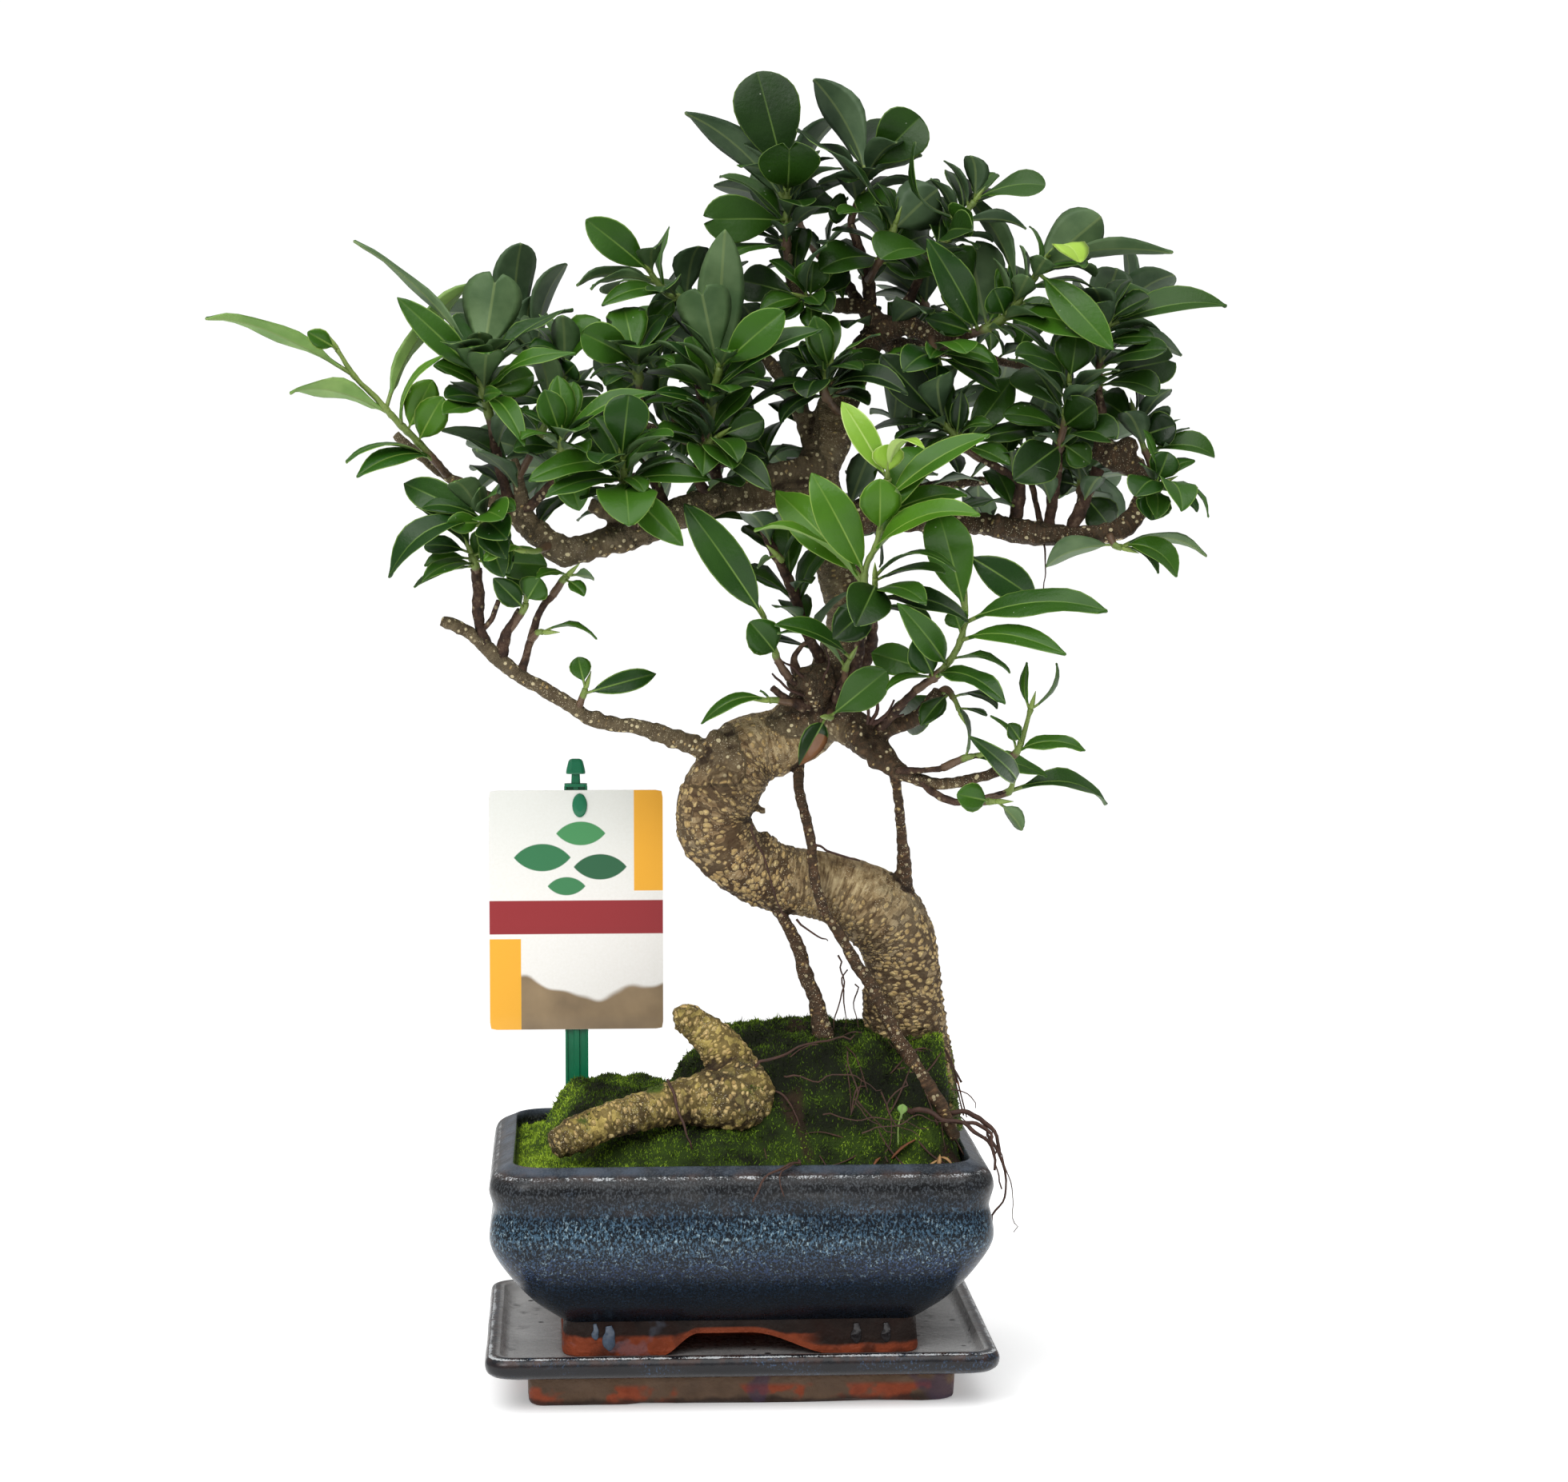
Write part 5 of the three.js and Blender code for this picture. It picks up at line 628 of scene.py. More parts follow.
# Drops of glaze on the foot: [0 for blue or 1 for dark, x, where it starts, where it ends, radius]
DRIPS = [[0, -53, 27, 22, 2.6], [0, -58.5, 28, 25.5, 1.4], [1, 46, 27, 23.4, 2.2], [1, 58, 27, 23.6, 2.0]]

# Saucer: where its glazed dish starts, and the profile of its bare band
DISH_START = [13.2, 8]
BAND_LEVELS = [[0, 18.3], [0.6, 17.4], [1.6, 17], [5, 16.7], [9, 16.5], [13.6, 16.4]]

# Moss: rings of its bed, how many shoots are tried, how far out and how deep they stand
BED_RINGS = 75
MOSS_FEET = 44000
MOSS_REACH = 0.985
MOSS_ROOTED = 0.4
FROND_LEVEL = 104

# Wood: the radius from which a limb is part of the joined skin, the skin's cells, and its kinds
HEAVY_RADIUS = 3.5
VOXEL = 1.1
PROP_SLIM = 0.78
TWIG_SLIM = 0.94
LIMB, MOSS_ROOT, AERIAL_ROOT = range(3)
KIND_REACH = 22
WIDE_ROUNDS = 24

# Places on the trunk as seen [x, z]: the outside of its bend, its smooth top and the middle of its scar
BEND = (-8, 222)
SMOOTH_TOP = (50, 205)
SCAR = (-4.5, 242.5)

# Pores on the trunk and spots on the thin limbs, per millimetre
PORE_SCALE = 0.56
SPOT_SCALE = 0.36

# Fine roots drawn by rule on the mound's right
TANGLE = 34

# Leaves: marks for the materials, and the colours of each tone: dark, light and rib of the upper side,
# then dark and light of the underside
LEAF_MARKS = ("leaf_across", "leaf_along", "leaf_edge", "leaf_seed", "leaf_brown", "woody")
LEAF_TONES = {
    "deep": [(15, 38, 6), (44, 80, 15), (120, 152, 72), (50, 74, 46), (82, 106, 72)],
    "mid": [(22, 56, 8), (54, 96, 18), (132, 166, 76), (66, 94, 54), (98, 124, 80)],
    "bright": [(34, 78, 12), (76, 122, 24), (156, 186, 86), (100, 138, 62), (134, 166, 90)],
    "young": [(104, 150, 40), (160, 196, 72), (204, 224, 140), (150, 186, 86), (186, 212, 124)],
}

# Leaves that the CAD leaves out: [place on the stem, tip as seen, depth, width, facing, arch]
ADDED_LEAVES = {"low_leaf": [[0.3, -32, 288, -18, 9, "front", 0.14]]}

# Small leaves tried on each shoot, and the shoots that carry fewer
FILL_TRIES = 26
SPARSE_SHOOTS = {"left_back_top": 4}

# Small leaves inside the crown: from which level they fill a shoot or follow a twig, the thickest twig,
# the steps along it, and the owner's number that these leaves share
FILL_LEVEL = 345
INNER_LEVEL = 340
INNER_WOOD = 5.6
INNER_STEP = 4.4
INNER_OWNER = 500

# Golden angle between one leaf and the next
GOLDEN_TURN = 2.4

# Sections of a leaf [across, side] and stations along it, for small leaves and for the others
SMALL_LEAF = 27
RING_FEW = [
    (1, 0), (0.6, 1), (0.1, 1), (0, 1), (-0.1, 1), (-0.6, 1), (-1, 0), (-0.5, -1), (0, -1), (0.5, -1),
]
STATIONS_FEW = [0, 0.06, 0.18, 0.34, 0.52, 0.7, 0.84, 0.93, 0.98]
RING = [
    (1, 0), (0.93, 1), (0.72, 1), (0.4, 1), (0.08, 1), (0, 1), (-0.08, 1), (-0.4, 1), (-0.72, 1),
    (-0.93, 1), (-1, 0), (-0.72, -1), (-0.1, -1), (0, -1), (0.1, -1), (0.72, -1),
]
STATIONS = [0, 0.035, 0.09, 0.16, 0.25, 0.36, 0.47, 0.58, 0.69, 0.79, 0.87, 0.93, 0.97, 0.992]
BROWN_LEAF_OWNERS = [i for i, row in enumerate(SHOOTS) if row[0] == "trunk_leaf"]

# Bud on a shoot's end: [distance, radius]
BUD = [(-0.5, 0.85), (1, 1.15), (3, 0.95), (5.5, 0.5), (7.5, 0.1)]

# Card: its grid, its corner, and its design as leaves [x, z, size, colour] and blocks [x, x, z, z, colour]
CARD_COLUMNS = 24
CARD_ROWS = 32
CARD_CORNER = 1.6
CARD_LEAVES = [
    [-14, 72, 15, (46, 120, 74)], [2, 82, 13, (70, 146, 88)], [10, 68, 14, (36, 98, 62)],
    [-4, 60, 10, (58, 130, 80)],
]
CARD_BLOCKS = [
    [24, 36.5, 58, 100.5, (246, 178, 44)], [-36.5, -23, -0.5, 38, (246, 178, 44)],
    [-36.5, 36.5, 40, 54, (150, 32, 38)],
]

# Stake: its section, the levels of its shaft, its head [level, half width, half depth] and its tab
STAKE_SECTION = [
    [-4.8, 1.6], [-4.8, -1.2], [-3.9, -1.2], [-3.6, -0.4], [-1.3, -0.4], [-1.0, -1.2], [1.0, -1.2],
    [1.3, -0.4], [3.6, -0.4], [3.9, -1.2], [4.8, -1.2], [4.8, 1.6],
]
STAKE_LEVELS = [60, 90, 140, 190, 239.4]
STAKE_HEAD = [
    [239.4, 4.7, 2.2], [240.6, 4.7, 2.2], [240.7, 1.9, 1.3], [244.6, 1.7, 1.2], [244.7, 3.9, 2.4],
    [245.2, 4.0, 2.5], [246.6, 3.8, 2.4], [249.8, 3.0, 1.9], [250.6, 2.4, 1.4], [250.9, 1.6, 0.9],
]
TAB_PLACE = (1.6, 231.7)
TAB_SIZE = (3.1, 5)
TAB_DOME = [(0, 1), (0.5, 0.98), (0.9, 0.86), (1.15, 0.5)]


def unit(vector):
    return vector / np.linalg.norm(vector)


def smooth_step(low, high, value):
    share = np.clip((value - low) / (high - low), 0, 1)
    return share * share * (3 - 2 * share)


def from_view(row):
    """A point seen at (x, z) on the plane through the trunk, moved along the sight line to its depth."""
    k = (row[2] - EYE[1]) / -EYE[1]
    return np.array([EYE[0] + (row[0] - EYE[0]) * k, row[2], EYE[2] + (row[1] - EYE[2]) * k])


def chance(a, b, c):
    """A number from 0 to 1 that is always the same for the same three whole numbers."""
    whole = 0xFFFFFFFF
    h = ((a + 1) * 73856093 & whole) ^ ((b + 1) * 19349663 & whole) ^ ((c + 1) * 83492791 & whole)
    h = (h ^ (h >> 13)) * 1274126177 & whole
    return (h ^ (h >> 16)) / 4294967296


def ridge_at(level, centre, reach):
    """1 at a level, falling to 0 within the reach on both sides of it."""
    return max(0, 1 - abs(level - centre) / reach)


def noise_over(size, *columns, layer=0):
    """Smooth noise at each point, in waves of about the given size. Two columns use one layer of it."""
    return np.array([noise.noise((*(value / size for value in row), layer)[:3]) for row in zip(*columns)])


def axes_across(axis):
    """Two directions square to an axis and to each other."""
    side = unit(np.cross(axis, [1, 0, 0] if abs(axis[2]) > 0.9 else [0, 0, 1]))
    return side, np.cross(axis, side)


def distance_along(points):
    """How far along its path each point lies."""
    gaps = np.linalg.norm(np.diff(points, axis=0), axis=1)
    return np.concatenate([[0], np.cumsum(gaps)])


def with_settings(thing, settings):
    for key, value in settings.items():
        setattr(thing, key, value)
    return thing


def in_scene(name, data):
    """A new object in the scene that shows the given mesh, light or camera."""
    made = bpy.data.objects.new(name, data)
    bpy.context.scene.collection.objects.link(made)
    return made


def mark_points(mesh, name, values):
    """Keeps a number at each point of a mesh for the materials to read."""
    layer = mesh.attributes.new(name, "FLOAT", "POINT")
    layer.data.foreach_set("value", values.astype(np.float32))


class Build:
    """Collects points, faces, material numbers and marks on the points, and makes one object of them."""

    def __init__(self, *marks):
        self.points, self.faces, self.slots, self.count = [], [], [], 0
        self.marks = {name: [] for name in marks}

    def add(self, points, faces, slot=0, **marks):
        points = np.asarray(points, float)
        self.points.append(points)
        self.faces += [[int(i) + self.count for i in face] for face in faces]
        self.slots += [slot] * len(faces) if np.isscalar(slot) else list(slot)
        for name, values in self.marks.items():
            values.append(np.broadcast_to(np.asarray(marks.get(name, 0), float), len(points)))
        self.count += len(points)

    def add_rings(self, points, rings, slot=0, **marks):
        """Points that make the given number of closed rings, joined and capped."""
        self.add(points, ring_faces(rings, len(points) // rings), slot, **marks)

    def finish(self, name, materials, smooth=True):
        mesh = bpy.data.meshes.new(name)
        mesh.from_pydata((np.concatenate(self.points) * MM).tolist(), [], self.faces)
        mesh.polygons.foreach_set("material_index", self.slots)
        mesh.polygons.foreach_set("use_smooth", [smooth] * len(self.faces))
        for mark, values in self.marks.items():
            mark_points(mesh, mark, np.concatenate(values))
        for material in materials:
            mesh.materials.append(material)
        mesh.update()
        return in_scene(name, mesh)


def settle(piece, nodes=()):
    """The piece rides on the one body and stands for CAD nodes, whose parts it hides."""
    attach(piece, "root")
    if nodes:
        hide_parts(*nodes)
    return piece


def ring_faces(rings, count, caps=True, first=0):
    """Faces between rings of points, each ring turning to the left when seen from the last one."""
    faces = []
    for r in range(rings - 1):
        for i in range(count):
            a = first + r * count + i
            b = first + r * count + (i + 1) % count
            faces.append([a, b, b + count, a + count])
    if caps:
        faces.append([first + i for i in reversed(range(count))])
        faces.append([first + (rings - 1) * count + i for i in range(count)])
    return faces


def smooth_path(rows, step):
    """Points and radii every few millimetres on a smooth curve through the given rows."""
    rows = np.asarray(rows, float)
    padded = np.vstack([2 * rows[0] - rows[1], rows, 2 * rows[-1] - rows[-2]])
    padded[[0, -1], 3] = rows[[0, -1], 3]
    out = []
    for i in range(1, len(padded) - 2):
        a, b, c, d = padded[i - 1:i + 3]
        steps = max(1, round(float(np.linalg.norm((c - b)[:3])) / step))
        for t in np.arange(steps) / steps:
            out.append(0.5 * (2 * b + (c - a) * t + (2 * a - 5 * b + 4 * c - d) * t ** 2
                              + (3 * b - a - 3 * c + d) * t ** 3))
    out.append(rows[-1])
    path = np.array(out)
    path[:, 3] = np.maximum(path[:, 3], 0.2)
    return path


def path_frames(points):
    """The direction of a path at each point and two directions across it, carried on without twist."""
    ways, sides = [], []
    side = None
    for i in range(len(points)):
        way = unit(points[min(i + 1, len(points) - 1)] - points[max(i - 1, 0)])
        if side is None:
            side = np.array([0.0, 1, 0]) if abs(way[1]) < 0.9 else np.array([1.0, 0, 0])
        side = unit(side - way * np.dot(side, way))
        ways.append(way)
        sides.append(side)
    ways, sides = np.array(ways), np.array(sides)
    return ways, sides, np.cross(ways, sides)


def add_tube(build, path, sides, slot=0, rough=0.0, seed=0, **marks):
    """A closed round tube along a path of [x, y, z, radius], a little uneven if rough."""
    _, side, across = path_frames(path[:, :3])
    angles = 2 * np.pi * np.arange(sides) / sides
    ring = np.cos(angles)[None, :, None] * side[:, None] + np.sin(angles)[None, :, None] * across[:, None]
    radii = np.repeat(path[:, 3][:, None], sides, 1)
    if rough:
        places = np.arange(len(path))[:, None] * 0.9 + angles * 0
        wave = np.sin(places * 1.7 + 3 * angles + seed) + np.sin(places * 0.61 - 2 * angles + 2 * seed)
        radii = radii * (1 + rough * 0.5 * wave)
    points = path[:, None, :3] + ring * radii[:, :, None]
    spread = {name: np.repeat(value, sides) if np.ndim(value) else value for name, value in marks.items()}
    build.add(points.reshape(-1, 3), ring_faces(len(path), sides), slot, **spread)


def reshaped(piece, kind, **settings):
    """The mesh that a modifier makes of a piece."""
    with_settings(piece.modifiers.new("reshape", kind), settings)
    mesh = bpy.data.meshes.new_from_object(piece.evaluated_get(bpy.context.evaluated_depsgraph_get()))
    piece.modifiers.clear()
    return mesh


def mesh_points(mesh):
    points = np.zeros(len(mesh.vertices) * 3)
    mesh.vertices.foreach_get("co", points)
    return points.reshape(-1, 3) * METRE


def mesh_normals(mesh):
    normals = np.zeros(len(mesh.vertices) * 3)
    mesh.vertex_normals.foreach_get("vector", normals)
    return normals.reshape(-1, 3)


def move_points(mesh, points):
    """Puts a mesh's points at new places and gives its normals there."""
    mesh.vertices.foreach_set("co", (points * MM).ravel())
    mesh.update()
    return mesh_normals(mesh)


def srgb(red, green, blue):
    """A colour read in 0 to 255, as the shader's linear values."""
    parts = [c / 255 for c in (red, green, blue)]
    return [c / 12.92 if c <= 0.04045 else ((c + 0.055) / 1.055) ** 2.4 for c in parts] + [1.0]


class Shader:
    """Short names for the nodes of one material."""

    def __init__(self, name, roughness=0.5):
        self.material = bpy.data.materials.new(name)
        self.material.use_nodes = True
        self.tree = self.material.node_tree
        self.surface = self.tree.nodes["Principled BSDF"]
        self.surface.inputs["Roughness"].default_value = roughness
        self.place = self.node("ShaderNodeTexCoord").outputs["Object"]

    def node(self, kind, **settings):
        return with_settings(self.tree.nodes.new(kind), settings)

    def put(self, socket, value):
        if isinstance(value, bpy.types.NodeSocket):
            self.tree.links.new(value, socket)
        else:
            socket.default_value = value

    def mark(self, name, output="Fac"):
        return self.node("ShaderNodeAttribute", attribute_name=name).outputs[output]

    def math(self, kind, a, b=0.0, c=0.0):
        made = self.node("ShaderNodeMath", operation=kind)
        for socket, value in zip(made.inputs, (a, b, c)):
            self.put(socket, value)
        return made.outputs[0]

    def fall(self, value, low, high):
        return self.step(value, low, high, 1.0, 0.0)

    def times(self, a, b):
        return self.math("MULTIPLY", a, b)

    def times_plus(self, a, b, c):
        return self.math("MULTIPLY_ADD", a, b, c)

    def step(self, value, low, high, start=0.0, end=1.0):
        made = self.node("ShaderNodeMapRange", interpolation_type="SMOOTHSTEP")
        for socket, part in zip(made.inputs, (value, low, high, start, end)):
            self.put(socket, part)
        return made.outputs[0]

    def stretched(self, x, y, z, vector=None):
        made = self.node("ShaderNodeMapping")
        self.put(made.inputs["Vector"], vector or self.place)
        made.inputs["Scale"].default_value = (x, y, z)
        return made.outputs[0]

    def warped(self, vector, scale, amount):
        """Coordinates shaken by noise, so that cells lose their even shape."""
        shake = self.node("ShaderNodeTexNoise")
        self.put(shake.inputs["Vector"], vector)
        shake.inputs["Scale"].default_value = scale
        made = self.node("ShaderNodeVectorMath", operation="MULTIPLY_ADD")
        self.put(made.inputs[0], shake.outputs["Color"])
        made.inputs[1].default_value = (amount, amount, amount)
        self.put(made.inputs[2], vector)
        return made.outputs[0]

    def noise(self, scale, detail=2.0, rough=0.5, vector=None):
        made = self.node("ShaderNodeTexNoise")
        self.put(made.inputs["Vector"], vector or self.place)
        made.inputs["Scale"].default_value = scale
        made.inputs["Detail"].default_value = detail
        made.inputs["Roughness"].default_value = rough
        return made.outputs["Fac"]

    def cells(self, scale, vector=None, output="Distance"):
        made = self.node("ShaderNodeTexVoronoi")
        self.put(made.inputs["Vector"], vector or self.place)
        made.inputs["Scale"].default_value = scale
        return made.outputs[output]

    def chances(self, scale, vector):
        """Three numbers from 0 to 1 for each cell."""
        split = self.node("ShaderNodeSeparateColor")
        self.put(split.inputs[0], self.cells(scale, vector, "Color"))
        return tuple(split.outputs)

    def millimetres(self):
        """Place from left to right, from front to back and in height."""
        split = self.node("ShaderNodeSeparateXYZ")
        self.put(split.inputs[0], self.stretched(METRE, METRE, METRE))
        return tuple(split.outputs)

    def mix(self, share, a, b):
        made = self.node("ShaderNodeMix", data_type="RGBA")
        self.put(made.inputs[0], share)
        self.put(made.inputs[6], a)
        self.put(made.inputs[7], b)
        return made.outputs[2]

    def ramp(self, value, stops):
        made = self.node("ShaderNodeValToRGB")
        line = made.color_ramp.elements
        while len(line) < len(stops):
            line.new(0.5)
        for element, (place, colour) in zip(line, stops):
            element.position = place
            element.color = colour
        self.put(made.inputs[0], value)
        return made.outputs[0]

    def done(self, colour, bump=None, depth=0.001, strength=1.0, roughness=None, **sockets):
        self.put(self.surface.inputs["Base Color"], colour)
        if bump is not None:
            made = self.node("ShaderNodeBump")
            made.inputs["Strength"].default_value = strength
            made.inputs["Distance"].default_value = depth
            self.put(made.inputs["Height"], bump)
            self.put(self.surface.inputs["Normal"], made.outputs[0])
        if roughness is not None:
            self.put(self.surface.inputs["Roughness"], roughness)
        for name, value in sockets.items():
            self.surface.inputs[name.replace("_", " ")].default_value = value
        return self.material


def leaf_top(name, dark, light, rib):
    """A leaf's upper side: a fine pale midrib, a thin pale edge painted as a highlight, faint mottling and a
    little dust.
    """
    s = Shader(name)
    blotch = s.times_plus(s.noise(45, 3), 0.5, s.times(s.mark("leaf_seed"), 0.75))
    base = s.mix(s.step(blotch, 0.2, 0.95), dark, light)
    across = s.mark("leaf_across")
    fading = s.step(s.mark("leaf_along"), 0.1, 1.0, 0.62, 0.12)
    midrib = s.times(s.fall(across, 0.12, 0.5), fading)
    # Painted highlight: the blade's thin pale edge, in the midrib's pale colour
    edge = s.step(s.mark("leaf_edge"), 0.1, 0.6, 0.8, 0.0)
    colour = s.mix(s.math("MAXIMUM", midrib, edge), base, rib)
    dust = s.times(s.fall(s.cells(240), 0.05, 0.1), s.step(s.noise(35, 2), 0.56, 0.62))
    colour = s.mix(s.times(dust, 0.45), colour, srgb(190, 200, 180))
    ragged = s.times_plus(s.noise(110, 4), 0.9, s.math("ADD", s.mark("leaf_brown"), -0.45))
    dry = s.mix(s.noise(150, 4), srgb(76, 46, 22), srgb(126, 84, 48))
    colour = s.mix(s.step(ragged, 0.45, 0.6), colour, dry)
    grain = s.times_plus(midrib, -0.9, s.noise(600, 3))
    gloss = s.times_plus(s.noise(60, 2), 0.24, 0.26)
    return s.done(colour, grain, 0.00025, 0.6, gloss, Specular_IOR_Level=0.28)


def leaf_under(name, dark, light):
    """The dull, paler underside with its raised midrib."""
    s = Shader(name)
    base = s.mix(s.step(s.noise(60, 3), 0.3, 0.7), dark, light)
    midrib = s.step(s.mark("leaf_across"), 0.3, 0.75, 0.45, 0.0)
    colour = s.mix(midrib, base, srgb(128, 146, 88))
    return s.done(colour, s.noise(500, 3), 0.0002, 0.5, 0.55, Specular_IOR_Level=0.35)


def stem_skin():
    """Green shoots that turn woody brown towards their start, with leaf scars."""
    s = Shader("shoot_bark", 0.5)
    green = s.mix(s.noise(160, 3), srgb(92, 118, 48), srgb(132, 150, 74))
    brown = s.mix(s.noise(240, 4), srgb(62, 44, 32), srgb(120, 94, 70))
    woody = s.math("ADD", s.mark("woody"), s.times_plus(s.noise(120, 3), 0.6, -0.3))
    return s.done(s.mix(s.step(woody, 0.35, 0.65), green, brown), s.noise(900, 3), 0.0005, 0.6)


def bark_skin():
    """Grey-brown bark with rows of cream pores, painted shade in its creases and under the big root, a
    whorled scar, moss and darker roots.
    """
    s = Shader("bark", 0.75)
    wood = s.mark("bark_place", "Vector")
    fine = s.noise(0.5, 5, 0.6, s.stretched(1, 0.4, 0.4, wood))
    rings = s.noise(0.85, 4, 0.65, s.stretched(1, 0.1, 0.1, wood))
    base = s.ramp(s.times_plus(rings, 0.45, s.times(fine, 0.55)), [
        (0.38, srgb(84, 64, 40)), (0.48, srgb(146, 125, 88)), (0.6, srgb(198, 178, 136))])
    base = s.mix(s.step(s.noise(38, 4, 0.6), 0.42, 0.66, 0.0, 0.55), base, srgb(150, 143, 120))
    brown = s.step(s.noise(24, 4, 0.6), 0.5, 0.66, 0.0, 0.6)
    base = s.mix(brown, base, s.mix(fine, srgb(76, 54, 34), srgb(134, 100, 66)))
    tan = s.ramp(s.noise(80, 5, 0.7), [
        (0.36, srgb(50, 46, 16)), (0.5, srgb(134, 118, 56)), (0.66, srgb(204, 180, 100))])
    base = s.mix(s.times(s.mark("root_tan"), 0.85), base, tan)
    upper = s.mix(fine, srgb(45, 38, 28), srgb(102, 92, 70))
    base = s.mix(s.times(s.mark("upper"), 0.85), base, upper)
    root = s.ramp(s.noise(0.7, 5, 0.7, s.stretched(1, 0.4, 0.4, wood)), [
        (0.36, srgb(16, 8, 5)), (0.5, srgb(46, 28, 18)), (0.66, srgb(92, 65, 44))])
    base = s.mix(s.times(s.mark("root_dark"), 0.95), base, root)
    ovals = s.warped(s.stretched(1, 0.6, 0.6, wood), 0.3, 2.0)
    away = s.cells(PORE_SCALE, ovals)
    there, larger, browner = s.chances(PORE_SCALE, ovals)
    dense = s.mark("dense")
    shown = s.step(s.math("SUBTRACT", dense, there), -0.04, 0.04)
    size = s.times_plus(larger, 0.2, s.times_plus(dense, 0.24, 0.12))
    dome = s.times(s.step(s.math("SUBTRACT", size, away), -0.04, 0.34), shown)
    pale = s.times(s.step(s.math("SUBTRACT", size, away), -0.06, 0.09), shown)
    cream = s.mix(s.noise(500, 3), srgb(194, 158, 94), srgb(255, 233, 172))
    cream = s.mix(s.times(browner, 0.6), cream, srgb(186, 146, 86))
    ground = s.times_plus(s.mark("root_tan"), -0.4, s.times(dense, 0.5))
    base = s.mix(s.math("MAXIMUM", ground, 0.0), base, s.mix(fine, srgb(84, 60, 34), srgb(140, 112, 76)))
    rim = s.step(s.math("SUBTRACT", away, size), -0.02, 0.1)
    between = s.times(s.times(rim, shown), s.times(dense, 0.9))
    colour = s.mix(between, base, srgb(54, 36, 20))
    colour = s.mix(s.times(pale, 0.82), colour, cream)
    dots = s.times(s.fall(s.cells(1.25, wood), 0.16, 0.24), s.step(s.noise(60, 3), 0.44, 0.54))
    colour = s.mix(s.times(dots, 0.75), colour, srgb(214, 202, 172))
    few = s.fall(s.chances(SPOT_SCALE, wood)[0], 0.5, 0.54)
    spots = s.times(s.fall(s.cells(SPOT_SCALE, wood), 0.23, 0.32), few)
    spotted = s.math("MAXIMUM", s.mark("upper"), s.times(s.mark("root_dark"), 0.5))
    spots = s.times(spots, spotted)
    colour = s.mix(s.times(spots, 0.9), colour, srgb(214, 200, 160))
    scar = s.mark("scar")
    curl = s.fall(s.math("PINGPONG", s.times(scar, 0.36), 0.5), 0.1, 0.42)
    curl = s.times(curl, s.step(scar, 5.0, 11.0, 0.75, 0.0))
    colour = s.mix(curl, colour, srgb(84, 66, 44))
    # Painted shade: the bark darkens in creases and hollows, and under the big root where it lies over the
    # moss
    crease = s.step(s.mark("hollow"), 0.04, 0.6)
    colour = s.mix(s.times(crease, 0.86), colour, srgb(44, 29, 16))
    moss = s.mix(s.noise(420, 4), srgb(30, 42, 10), srgb(88, 110, 30))
    speck = s.times_plus(s.noise(90, 5), 0.9, -0.45)
    mossy = s.step(s.math("ADD", s.mark("mossy"), speck), 0.4, 0.6)
    colour = s.mix(mossy, colour, moss)
    relief = s.times_plus(dome, 1.5, s.times_plus(fine, 0.8, s.noise(700, 4)))
    relief = s.times_plus(rings, 0.9, s.times_plus(curl, -0.9, relief))
    return s.done(colour, relief, 0.0012, 0.9, Specular_IOR_Level=0.3)


def twig_skin():
    """Dark reddish brown twigs with pale dots and rings."""
    s = Shader("twig_bark", 0.75)
    base = s.ramp(s.noise(260, 4, 0.6), [(0.3, srgb(30, 20, 16)), (0.55, srgb(70, 50, 38)),
                                         (0.75, srgb(112, 92, 74))])
    dots = s.times(s.fall(s.cells(330), 0.2, 0.34), s.step(s.noise(110, 2), 0.45, 0.6))
    colour = s.mix(s.times(dots, 0.7), base, srgb(178, 162, 128))
    return s.done(colour, s.math("ADD", s.noise(800, 4), dots), 0.0007, 0.8, Specular_IOR_Level=0.3)


def moss_skin(name, dark, middle, light, relief):
    s = Shader(name, 0.85)
    patches = s.times_plus(s.noise(55, 4, 0.6), 0.75, s.times(s.mark("tuft"), 0.3))
    patches = s.times_plus(s.mark("gloom"), -0.24, patches)
    colour = s.ramp(patches, [(0.1, srgb(14, 18, 6)), (0.28, dark), (0.5, middle), (0.74, light)])
    soil = s.mix(s.noise(350, 4), srgb(18, 12, 8), srgb(58, 42, 28))
    colour = s.mix(s.step(s.mark("bare"), 0.35, 0.7), colour, soil)
    return s.done(colour, s.noise(900, 4), relief, 1.0, Specular_IOR_Level=0.2)


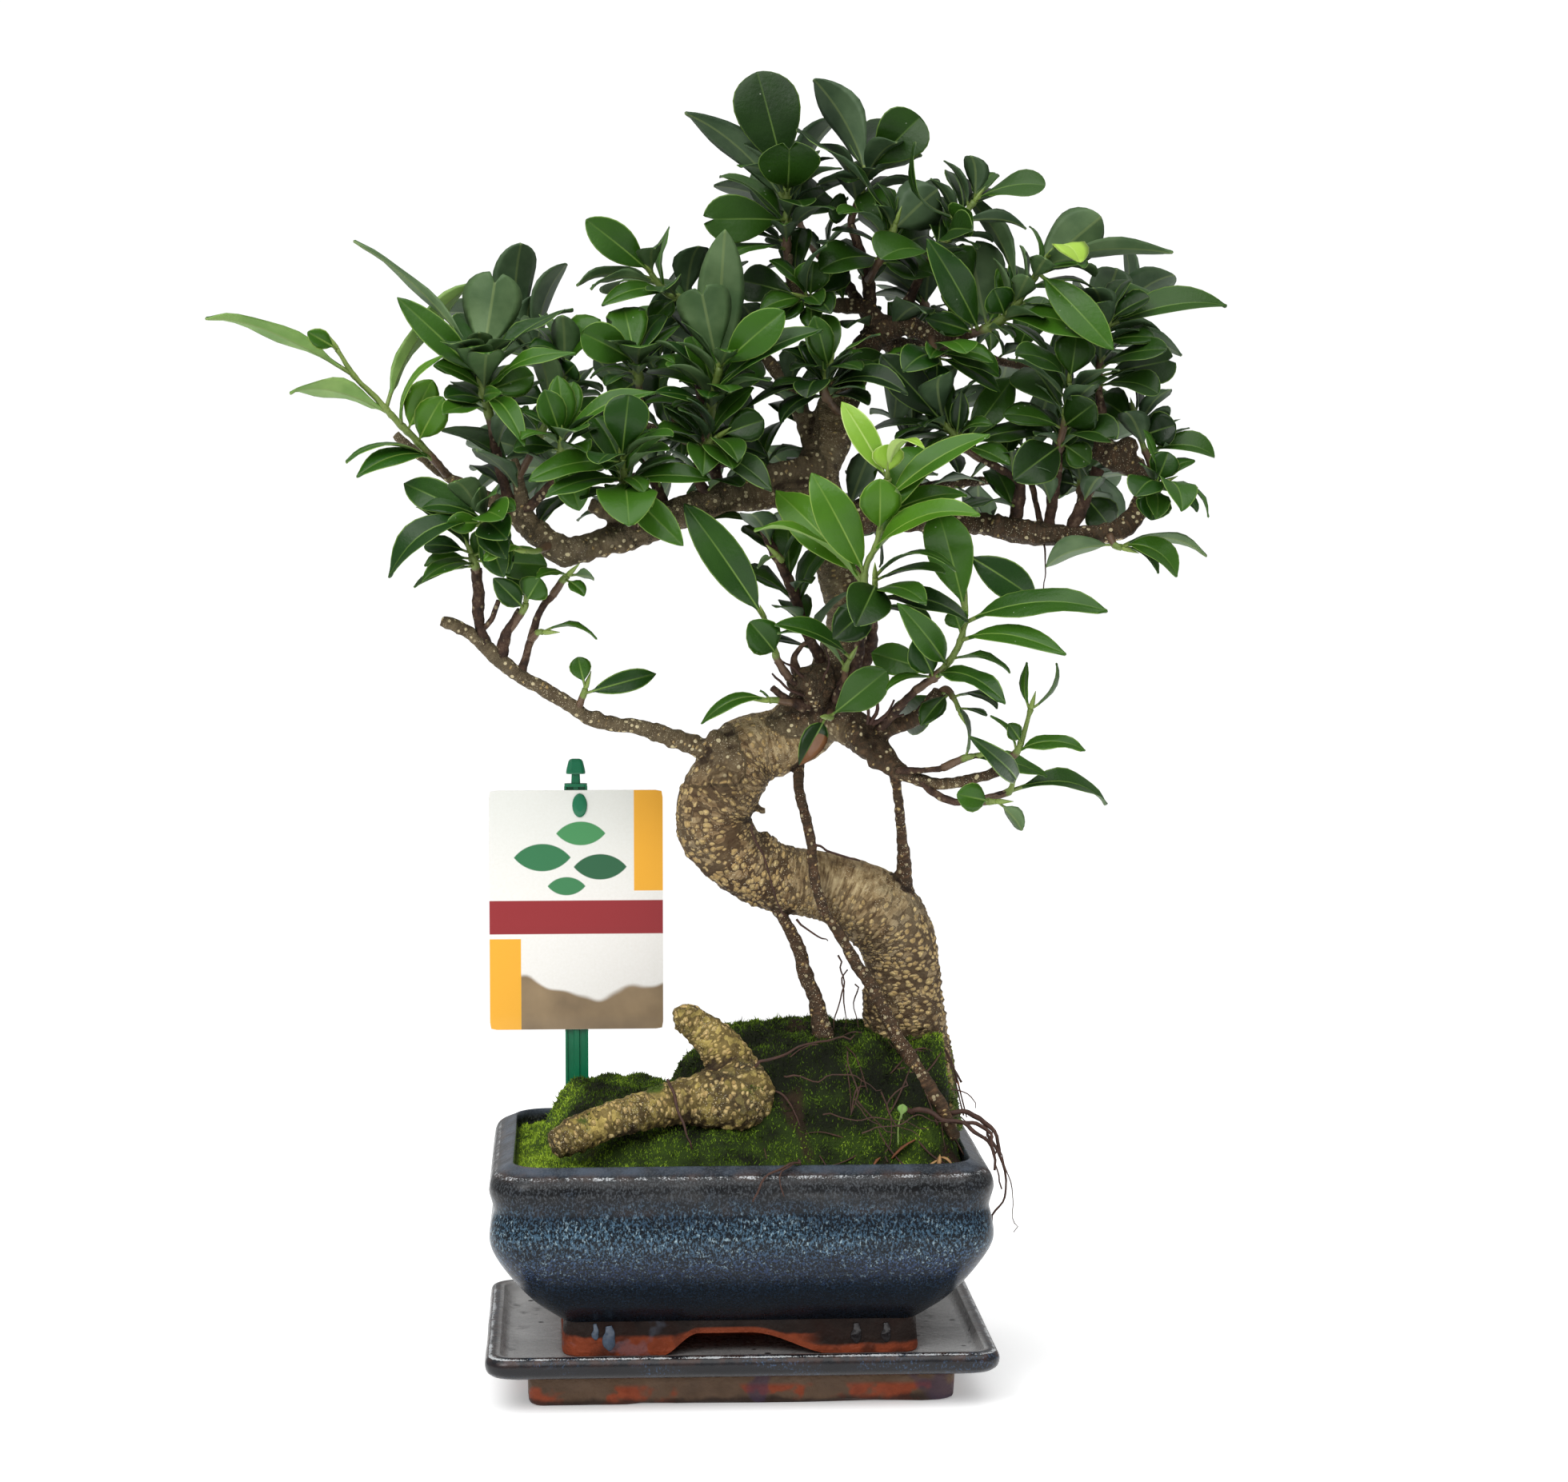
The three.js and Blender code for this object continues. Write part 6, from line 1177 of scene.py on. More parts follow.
def glaze_skin(name, saucer=False):
    """Dark iron glaze with blue and pale runs where it is thickest, brown where it breaks on an edge."""
    s = Shader(name, 0.22)
    runs = s.stretched(1, 1, 0.62)
    fleck = s.noise(1300, 3, 0.7, runs)
    cloud = s.noise(60, 4, 0.6, s.stretched(0.6, 0.6, 2.2))
    if saucer:
        base = s.mix(cloud, srgb(8, 9, 12), srgb(32, 32, 36))
        floor = s.mix(s.noise(60, 3), srgb(144, 144, 144), srgb(188, 187, 185))
        inside = s.mark("inside")
        base = s.mix(inside, base, floor)
        blue = s.times(s.step(fleck, 0.54, 0.64), s.step(cloud, 0.46, 0.6))
        blue = s.times(blue, s.math("SUBTRACT", 1.0, inside))
        colour = s.mix(s.times(blue, 0.5), base, srgb(66, 92, 124))
        pits = s.times(s.fall(s.cells(90), 0.1, 0.16), s.step(s.noise(30, 2), 0.5, 0.6))
        smudge = s.step(s.noise(42, 5, 0.7), 0.58, 0.7, 0.0, 0.7)
        colour = s.mix(s.math("MAXIMUM", pits, s.times(smudge, inside)), colour, srgb(24, 22, 24))
        broken = s.times(s.mark("edge"), s.step(s.noise(180, 4), 0.42, 0.62))
        colour = s.mix(s.times(broken, 0.4), colour, srgb(84, 54, 40))
        highlight_colour = srgb(206, 210, 212)
    else:
        _, _, z = s.millimetres()
        ragged = s.times_plus(s.noise(170, 4, 0.7, runs), 18.0, s.math("ADD", z, -9.0))
        base = s.mix(cloud, srgb(5, 8, 13), srgb(18, 26, 34))
        high = s.step(ragged, 79.0, 90.0)
        base = s.mix(high, base, s.ramp(cloud, [
            (0.4, srgb(10, 11, 13)), (0.55, srgb(24, 25, 27)), (0.7, srgb(46, 46, 46))]))
        band = s.times(s.step(ragged, 47.0, 68.0), s.fall(ragged, 73.0, 87.0))
        band = s.times(band, s.step(cloud, 0.3, 0.64, 0.35, 1.0))
        faint = s.times(s.step(fleck, 0.48, 0.6), s.step(ragged, 34.0, 64.0, 0.16, 0.6))
        colour = s.mix(faint, base, s.mix(high, srgb(38, 60, 84), srgb(76, 80, 84)))
        bright = s.times(s.step(fleck, 0.46, 0.6), band)
        tint = s.mix(s.step(ragged, 52.0, 70.0), srgb(48, 62, 118), srgb(78, 108, 128))
        tint = s.mix(s.step(s.noise(700, 3, 0.6, runs), 0.52, 0.66), tint, srgb(168, 194, 204))
        colour = s.mix(s.times(bright, 0.74), colour, tint)
        broken = s.times(s.mark("edge"), s.step(s.noise(120, 4), 0.42, 0.66))
        colour = s.mix(s.times(broken, 0.45), colour, srgb(86, 64, 52))
        top = s.times(s.step(z, 94.5, 96.5), s.step(s.noise(90, 4), 0.3, 0.7, 0.2, 0.75))
        colour = s.mix(top, colour, srgb(78, 88, 102))
        highlight_colour = srgb(206, 210, 214)
    # Painted highlight: a broken line of pale glints along the pot rim's ridge and the saucer lip's top
    # edge, painted into the colour
    highlight_breakup = s.times_plus(s.noise(150, 3), 0.9, s.times(s.noise(1500, 2), 0.9))
    spark = s.step(s.times(s.mark("spark"), highlight_breakup), 0.62, 0.84, 0.0, 0.75)
    colour = s.mix(spark, colour, highlight_colour)
    relief = s.times_plus(s.noise(35, 3), 2.0, s.times(s.noise(420, 3), 0.35))
    gloss = s.times_plus(s.noise(300, 3), 0.24, 0.16)
    return s.done(colour, relief, 0.0008, 0.55, gloss, Specular_IOR_Level=0.33 if saucer else 0.22)


def clay_skin(name, saucer=False):
    """Bare orange clay with dark glaze over parts of it."""
    s = Shader(name, 0.6)
    clay = s.mix(s.noise(140, 4, 0.6), srgb(104, 44, 24), srgb(168, 82, 50))
    dark = s.mix(s.noise(200, 4), srgb(22, 17, 16), srgb(56, 42, 36))
    x, _, z = s.millimetres()
    patch = s.noise(26, 4, 0.65)
    if saucer:
        brown = s.mix(s.noise(90, 4), srgb(70, 54, 42), srgb(116, 92, 72))
        orange = s.times(s.step(patch, 0.48, 0.53), s.fall(z, 6.5, 9.0))
        colour = s.mix(orange, brown, clay)
        rim = s.fall(s.times_plus(s.noise(110, 4), 6.0, z), 4.2, 6.8)
        colour = s.mix(s.times(rim, 0.85), colour, dark)
        plum = s.times(s.step(s.noise(34, 3), 0.58, 0.64), 0.6)
        colour = s.mix(plum, colour, srgb(66, 52, 76))
        under_lip = s.step(s.times_plus(patch, 4.0, z), 13.0, 15.5, 0.0, 0.8)
        colour = s.mix(under_lip, colour, srgb(48, 38, 34))
    else:
        top = s.step(s.times_plus(patch, 12.0, z), 31.6, 33.4)
        right = s.step(s.times_plus(s.noise(60, 3), 5.0, z), 23.0, 24.5)
        right = s.times(s.step(x, 20.0, 34.0), right)
        rise = s.times(s.step(x, *ARCH_LEFT), s.fall(x, *ARCH_RIGHT))
        over = s.times_plus(rise, -ARCH_RISE, z)
        bared = s.step(over, SAUCER_FLOOR + 1.4, SAUCER_FLOOR + 2.4)
        colour = s.mix(s.times(s.math("MAXIMUM", top, right), bared), clay, dark)
        stain = s.times(s.step(s.noise(90, 5), 0.5, 0.68), 0.7)
        colour = s.mix(stain, colour, srgb(44, 26, 20))
        bloom = s.step(s.noise(70, 3), 0.64, 0.7, 0.0, 0.3)
        colour = s.mix(bloom, colour, srgb(96, 106, 122))
    relief = s.times_plus(patch, 1.0, s.noise(500, 4))
    gloss = s.step(s.noise(80, 3), 0.35, 0.65, 0.4, 0.75)
    return s.done(colour, relief, 0.0009, 0.7, gloss, Specular_IOR_Level=0.2)


def plain_skin(name, dark, light, roughness, scale=200, relief=0.0003, **sockets):
    s = Shader(name, roughness)
    fine = s.noise(scale, 4)
    return s.done(s.mix(fine, dark, light), fine, relief, 0.5, **sockets)


def card_skin():
    """A printed card with plain blocks of colour and simple leaf shapes."""
    s = Shader("card_print", 0.35)
    x, _, z = s.millimetres()
    x = s.math("SUBTRACT", x, STAKE_X)
    z = s.math("SUBTRACT", z, CARD_BOTTOM)

    def between(value, low, high, soft=0.15):
        rising = s.step(value, low - soft, low + soft)
        return s.times(rising, s.fall(value, high - soft, high + soft))

    def block(x0, x1, z0, z1):
        return s.times(between(x, x0, x1), between(z, z0, z1))

    def disc(cx, cz, radius, soft=0.25):
        dx = s.math("SUBTRACT", x, cx)
        dz = s.math("SUBTRACT", z, cz)
        away = s.math("SQRT", s.times_plus(dx, dx, s.times(dz, dz)))
        return s.fall(away, radius - soft, radius + soft)

    paper = s.mix(s.noise(900, 2), srgb(240, 237, 230), srgb(250, 248, 244))
    colour = s.mix(s.step(z, 46.0, 96.0, 0.0, 0.35), paper, srgb(214, 222, 214))
    hills = s.times_plus(s.noise(28, 2), 26.0, 6.0)
    low = s.times(s.step(s.math("SUBTRACT", hills, z), -1.0, 1.0), block(-36, 36, 0, 38))
    colour = s.mix(low, colour, s.mix(s.noise(60, 3), srgb(96, 78, 56), srgb(176, 150, 112)))
    for cx, cz, size, green in CARD_LEAVES:
        shift = size * 0.62
        shape = s.times(disc(cx, cz + shift, size), disc(cx, cz - shift, size))
        colour = s.mix(shape, colour, srgb(*green))
    for *sides, tint in CARD_BLOCKS:
        colour = s.mix(block(*sides), colour, srgb(*tint))
    return s.done(colour, s.noise(1200, 2), 0.00005, 0.3, Coat_Weight=0.3)


def leaf_materials():
    """The skins of stems and buds, and of both sides of the leaves in each tone."""
    made = {
        "stem": stem_skin(),
        "bud": plain_skin("bud_scale", srgb(104, 130, 56), srgb(150, 170, 84), 0.4),
    }
    for tone, colours in LEAF_TONES.items():
        dark, light, rib, under_dark, under_light = [srgb(*colour) for colour in colours]
        made[tone + "_top"] = leaf_top("leaf_" + tone + "_top", dark, light, rib)
        made[tone + "_under"] = leaf_under("leaf_" + tone + "_under", under_dark, under_light)
    return made


def outline(half_x, half_y, corner, level, turns=10, straights=8):
    """A rounded rectangle, with more points along its straight sides too."""
    points = []
    for quarter in range(4):
        cx = (1 if quarter in (0, 3) else -1) * (half_x - corner)
        cy = (1 if quarter < 2 else -1) * (half_y - corner)
        for step in range(turns + 1):
            angle = (quarter + step / turns) * math.pi / 2
            points.append([cx + corner * math.cos(angle), cy + corner * math.sin(angle), level])
        ahead = (quarter + 1) % 4
        nx = (1 if ahead in (0, 3) else -1) * (half_x - corner) + corner * math.cos(ahead * math.pi / 2)
        ny = (1 if ahead < 2 else -1) * (half_y - corner) + corner * math.sin(ahead * math.pi / 2)
        start = points[-1]
        for step in range(1, straights):
            t = step / straights
            points.append([start[0] * (1 - t) + nx * t, start[1] * (1 - t) + ny * t, level])
    return points


def smooth_profile(profile, step):
    rows = [[inset, 0, level, 1] for level, inset in profile]
    path = smooth_path(rows, step)
    return [[level, inset] for inset, _, level, _ in path]


def vessel_ring(half_x, half_y, corner, level, inset, *counts):
    """A vessel's outline where it is set in from its widest, which tightens its corners."""
    return outline(half_x - inset, half_y - inset, max(corner - inset * 0.35, 5), level, *counts)


def waver(point, size, amount, shrink):
    """Moves a point a little in or out, because the clay is not quite even."""
    sway = noise.noise((point[0] * size, point[1] * size, point[2] * 0.1))
    point[:2] *= 1 + amount * sway - shrink


def shell(name, outside, inside, half_x, half_y, corner, material, marks):
    """A cast vessel: its outside from the bottom up, over the rim and down its inside, hand-made uneven."""
    rings, shown = [], []
    levels = [(*row, 0) for row in outside] + [(*row, 1) for row in inside]
    for level, inset, inner in levels:
        ring = vessel_ring(half_x, half_y, corner, level, inset)
        rings += ring
        shown += [(inner, *marks(level, inner))] * len(ring)
    points = np.array(rings)
    for point in points:
        sway = noise.noise((point[0] * 0.02, point[1] * 0.02, point[2] * 0.05))
        point[:2] *= 1 - 0.0035 * abs(sway)
    within, edge, spark = np.transpose(shown)
    build = Build("inside", "edge", "spark")
    build.add_rings(points, len(levels), inside=within, edge=edge, spark=spark)
    return build.finish(name, [material])


def pot_marks(level, inner):
    """How worn the glaze is at a level of the pot, and how much painted highlight it carries on the rim's
    ridge.
    """
    worn = 0.3 * ridge_at(level, 97, 3) if inner else ridge_at(level, 95.2, 2.4)
    return max(worn, 0.3 * ridge_at(level, 81, 3)), 0 if inner else ridge_at(level, 94.4, 1.6)


def saucer_marks(level, inner):
    """The same for the saucer, whose painted highlight runs along its lip's top edge."""
    if inner:
        return 0.9 * ridge_at(level, 22.6, 1.4), 0
    return ridge_at(level, 22, 2.6), ridge_at(level, 22.6, 0.8)


def arch_top(xs):
    """The low smooth arch in the foot: steeper on the left, running out gently to the right."""
    rise = smooth_step(*ARCH_LEFT, xs) * (1 - smooth_step(*ARCH_RIGHT, xs))
    return SAUCER_FLOOR + ARCH_RISE * rise - 0.3


def pot_pieces():
    body = shell("pot_body", smooth_profile(POT_OUTSIDE, 1.2), smooth_profile(POT_INSIDE[::-1], 1.6),
                 POT_HALF_WIDTH, POT_HALF_DEPTH, POT_CORNER, glaze_skin("pot_glaze"), pot_marks)
    settle(body, ["pot"])
    foot_piece()
    drip_piece()


def foot_piece():
    """The pot's bare foot, with the arch cut through its front and its back."""
    rings = []
    for level, inset in FOOT_LEVELS:
        rings += outline(FOOT_HALF_WIDTH - inset, FOOT_HALF_DEPTH - inset, FOOT_CORNER - inset, level)
    points = np.array(rings)
    for point in points:
        waver(point, 0.06, 0.006, 0.004)
    build = Build()
    build.add_rings(points, len(FOOT_LEVELS))
    foot = build.finish("pot_foot", [clay_skin("foot_clay")])
    xs = np.linspace(-ARCH_REACH, ARCH_REACH, 57)
    under = SAUCER_FLOOR - 5
    section = [*zip(xs, arch_top(xs)), (ARCH_REACH, under), (-ARCH_REACH, under)]
    for side in (-1, 1):
        cutter_build = Build()
        walls = sorted([side * (FOOT_HALF_DEPTH + 6), side * (FOOT_HALF_DEPTH - 34)])
        cutter_build.add_rings([[x, y, z] for y in walls for x, z in section], 2)
        cutter = cutter_build.finish("arch_cutter", [])
        foot.data = reshaped(foot, "BOOLEAN", operation="DIFFERENCE", object=cutter, solver="EXACT")
        bpy.data.objects.remove(cutter)
    foot.data.name = "pot_foot"
    foot.data.polygons.foreach_set("use_smooth", [False] * len(foot.data.polygons))
    settle(foot, ["pot"])


def drip_piece():
    """Drops of glaze that ran down on the foot's front."""
    drips = Build()
    y = -FOOT_HALF_DEPTH + 0.5
    for slot, x, high, low, radius in DRIPS:
        rows = [[x, y, high + 3, radius * 0.5], [x + 0.5, y, high, radius * 0.8],
                [x, y, (high + low) / 2, radius], [x + 0.3, y, low, radius * 0.9],
                [x + 0.4, y, low - radius * 0.8, radius * 0.3]]
        part = Build()
        add_tube(part, smooth_path(rows, 0.6), 14)
        flat = np.concatenate(part.points)
        flat[:, 1] = y + (flat[:, 1] - y) * 0.3
        drips.add(flat, part.faces, slot)
    runs = drips.finish("glaze_drips", [
        plain_skin("drip_blue", srgb(40, 52, 70), srgb(110, 126, 146), 0.15, 420, 0.0002),
        plain_skin("drip_dark", srgb(18, 16, 18), srgb(52, 48, 50), 0.12, 420, 0.0002)])
    settle(runs, ["pot"])


def saucer_pieces():
    outside = [DISH_START, *smooth_profile(SAUCER_OUTSIDE, 0.8)]
    dish = shell("saucer_dish", outside, smooth_profile(SAUCER_INSIDE, 0.8), SAUCER_HALF_WIDTH,
                 SAUCER_HALF_DEPTH, SAUCER_CORNER, glaze_skin("saucer_glaze", True), saucer_marks)
    settle(dish, ["saucer"])
    rings = []
    for level, inset in BAND_LEVELS:
        rings += vessel_ring(SAUCER_HALF_WIDTH, SAUCER_HALF_DEPTH, SAUCER_CORNER, level, inset, 8, 24)
    points = np.array(rings)
    for point in points:
        lift = max(0, noise.noise((point[0] * 0.05, point[1] * 0.05, 3))) * 2.2
        if point[2] < 3:
            point[2] += lift * (1 if point[2] > 0.3 else 0.9)
        waver(point, 0.09, 0.004, 0.003)
    build = Build()
    build.add_rings(points, len(BAND_LEVELS))
    band = build.finish("saucer_foot", [clay_skin("saucer_clay", True)])
    settle(band, ["saucer"])


def soil_height(x, y, edge):
    """Height of the moss over the pot, as in the CAD source."""
    mound = np.zeros_like(x)
    for mx, my, sx, sy, height in MOUNDS:
        spread = ((x - mx) / sx) ** 2 + ((y - my) / sy) ** 2
        mound = np.maximum(mound, height * np.exp(-0.9 * spread ** 3))
    ripple = 1.6 * np.sin(x * 0.21) * np.cos(y * 0.17)
    return SOIL_RIM_LEVEL + (mound + ripple) * np.minimum(1, edge * SOIL_EDGE_RISE)


def ground_at(x, y):
    """Height of the soil at one place that is clear of the pot's wall."""
    return float(soil_height(np.array([float(x)]), np.array([float(y)]), 0.5)[0])


def moss_bump(x, y):
    """Cushions of moss, each a few millimetres wide."""
    bumps = []
    for a, b in zip(x, y):
        gap = noise.voronoi((a / 7.5, b / 7.5, 0))[0][0]
        fine = noise.noise((a / 2.2, b / 2.2, 5))
        broad = noise.noise((a / 15, b / 15, 2))
        bumps.append(1.9 * (1 - min(gap * 1.3, 1) ** 2) + 0.6 * fine + 2.0 * broad)
    return np.array(bumps)


def moss_height(x, y, edge):
    """Height of the moss with its cushions, which run out at the pot's wall."""
    return soil_height(x, y, edge) + moss_bump(x, y) * np.minimum(1, edge * 25)


def gloom_at(x, y, z):
    """How dark the moss is: bright along the front and left, darker on the mound's slope."""
    slope = smooth_step(100, 120, z) * smooth_step(34, -6, y)
    right = smooth_step(62, 74, x) * smooth_step(110, 122, z) * smooth_step(-36, -16, y)
    bright = smooth_step(-58, -82, x) + right
    return np.clip(0.12 + slope * 0.6 + 0.9 * noise_over(12, x, y, z) - 1.2 * bright, -0.9, 1.25)


def bare_patch(x, y):
    """Where the soil and roots show: right of the trunk's foot, and in spots."""
    right = smooth_step(0, 1, 1.5 - np.hypot((x - 88) / 17, (y + 58) / 15))
    spots = noise_over(17, x, y, layer=9)
    return np.clip(right * 0.75 + smooth_step(0.25, 0.6, spots) * 0.5 + 0.25 * spots, 0, 1)


def moss_bed():
    """The bed as one closed form that fills the pot. Gives back its ring along the wall."""
    rings = []
    for index, (level, inset) in enumerate(POT_INSIDE):
        level = level + GAP if index == 0 else min(level, SOIL_RIM_LEVEL)
        rings.append(np.array(vessel_ring(POT_HALF_WIDTH - GAP, POT_HALF_DEPTH - GAP, POT_CORNER, level,
                                          inset, 12, 34)))
    wall = rings[-1]
    for share in 1 - (np.arange(1, BED_RINGS) / BED_RINGS) ** 1.15:
        x, y = wall[:, 0] * share, wall[:, 1] * share
        rings.append(np.stack([x, y, moss_height(x, y, 1 - share)], 1))
    points = np.concatenate(rings)
    x, y, z = points.T
    build = Build("tuft", "bare", "gloom")
    build.add_rings(points, len(rings), tuft=(noise_over(3, x, y, layer=1) * 0.5 + 0.5) * 0.6,
                    bare=bare_patch(x, y), gloom=gloom_at(x, y, z) + 0.15)
    bed = build.finish("moss_bed", [moss_skin(
        "moss_ground", srgb(20, 26, 8), srgb(44, 62, 14), srgb(84, 108, 24), 0.0012)])
    settle(bed, ["soil"])
    return wall


def moss_shoots(wall):
    """Thousands of small tufts on the bed, and longer fronds in clumps on the mound."""
    draw = np.random.default_rng(MOSS_SEED)
    share = np.sqrt(draw.random(MOSS_FEET)) * MOSS_REACH
    pick = draw.integers(0, len(wall), MOSS_FEET)
    after = wall[(pick + 1) % len(wall)]
    along = draw.random(MOSS_FEET)[:, None]
    edge_points = wall[pick] * (1 - along) + after * along
    x, y = edge_points[:, 0] * share, edge_points[:, 1] * share
    high = moss_height(x, y, 1 - share)
    feet = np.stack([x, y, high - MOSS_ROOTED], 1)
    keep = draw.random(MOSS_FEET) > bare_patch(x, y) * 0.9
    tufts(feet[keep], np.array([0, 0, 1.0]), draw, "moss_tufts", 0.7, 1.9)
    clumps = noise_over(5, x, y, layer=4)
    ridge = (clumps > 0.1) & (high > FROND_LEVEL) & (draw.random(MOSS_FEET) < 0.4)
    feet = feet[ridge]
    x, y, _ = feet.T
    leans = np.stack([noise_over(7, x, y, layer=21), noise_over(7, x, y, layer=33), 0 * x], 1)
    tufts(feet, leans * 2.2 + [0, 0, 0.3], draw, "moss_fronds", 1.2, 4.2, 0.3)


def bark_moss_piece(points, normals, mossy):
    """Tufts on the mossy bark at the trunk's foot."""
    draw = np.random.default_rng(BARK_MOSS_SEED)
    green = np.flatnonzero((mossy > 0.42) & (points[:, 2] > 92) & (draw.random(len(mossy)) < 0.35))
    tufts(points[green] - normals[green] * 0.3, normals[green] + [0, 0, 0.3], draw, "bark_moss", 0.7, 1.9)


def tufts(feet, up, draw, name, shortest, longest, extra_gloom=0.0):
    """Small pointed shoots of moss, each closed, leaning at random from the direction given."""
    count = len(feet)
    lean = draw.normal(0, 0.45, (count, 3))
    way = up + lean
    way /= np.linalg.norm(way, axis=1)[:, None]
    length = shortest + (longest - shortest) * draw.random(count) ** 1.6
    side = np.cross(way, draw.normal(0, 1, (count, 3)))
    side /= np.linalg.norm(side, axis=1)[:, None]
    across = np.cross(way, side)
    radius = 0.22 + 0.28 * draw.random(count)
    corners = [feet + (side * math.cos(a) + across * math.sin(a)) * radius[:, None]
               for a in (0, 2 * math.pi / 3, 4 * math.pi / 3)]
    points = np.stack([*corners, feet + way * length[:, None]], 1).reshape(-1, 3)
    first = np.arange(count) * 4
    faces = np.stack([np.stack([first + a, first + b, first + c], 1)
                      for a, b, c in ((0, 2, 1), (0, 1, 3), (1, 2, 3), (2, 0, 3))], 1).reshape(-1, 3)
    shade = np.repeat(draw.random(count), 4) * np.tile([0.5, 0.5, 0.5, 1.0], count)
    gloom = np.repeat(gloom_at(*feet.T) + extra_gloom, 4)
    build = Build("tuft", "bare", "gloom")
    build.add(points, faces.tolist(), tuft=shade, gloom=gloom)
    piece = build.finish(name, [moss_skin(
        "moss_" + name, srgb(34, 46, 10), srgb(84, 112, 24), srgb(156, 184, 54), 0.0004)], smooth=False)
    return settle(piece)


def wood_kind(name):
    if name.startswith("prop"):
        return AERIAL_ROOT
    return MOSS_ROOT if name in ("root_arm", "root_hook") else LIMB


def limb_path(limb, step, slim=1.0):
    """The smooth path of a limb in the scene's own frame."""
    return smooth_path([[*from_view(row), row[3] * slim] for row in limb], step)


def skeleton_samples(kind):
    """Samples along the limbs of one kind with their local frames, to tell each bark point where it is."""
    rows = []
    for number, (name, limb) in enumerate(SKELETON):
        if wood_kind(name) != kind:
            continue
        path = limb_path(limb, 1.5)
        ways, side, across = path_frames(path[:, :3])
        place = distance_along(path[:, :3]) + number * 400
        for i in range(len(path)):
            rows.append([*path[i], *ways[i], *side[i], *across[i], place[i]])
    return np.array(rows)


def bark_places(points):
    """For each point of the bark: its place along and around the limb, and its gap to each kind of wood."""
    place = np.zeros((len(points), 3))
    radius = np.zeros(len(points))
    best = np.full(len(points), 1e9)
    gaps = np.full((3, len(points)), 1e9)
    for kind in (LIMB, MOSS_ROOT, AERIAL_ROOT):
        samples = skeleton_samples(kind)
        tree = KDTree(len(samples))
        for i, row in enumerate(samples):
            tree.insert(row[:3], i)
        tree.balance()
        low, high = samples[:, :3].min(0) - KIND_REACH, samples[:, :3].max(0) + KIND_REACH
        for n in np.flatnonzero(((points > low) & (points < high)).all(1)):
            _, i, distance = min(tree.find_n(points[n], 4), key=lambda hit: hit[2] - samples[hit[1], 3])
            gap = distance - samples[i, 3]
            gaps[kind, n] = gap
            if gap < best[n] - (0 if kind == LIMB else 1.2):
                best[n] = gap
                radius[n] = samples[i, 3]
                away = points[n] - samples[i, :3]
                place[n] = [samples[i, 13] + away @ samples[i, 4:7], away @ samples[i, 7:10],
                            away @ samples[i, 10:13]]
    return place, radius, gaps


def neighbour_means(mesh):
    """A function that gives the mean of each point's neighbours."""
    edges = np.zeros(len(mesh.edges) * 2, int)
    mesh.edges.foreach_get("vertices", edges)
    count = len(mesh.vertices)
    degree = np.maximum(np.bincount(edges, minlength=count), 1)[:, None]
    a, b = edges.reshape(-1, 2).T

    def mean(values):
        total = np.zeros_like(values)
        for axis in range(values.shape[1]):
            total[:, axis] = (np.bincount(a, values[b, axis], count)
                              + np.bincount(b, values[a, axis], count))
        return total / degree

    return mean


def seen_at(points):
    """Where points appear on the plane through the trunk."""
    k = EYE[1] / (EYE[1] - points[:, 1])
    return EYE[0] + (points[:, 0] - EYE[0]) * k, EYE[2] + (points[:, 2] - EYE[2]) * k


def is_heavy(limb):
    return max(row[3] for row in limb) >= HEAVY_RADIUS


def wood_mesh():
    """The thick limbs and the knobs, joined into one closed skin of even cells."""
    build = Build()
    for name, limb in SKELETON:
        if is_heavy(limb):
            slim = PROP_SLIM if wood_kind(name) == AERIAL_ROOT else 1
            add_tube(build, limb_path(limb, 2, slim), 24)
    for x, z, depth, radius in KNOBS:
        centre = from_view([x, z, depth])
        rows = [[*(centre + [0, 0, radius * t]), radius * math.sqrt(max(0.02, 1 - t * t))]
                for t in np.linspace(-0.99, 0.99, 9)]
        add_tube(build, np.array(rows), 16)
    source = build.finish("wood_source", [])
    mesh = reshaped(source, "REMESH", mode="VOXEL", voxel_size=VOXEL * MM)
    bpy.data.objects.remove(source)
    return mesh


def bark_zones(points, normals, radius, gaps):
    """Where each kind of bark lies, from 0 to 1, and the distance from the middle of the scar."""
    seen_x, seen_z = seen_at(points)
    high = points[:, 2]
    to_limb, to_moss_root, to_aerial = gaps
    root_dark = smooth_step(-1.3, 0.1, to_limb - to_aerial) * smooth_step(3, 1.6, to_aerial)
    root_tan = smooth_step(0.5, 2.2, to_limb) * smooth_step(18, 14, to_moss_root) * (1 - root_dark)
    low = smooth_step(225, 165, high) * (1 - root_dark)
    bend = smooth_step(46, 30, np.hypot(seen_x - BEND[0], (seen_z - BEND[1]) * 0.9))
    smooth_top = smooth_step(30, 12, np.hypot(seen_x - SMOOTH_TOP[0], seen_z - SMOOTH_TOP[1]))
    smooth_top *= smooth_step(0.1, 0.6, normals[:, 2])
    knotty = smooth_step(40, 48, seen_x) * smooth_step(236, 246, seen_z)
    whorl = smooth_step(263, 271, seen_z) * smooth_step(298, 288, seen_z) * smooth_step(14, 24, seen_x)
    knotty = np.maximum(knotty, whorl)
    slender = smooth_step(9.5, 6.5, radius) * smooth_step(238, 258, high)
    upper = np.maximum.reduce([0.8 * smooth_step(300, 345, high), knotty, slender]) * (1 - root_dark)
    dense = np.clip(0.34 + 0.55 * low + 0.45 * bend - 0.7 * smooth_top, 0.08, 0.95)
    dense = np.where(root_dark > 0.5, 0.2, np.where(root_tan > 0.5, 0.72, dense * (1 - 0.5 * upper)))
    scar = np.hypot((seen_x - SCAR[0]) / 1.3, seen_z - SCAR[1]) + 1.9 * noise_over(4.5, seen_x, seen_z)
    scar = np.where(normals[:, 1] < 0.2, scar, 60)
    return root_dark, root_tan, low, knotty, upper, dense, scar


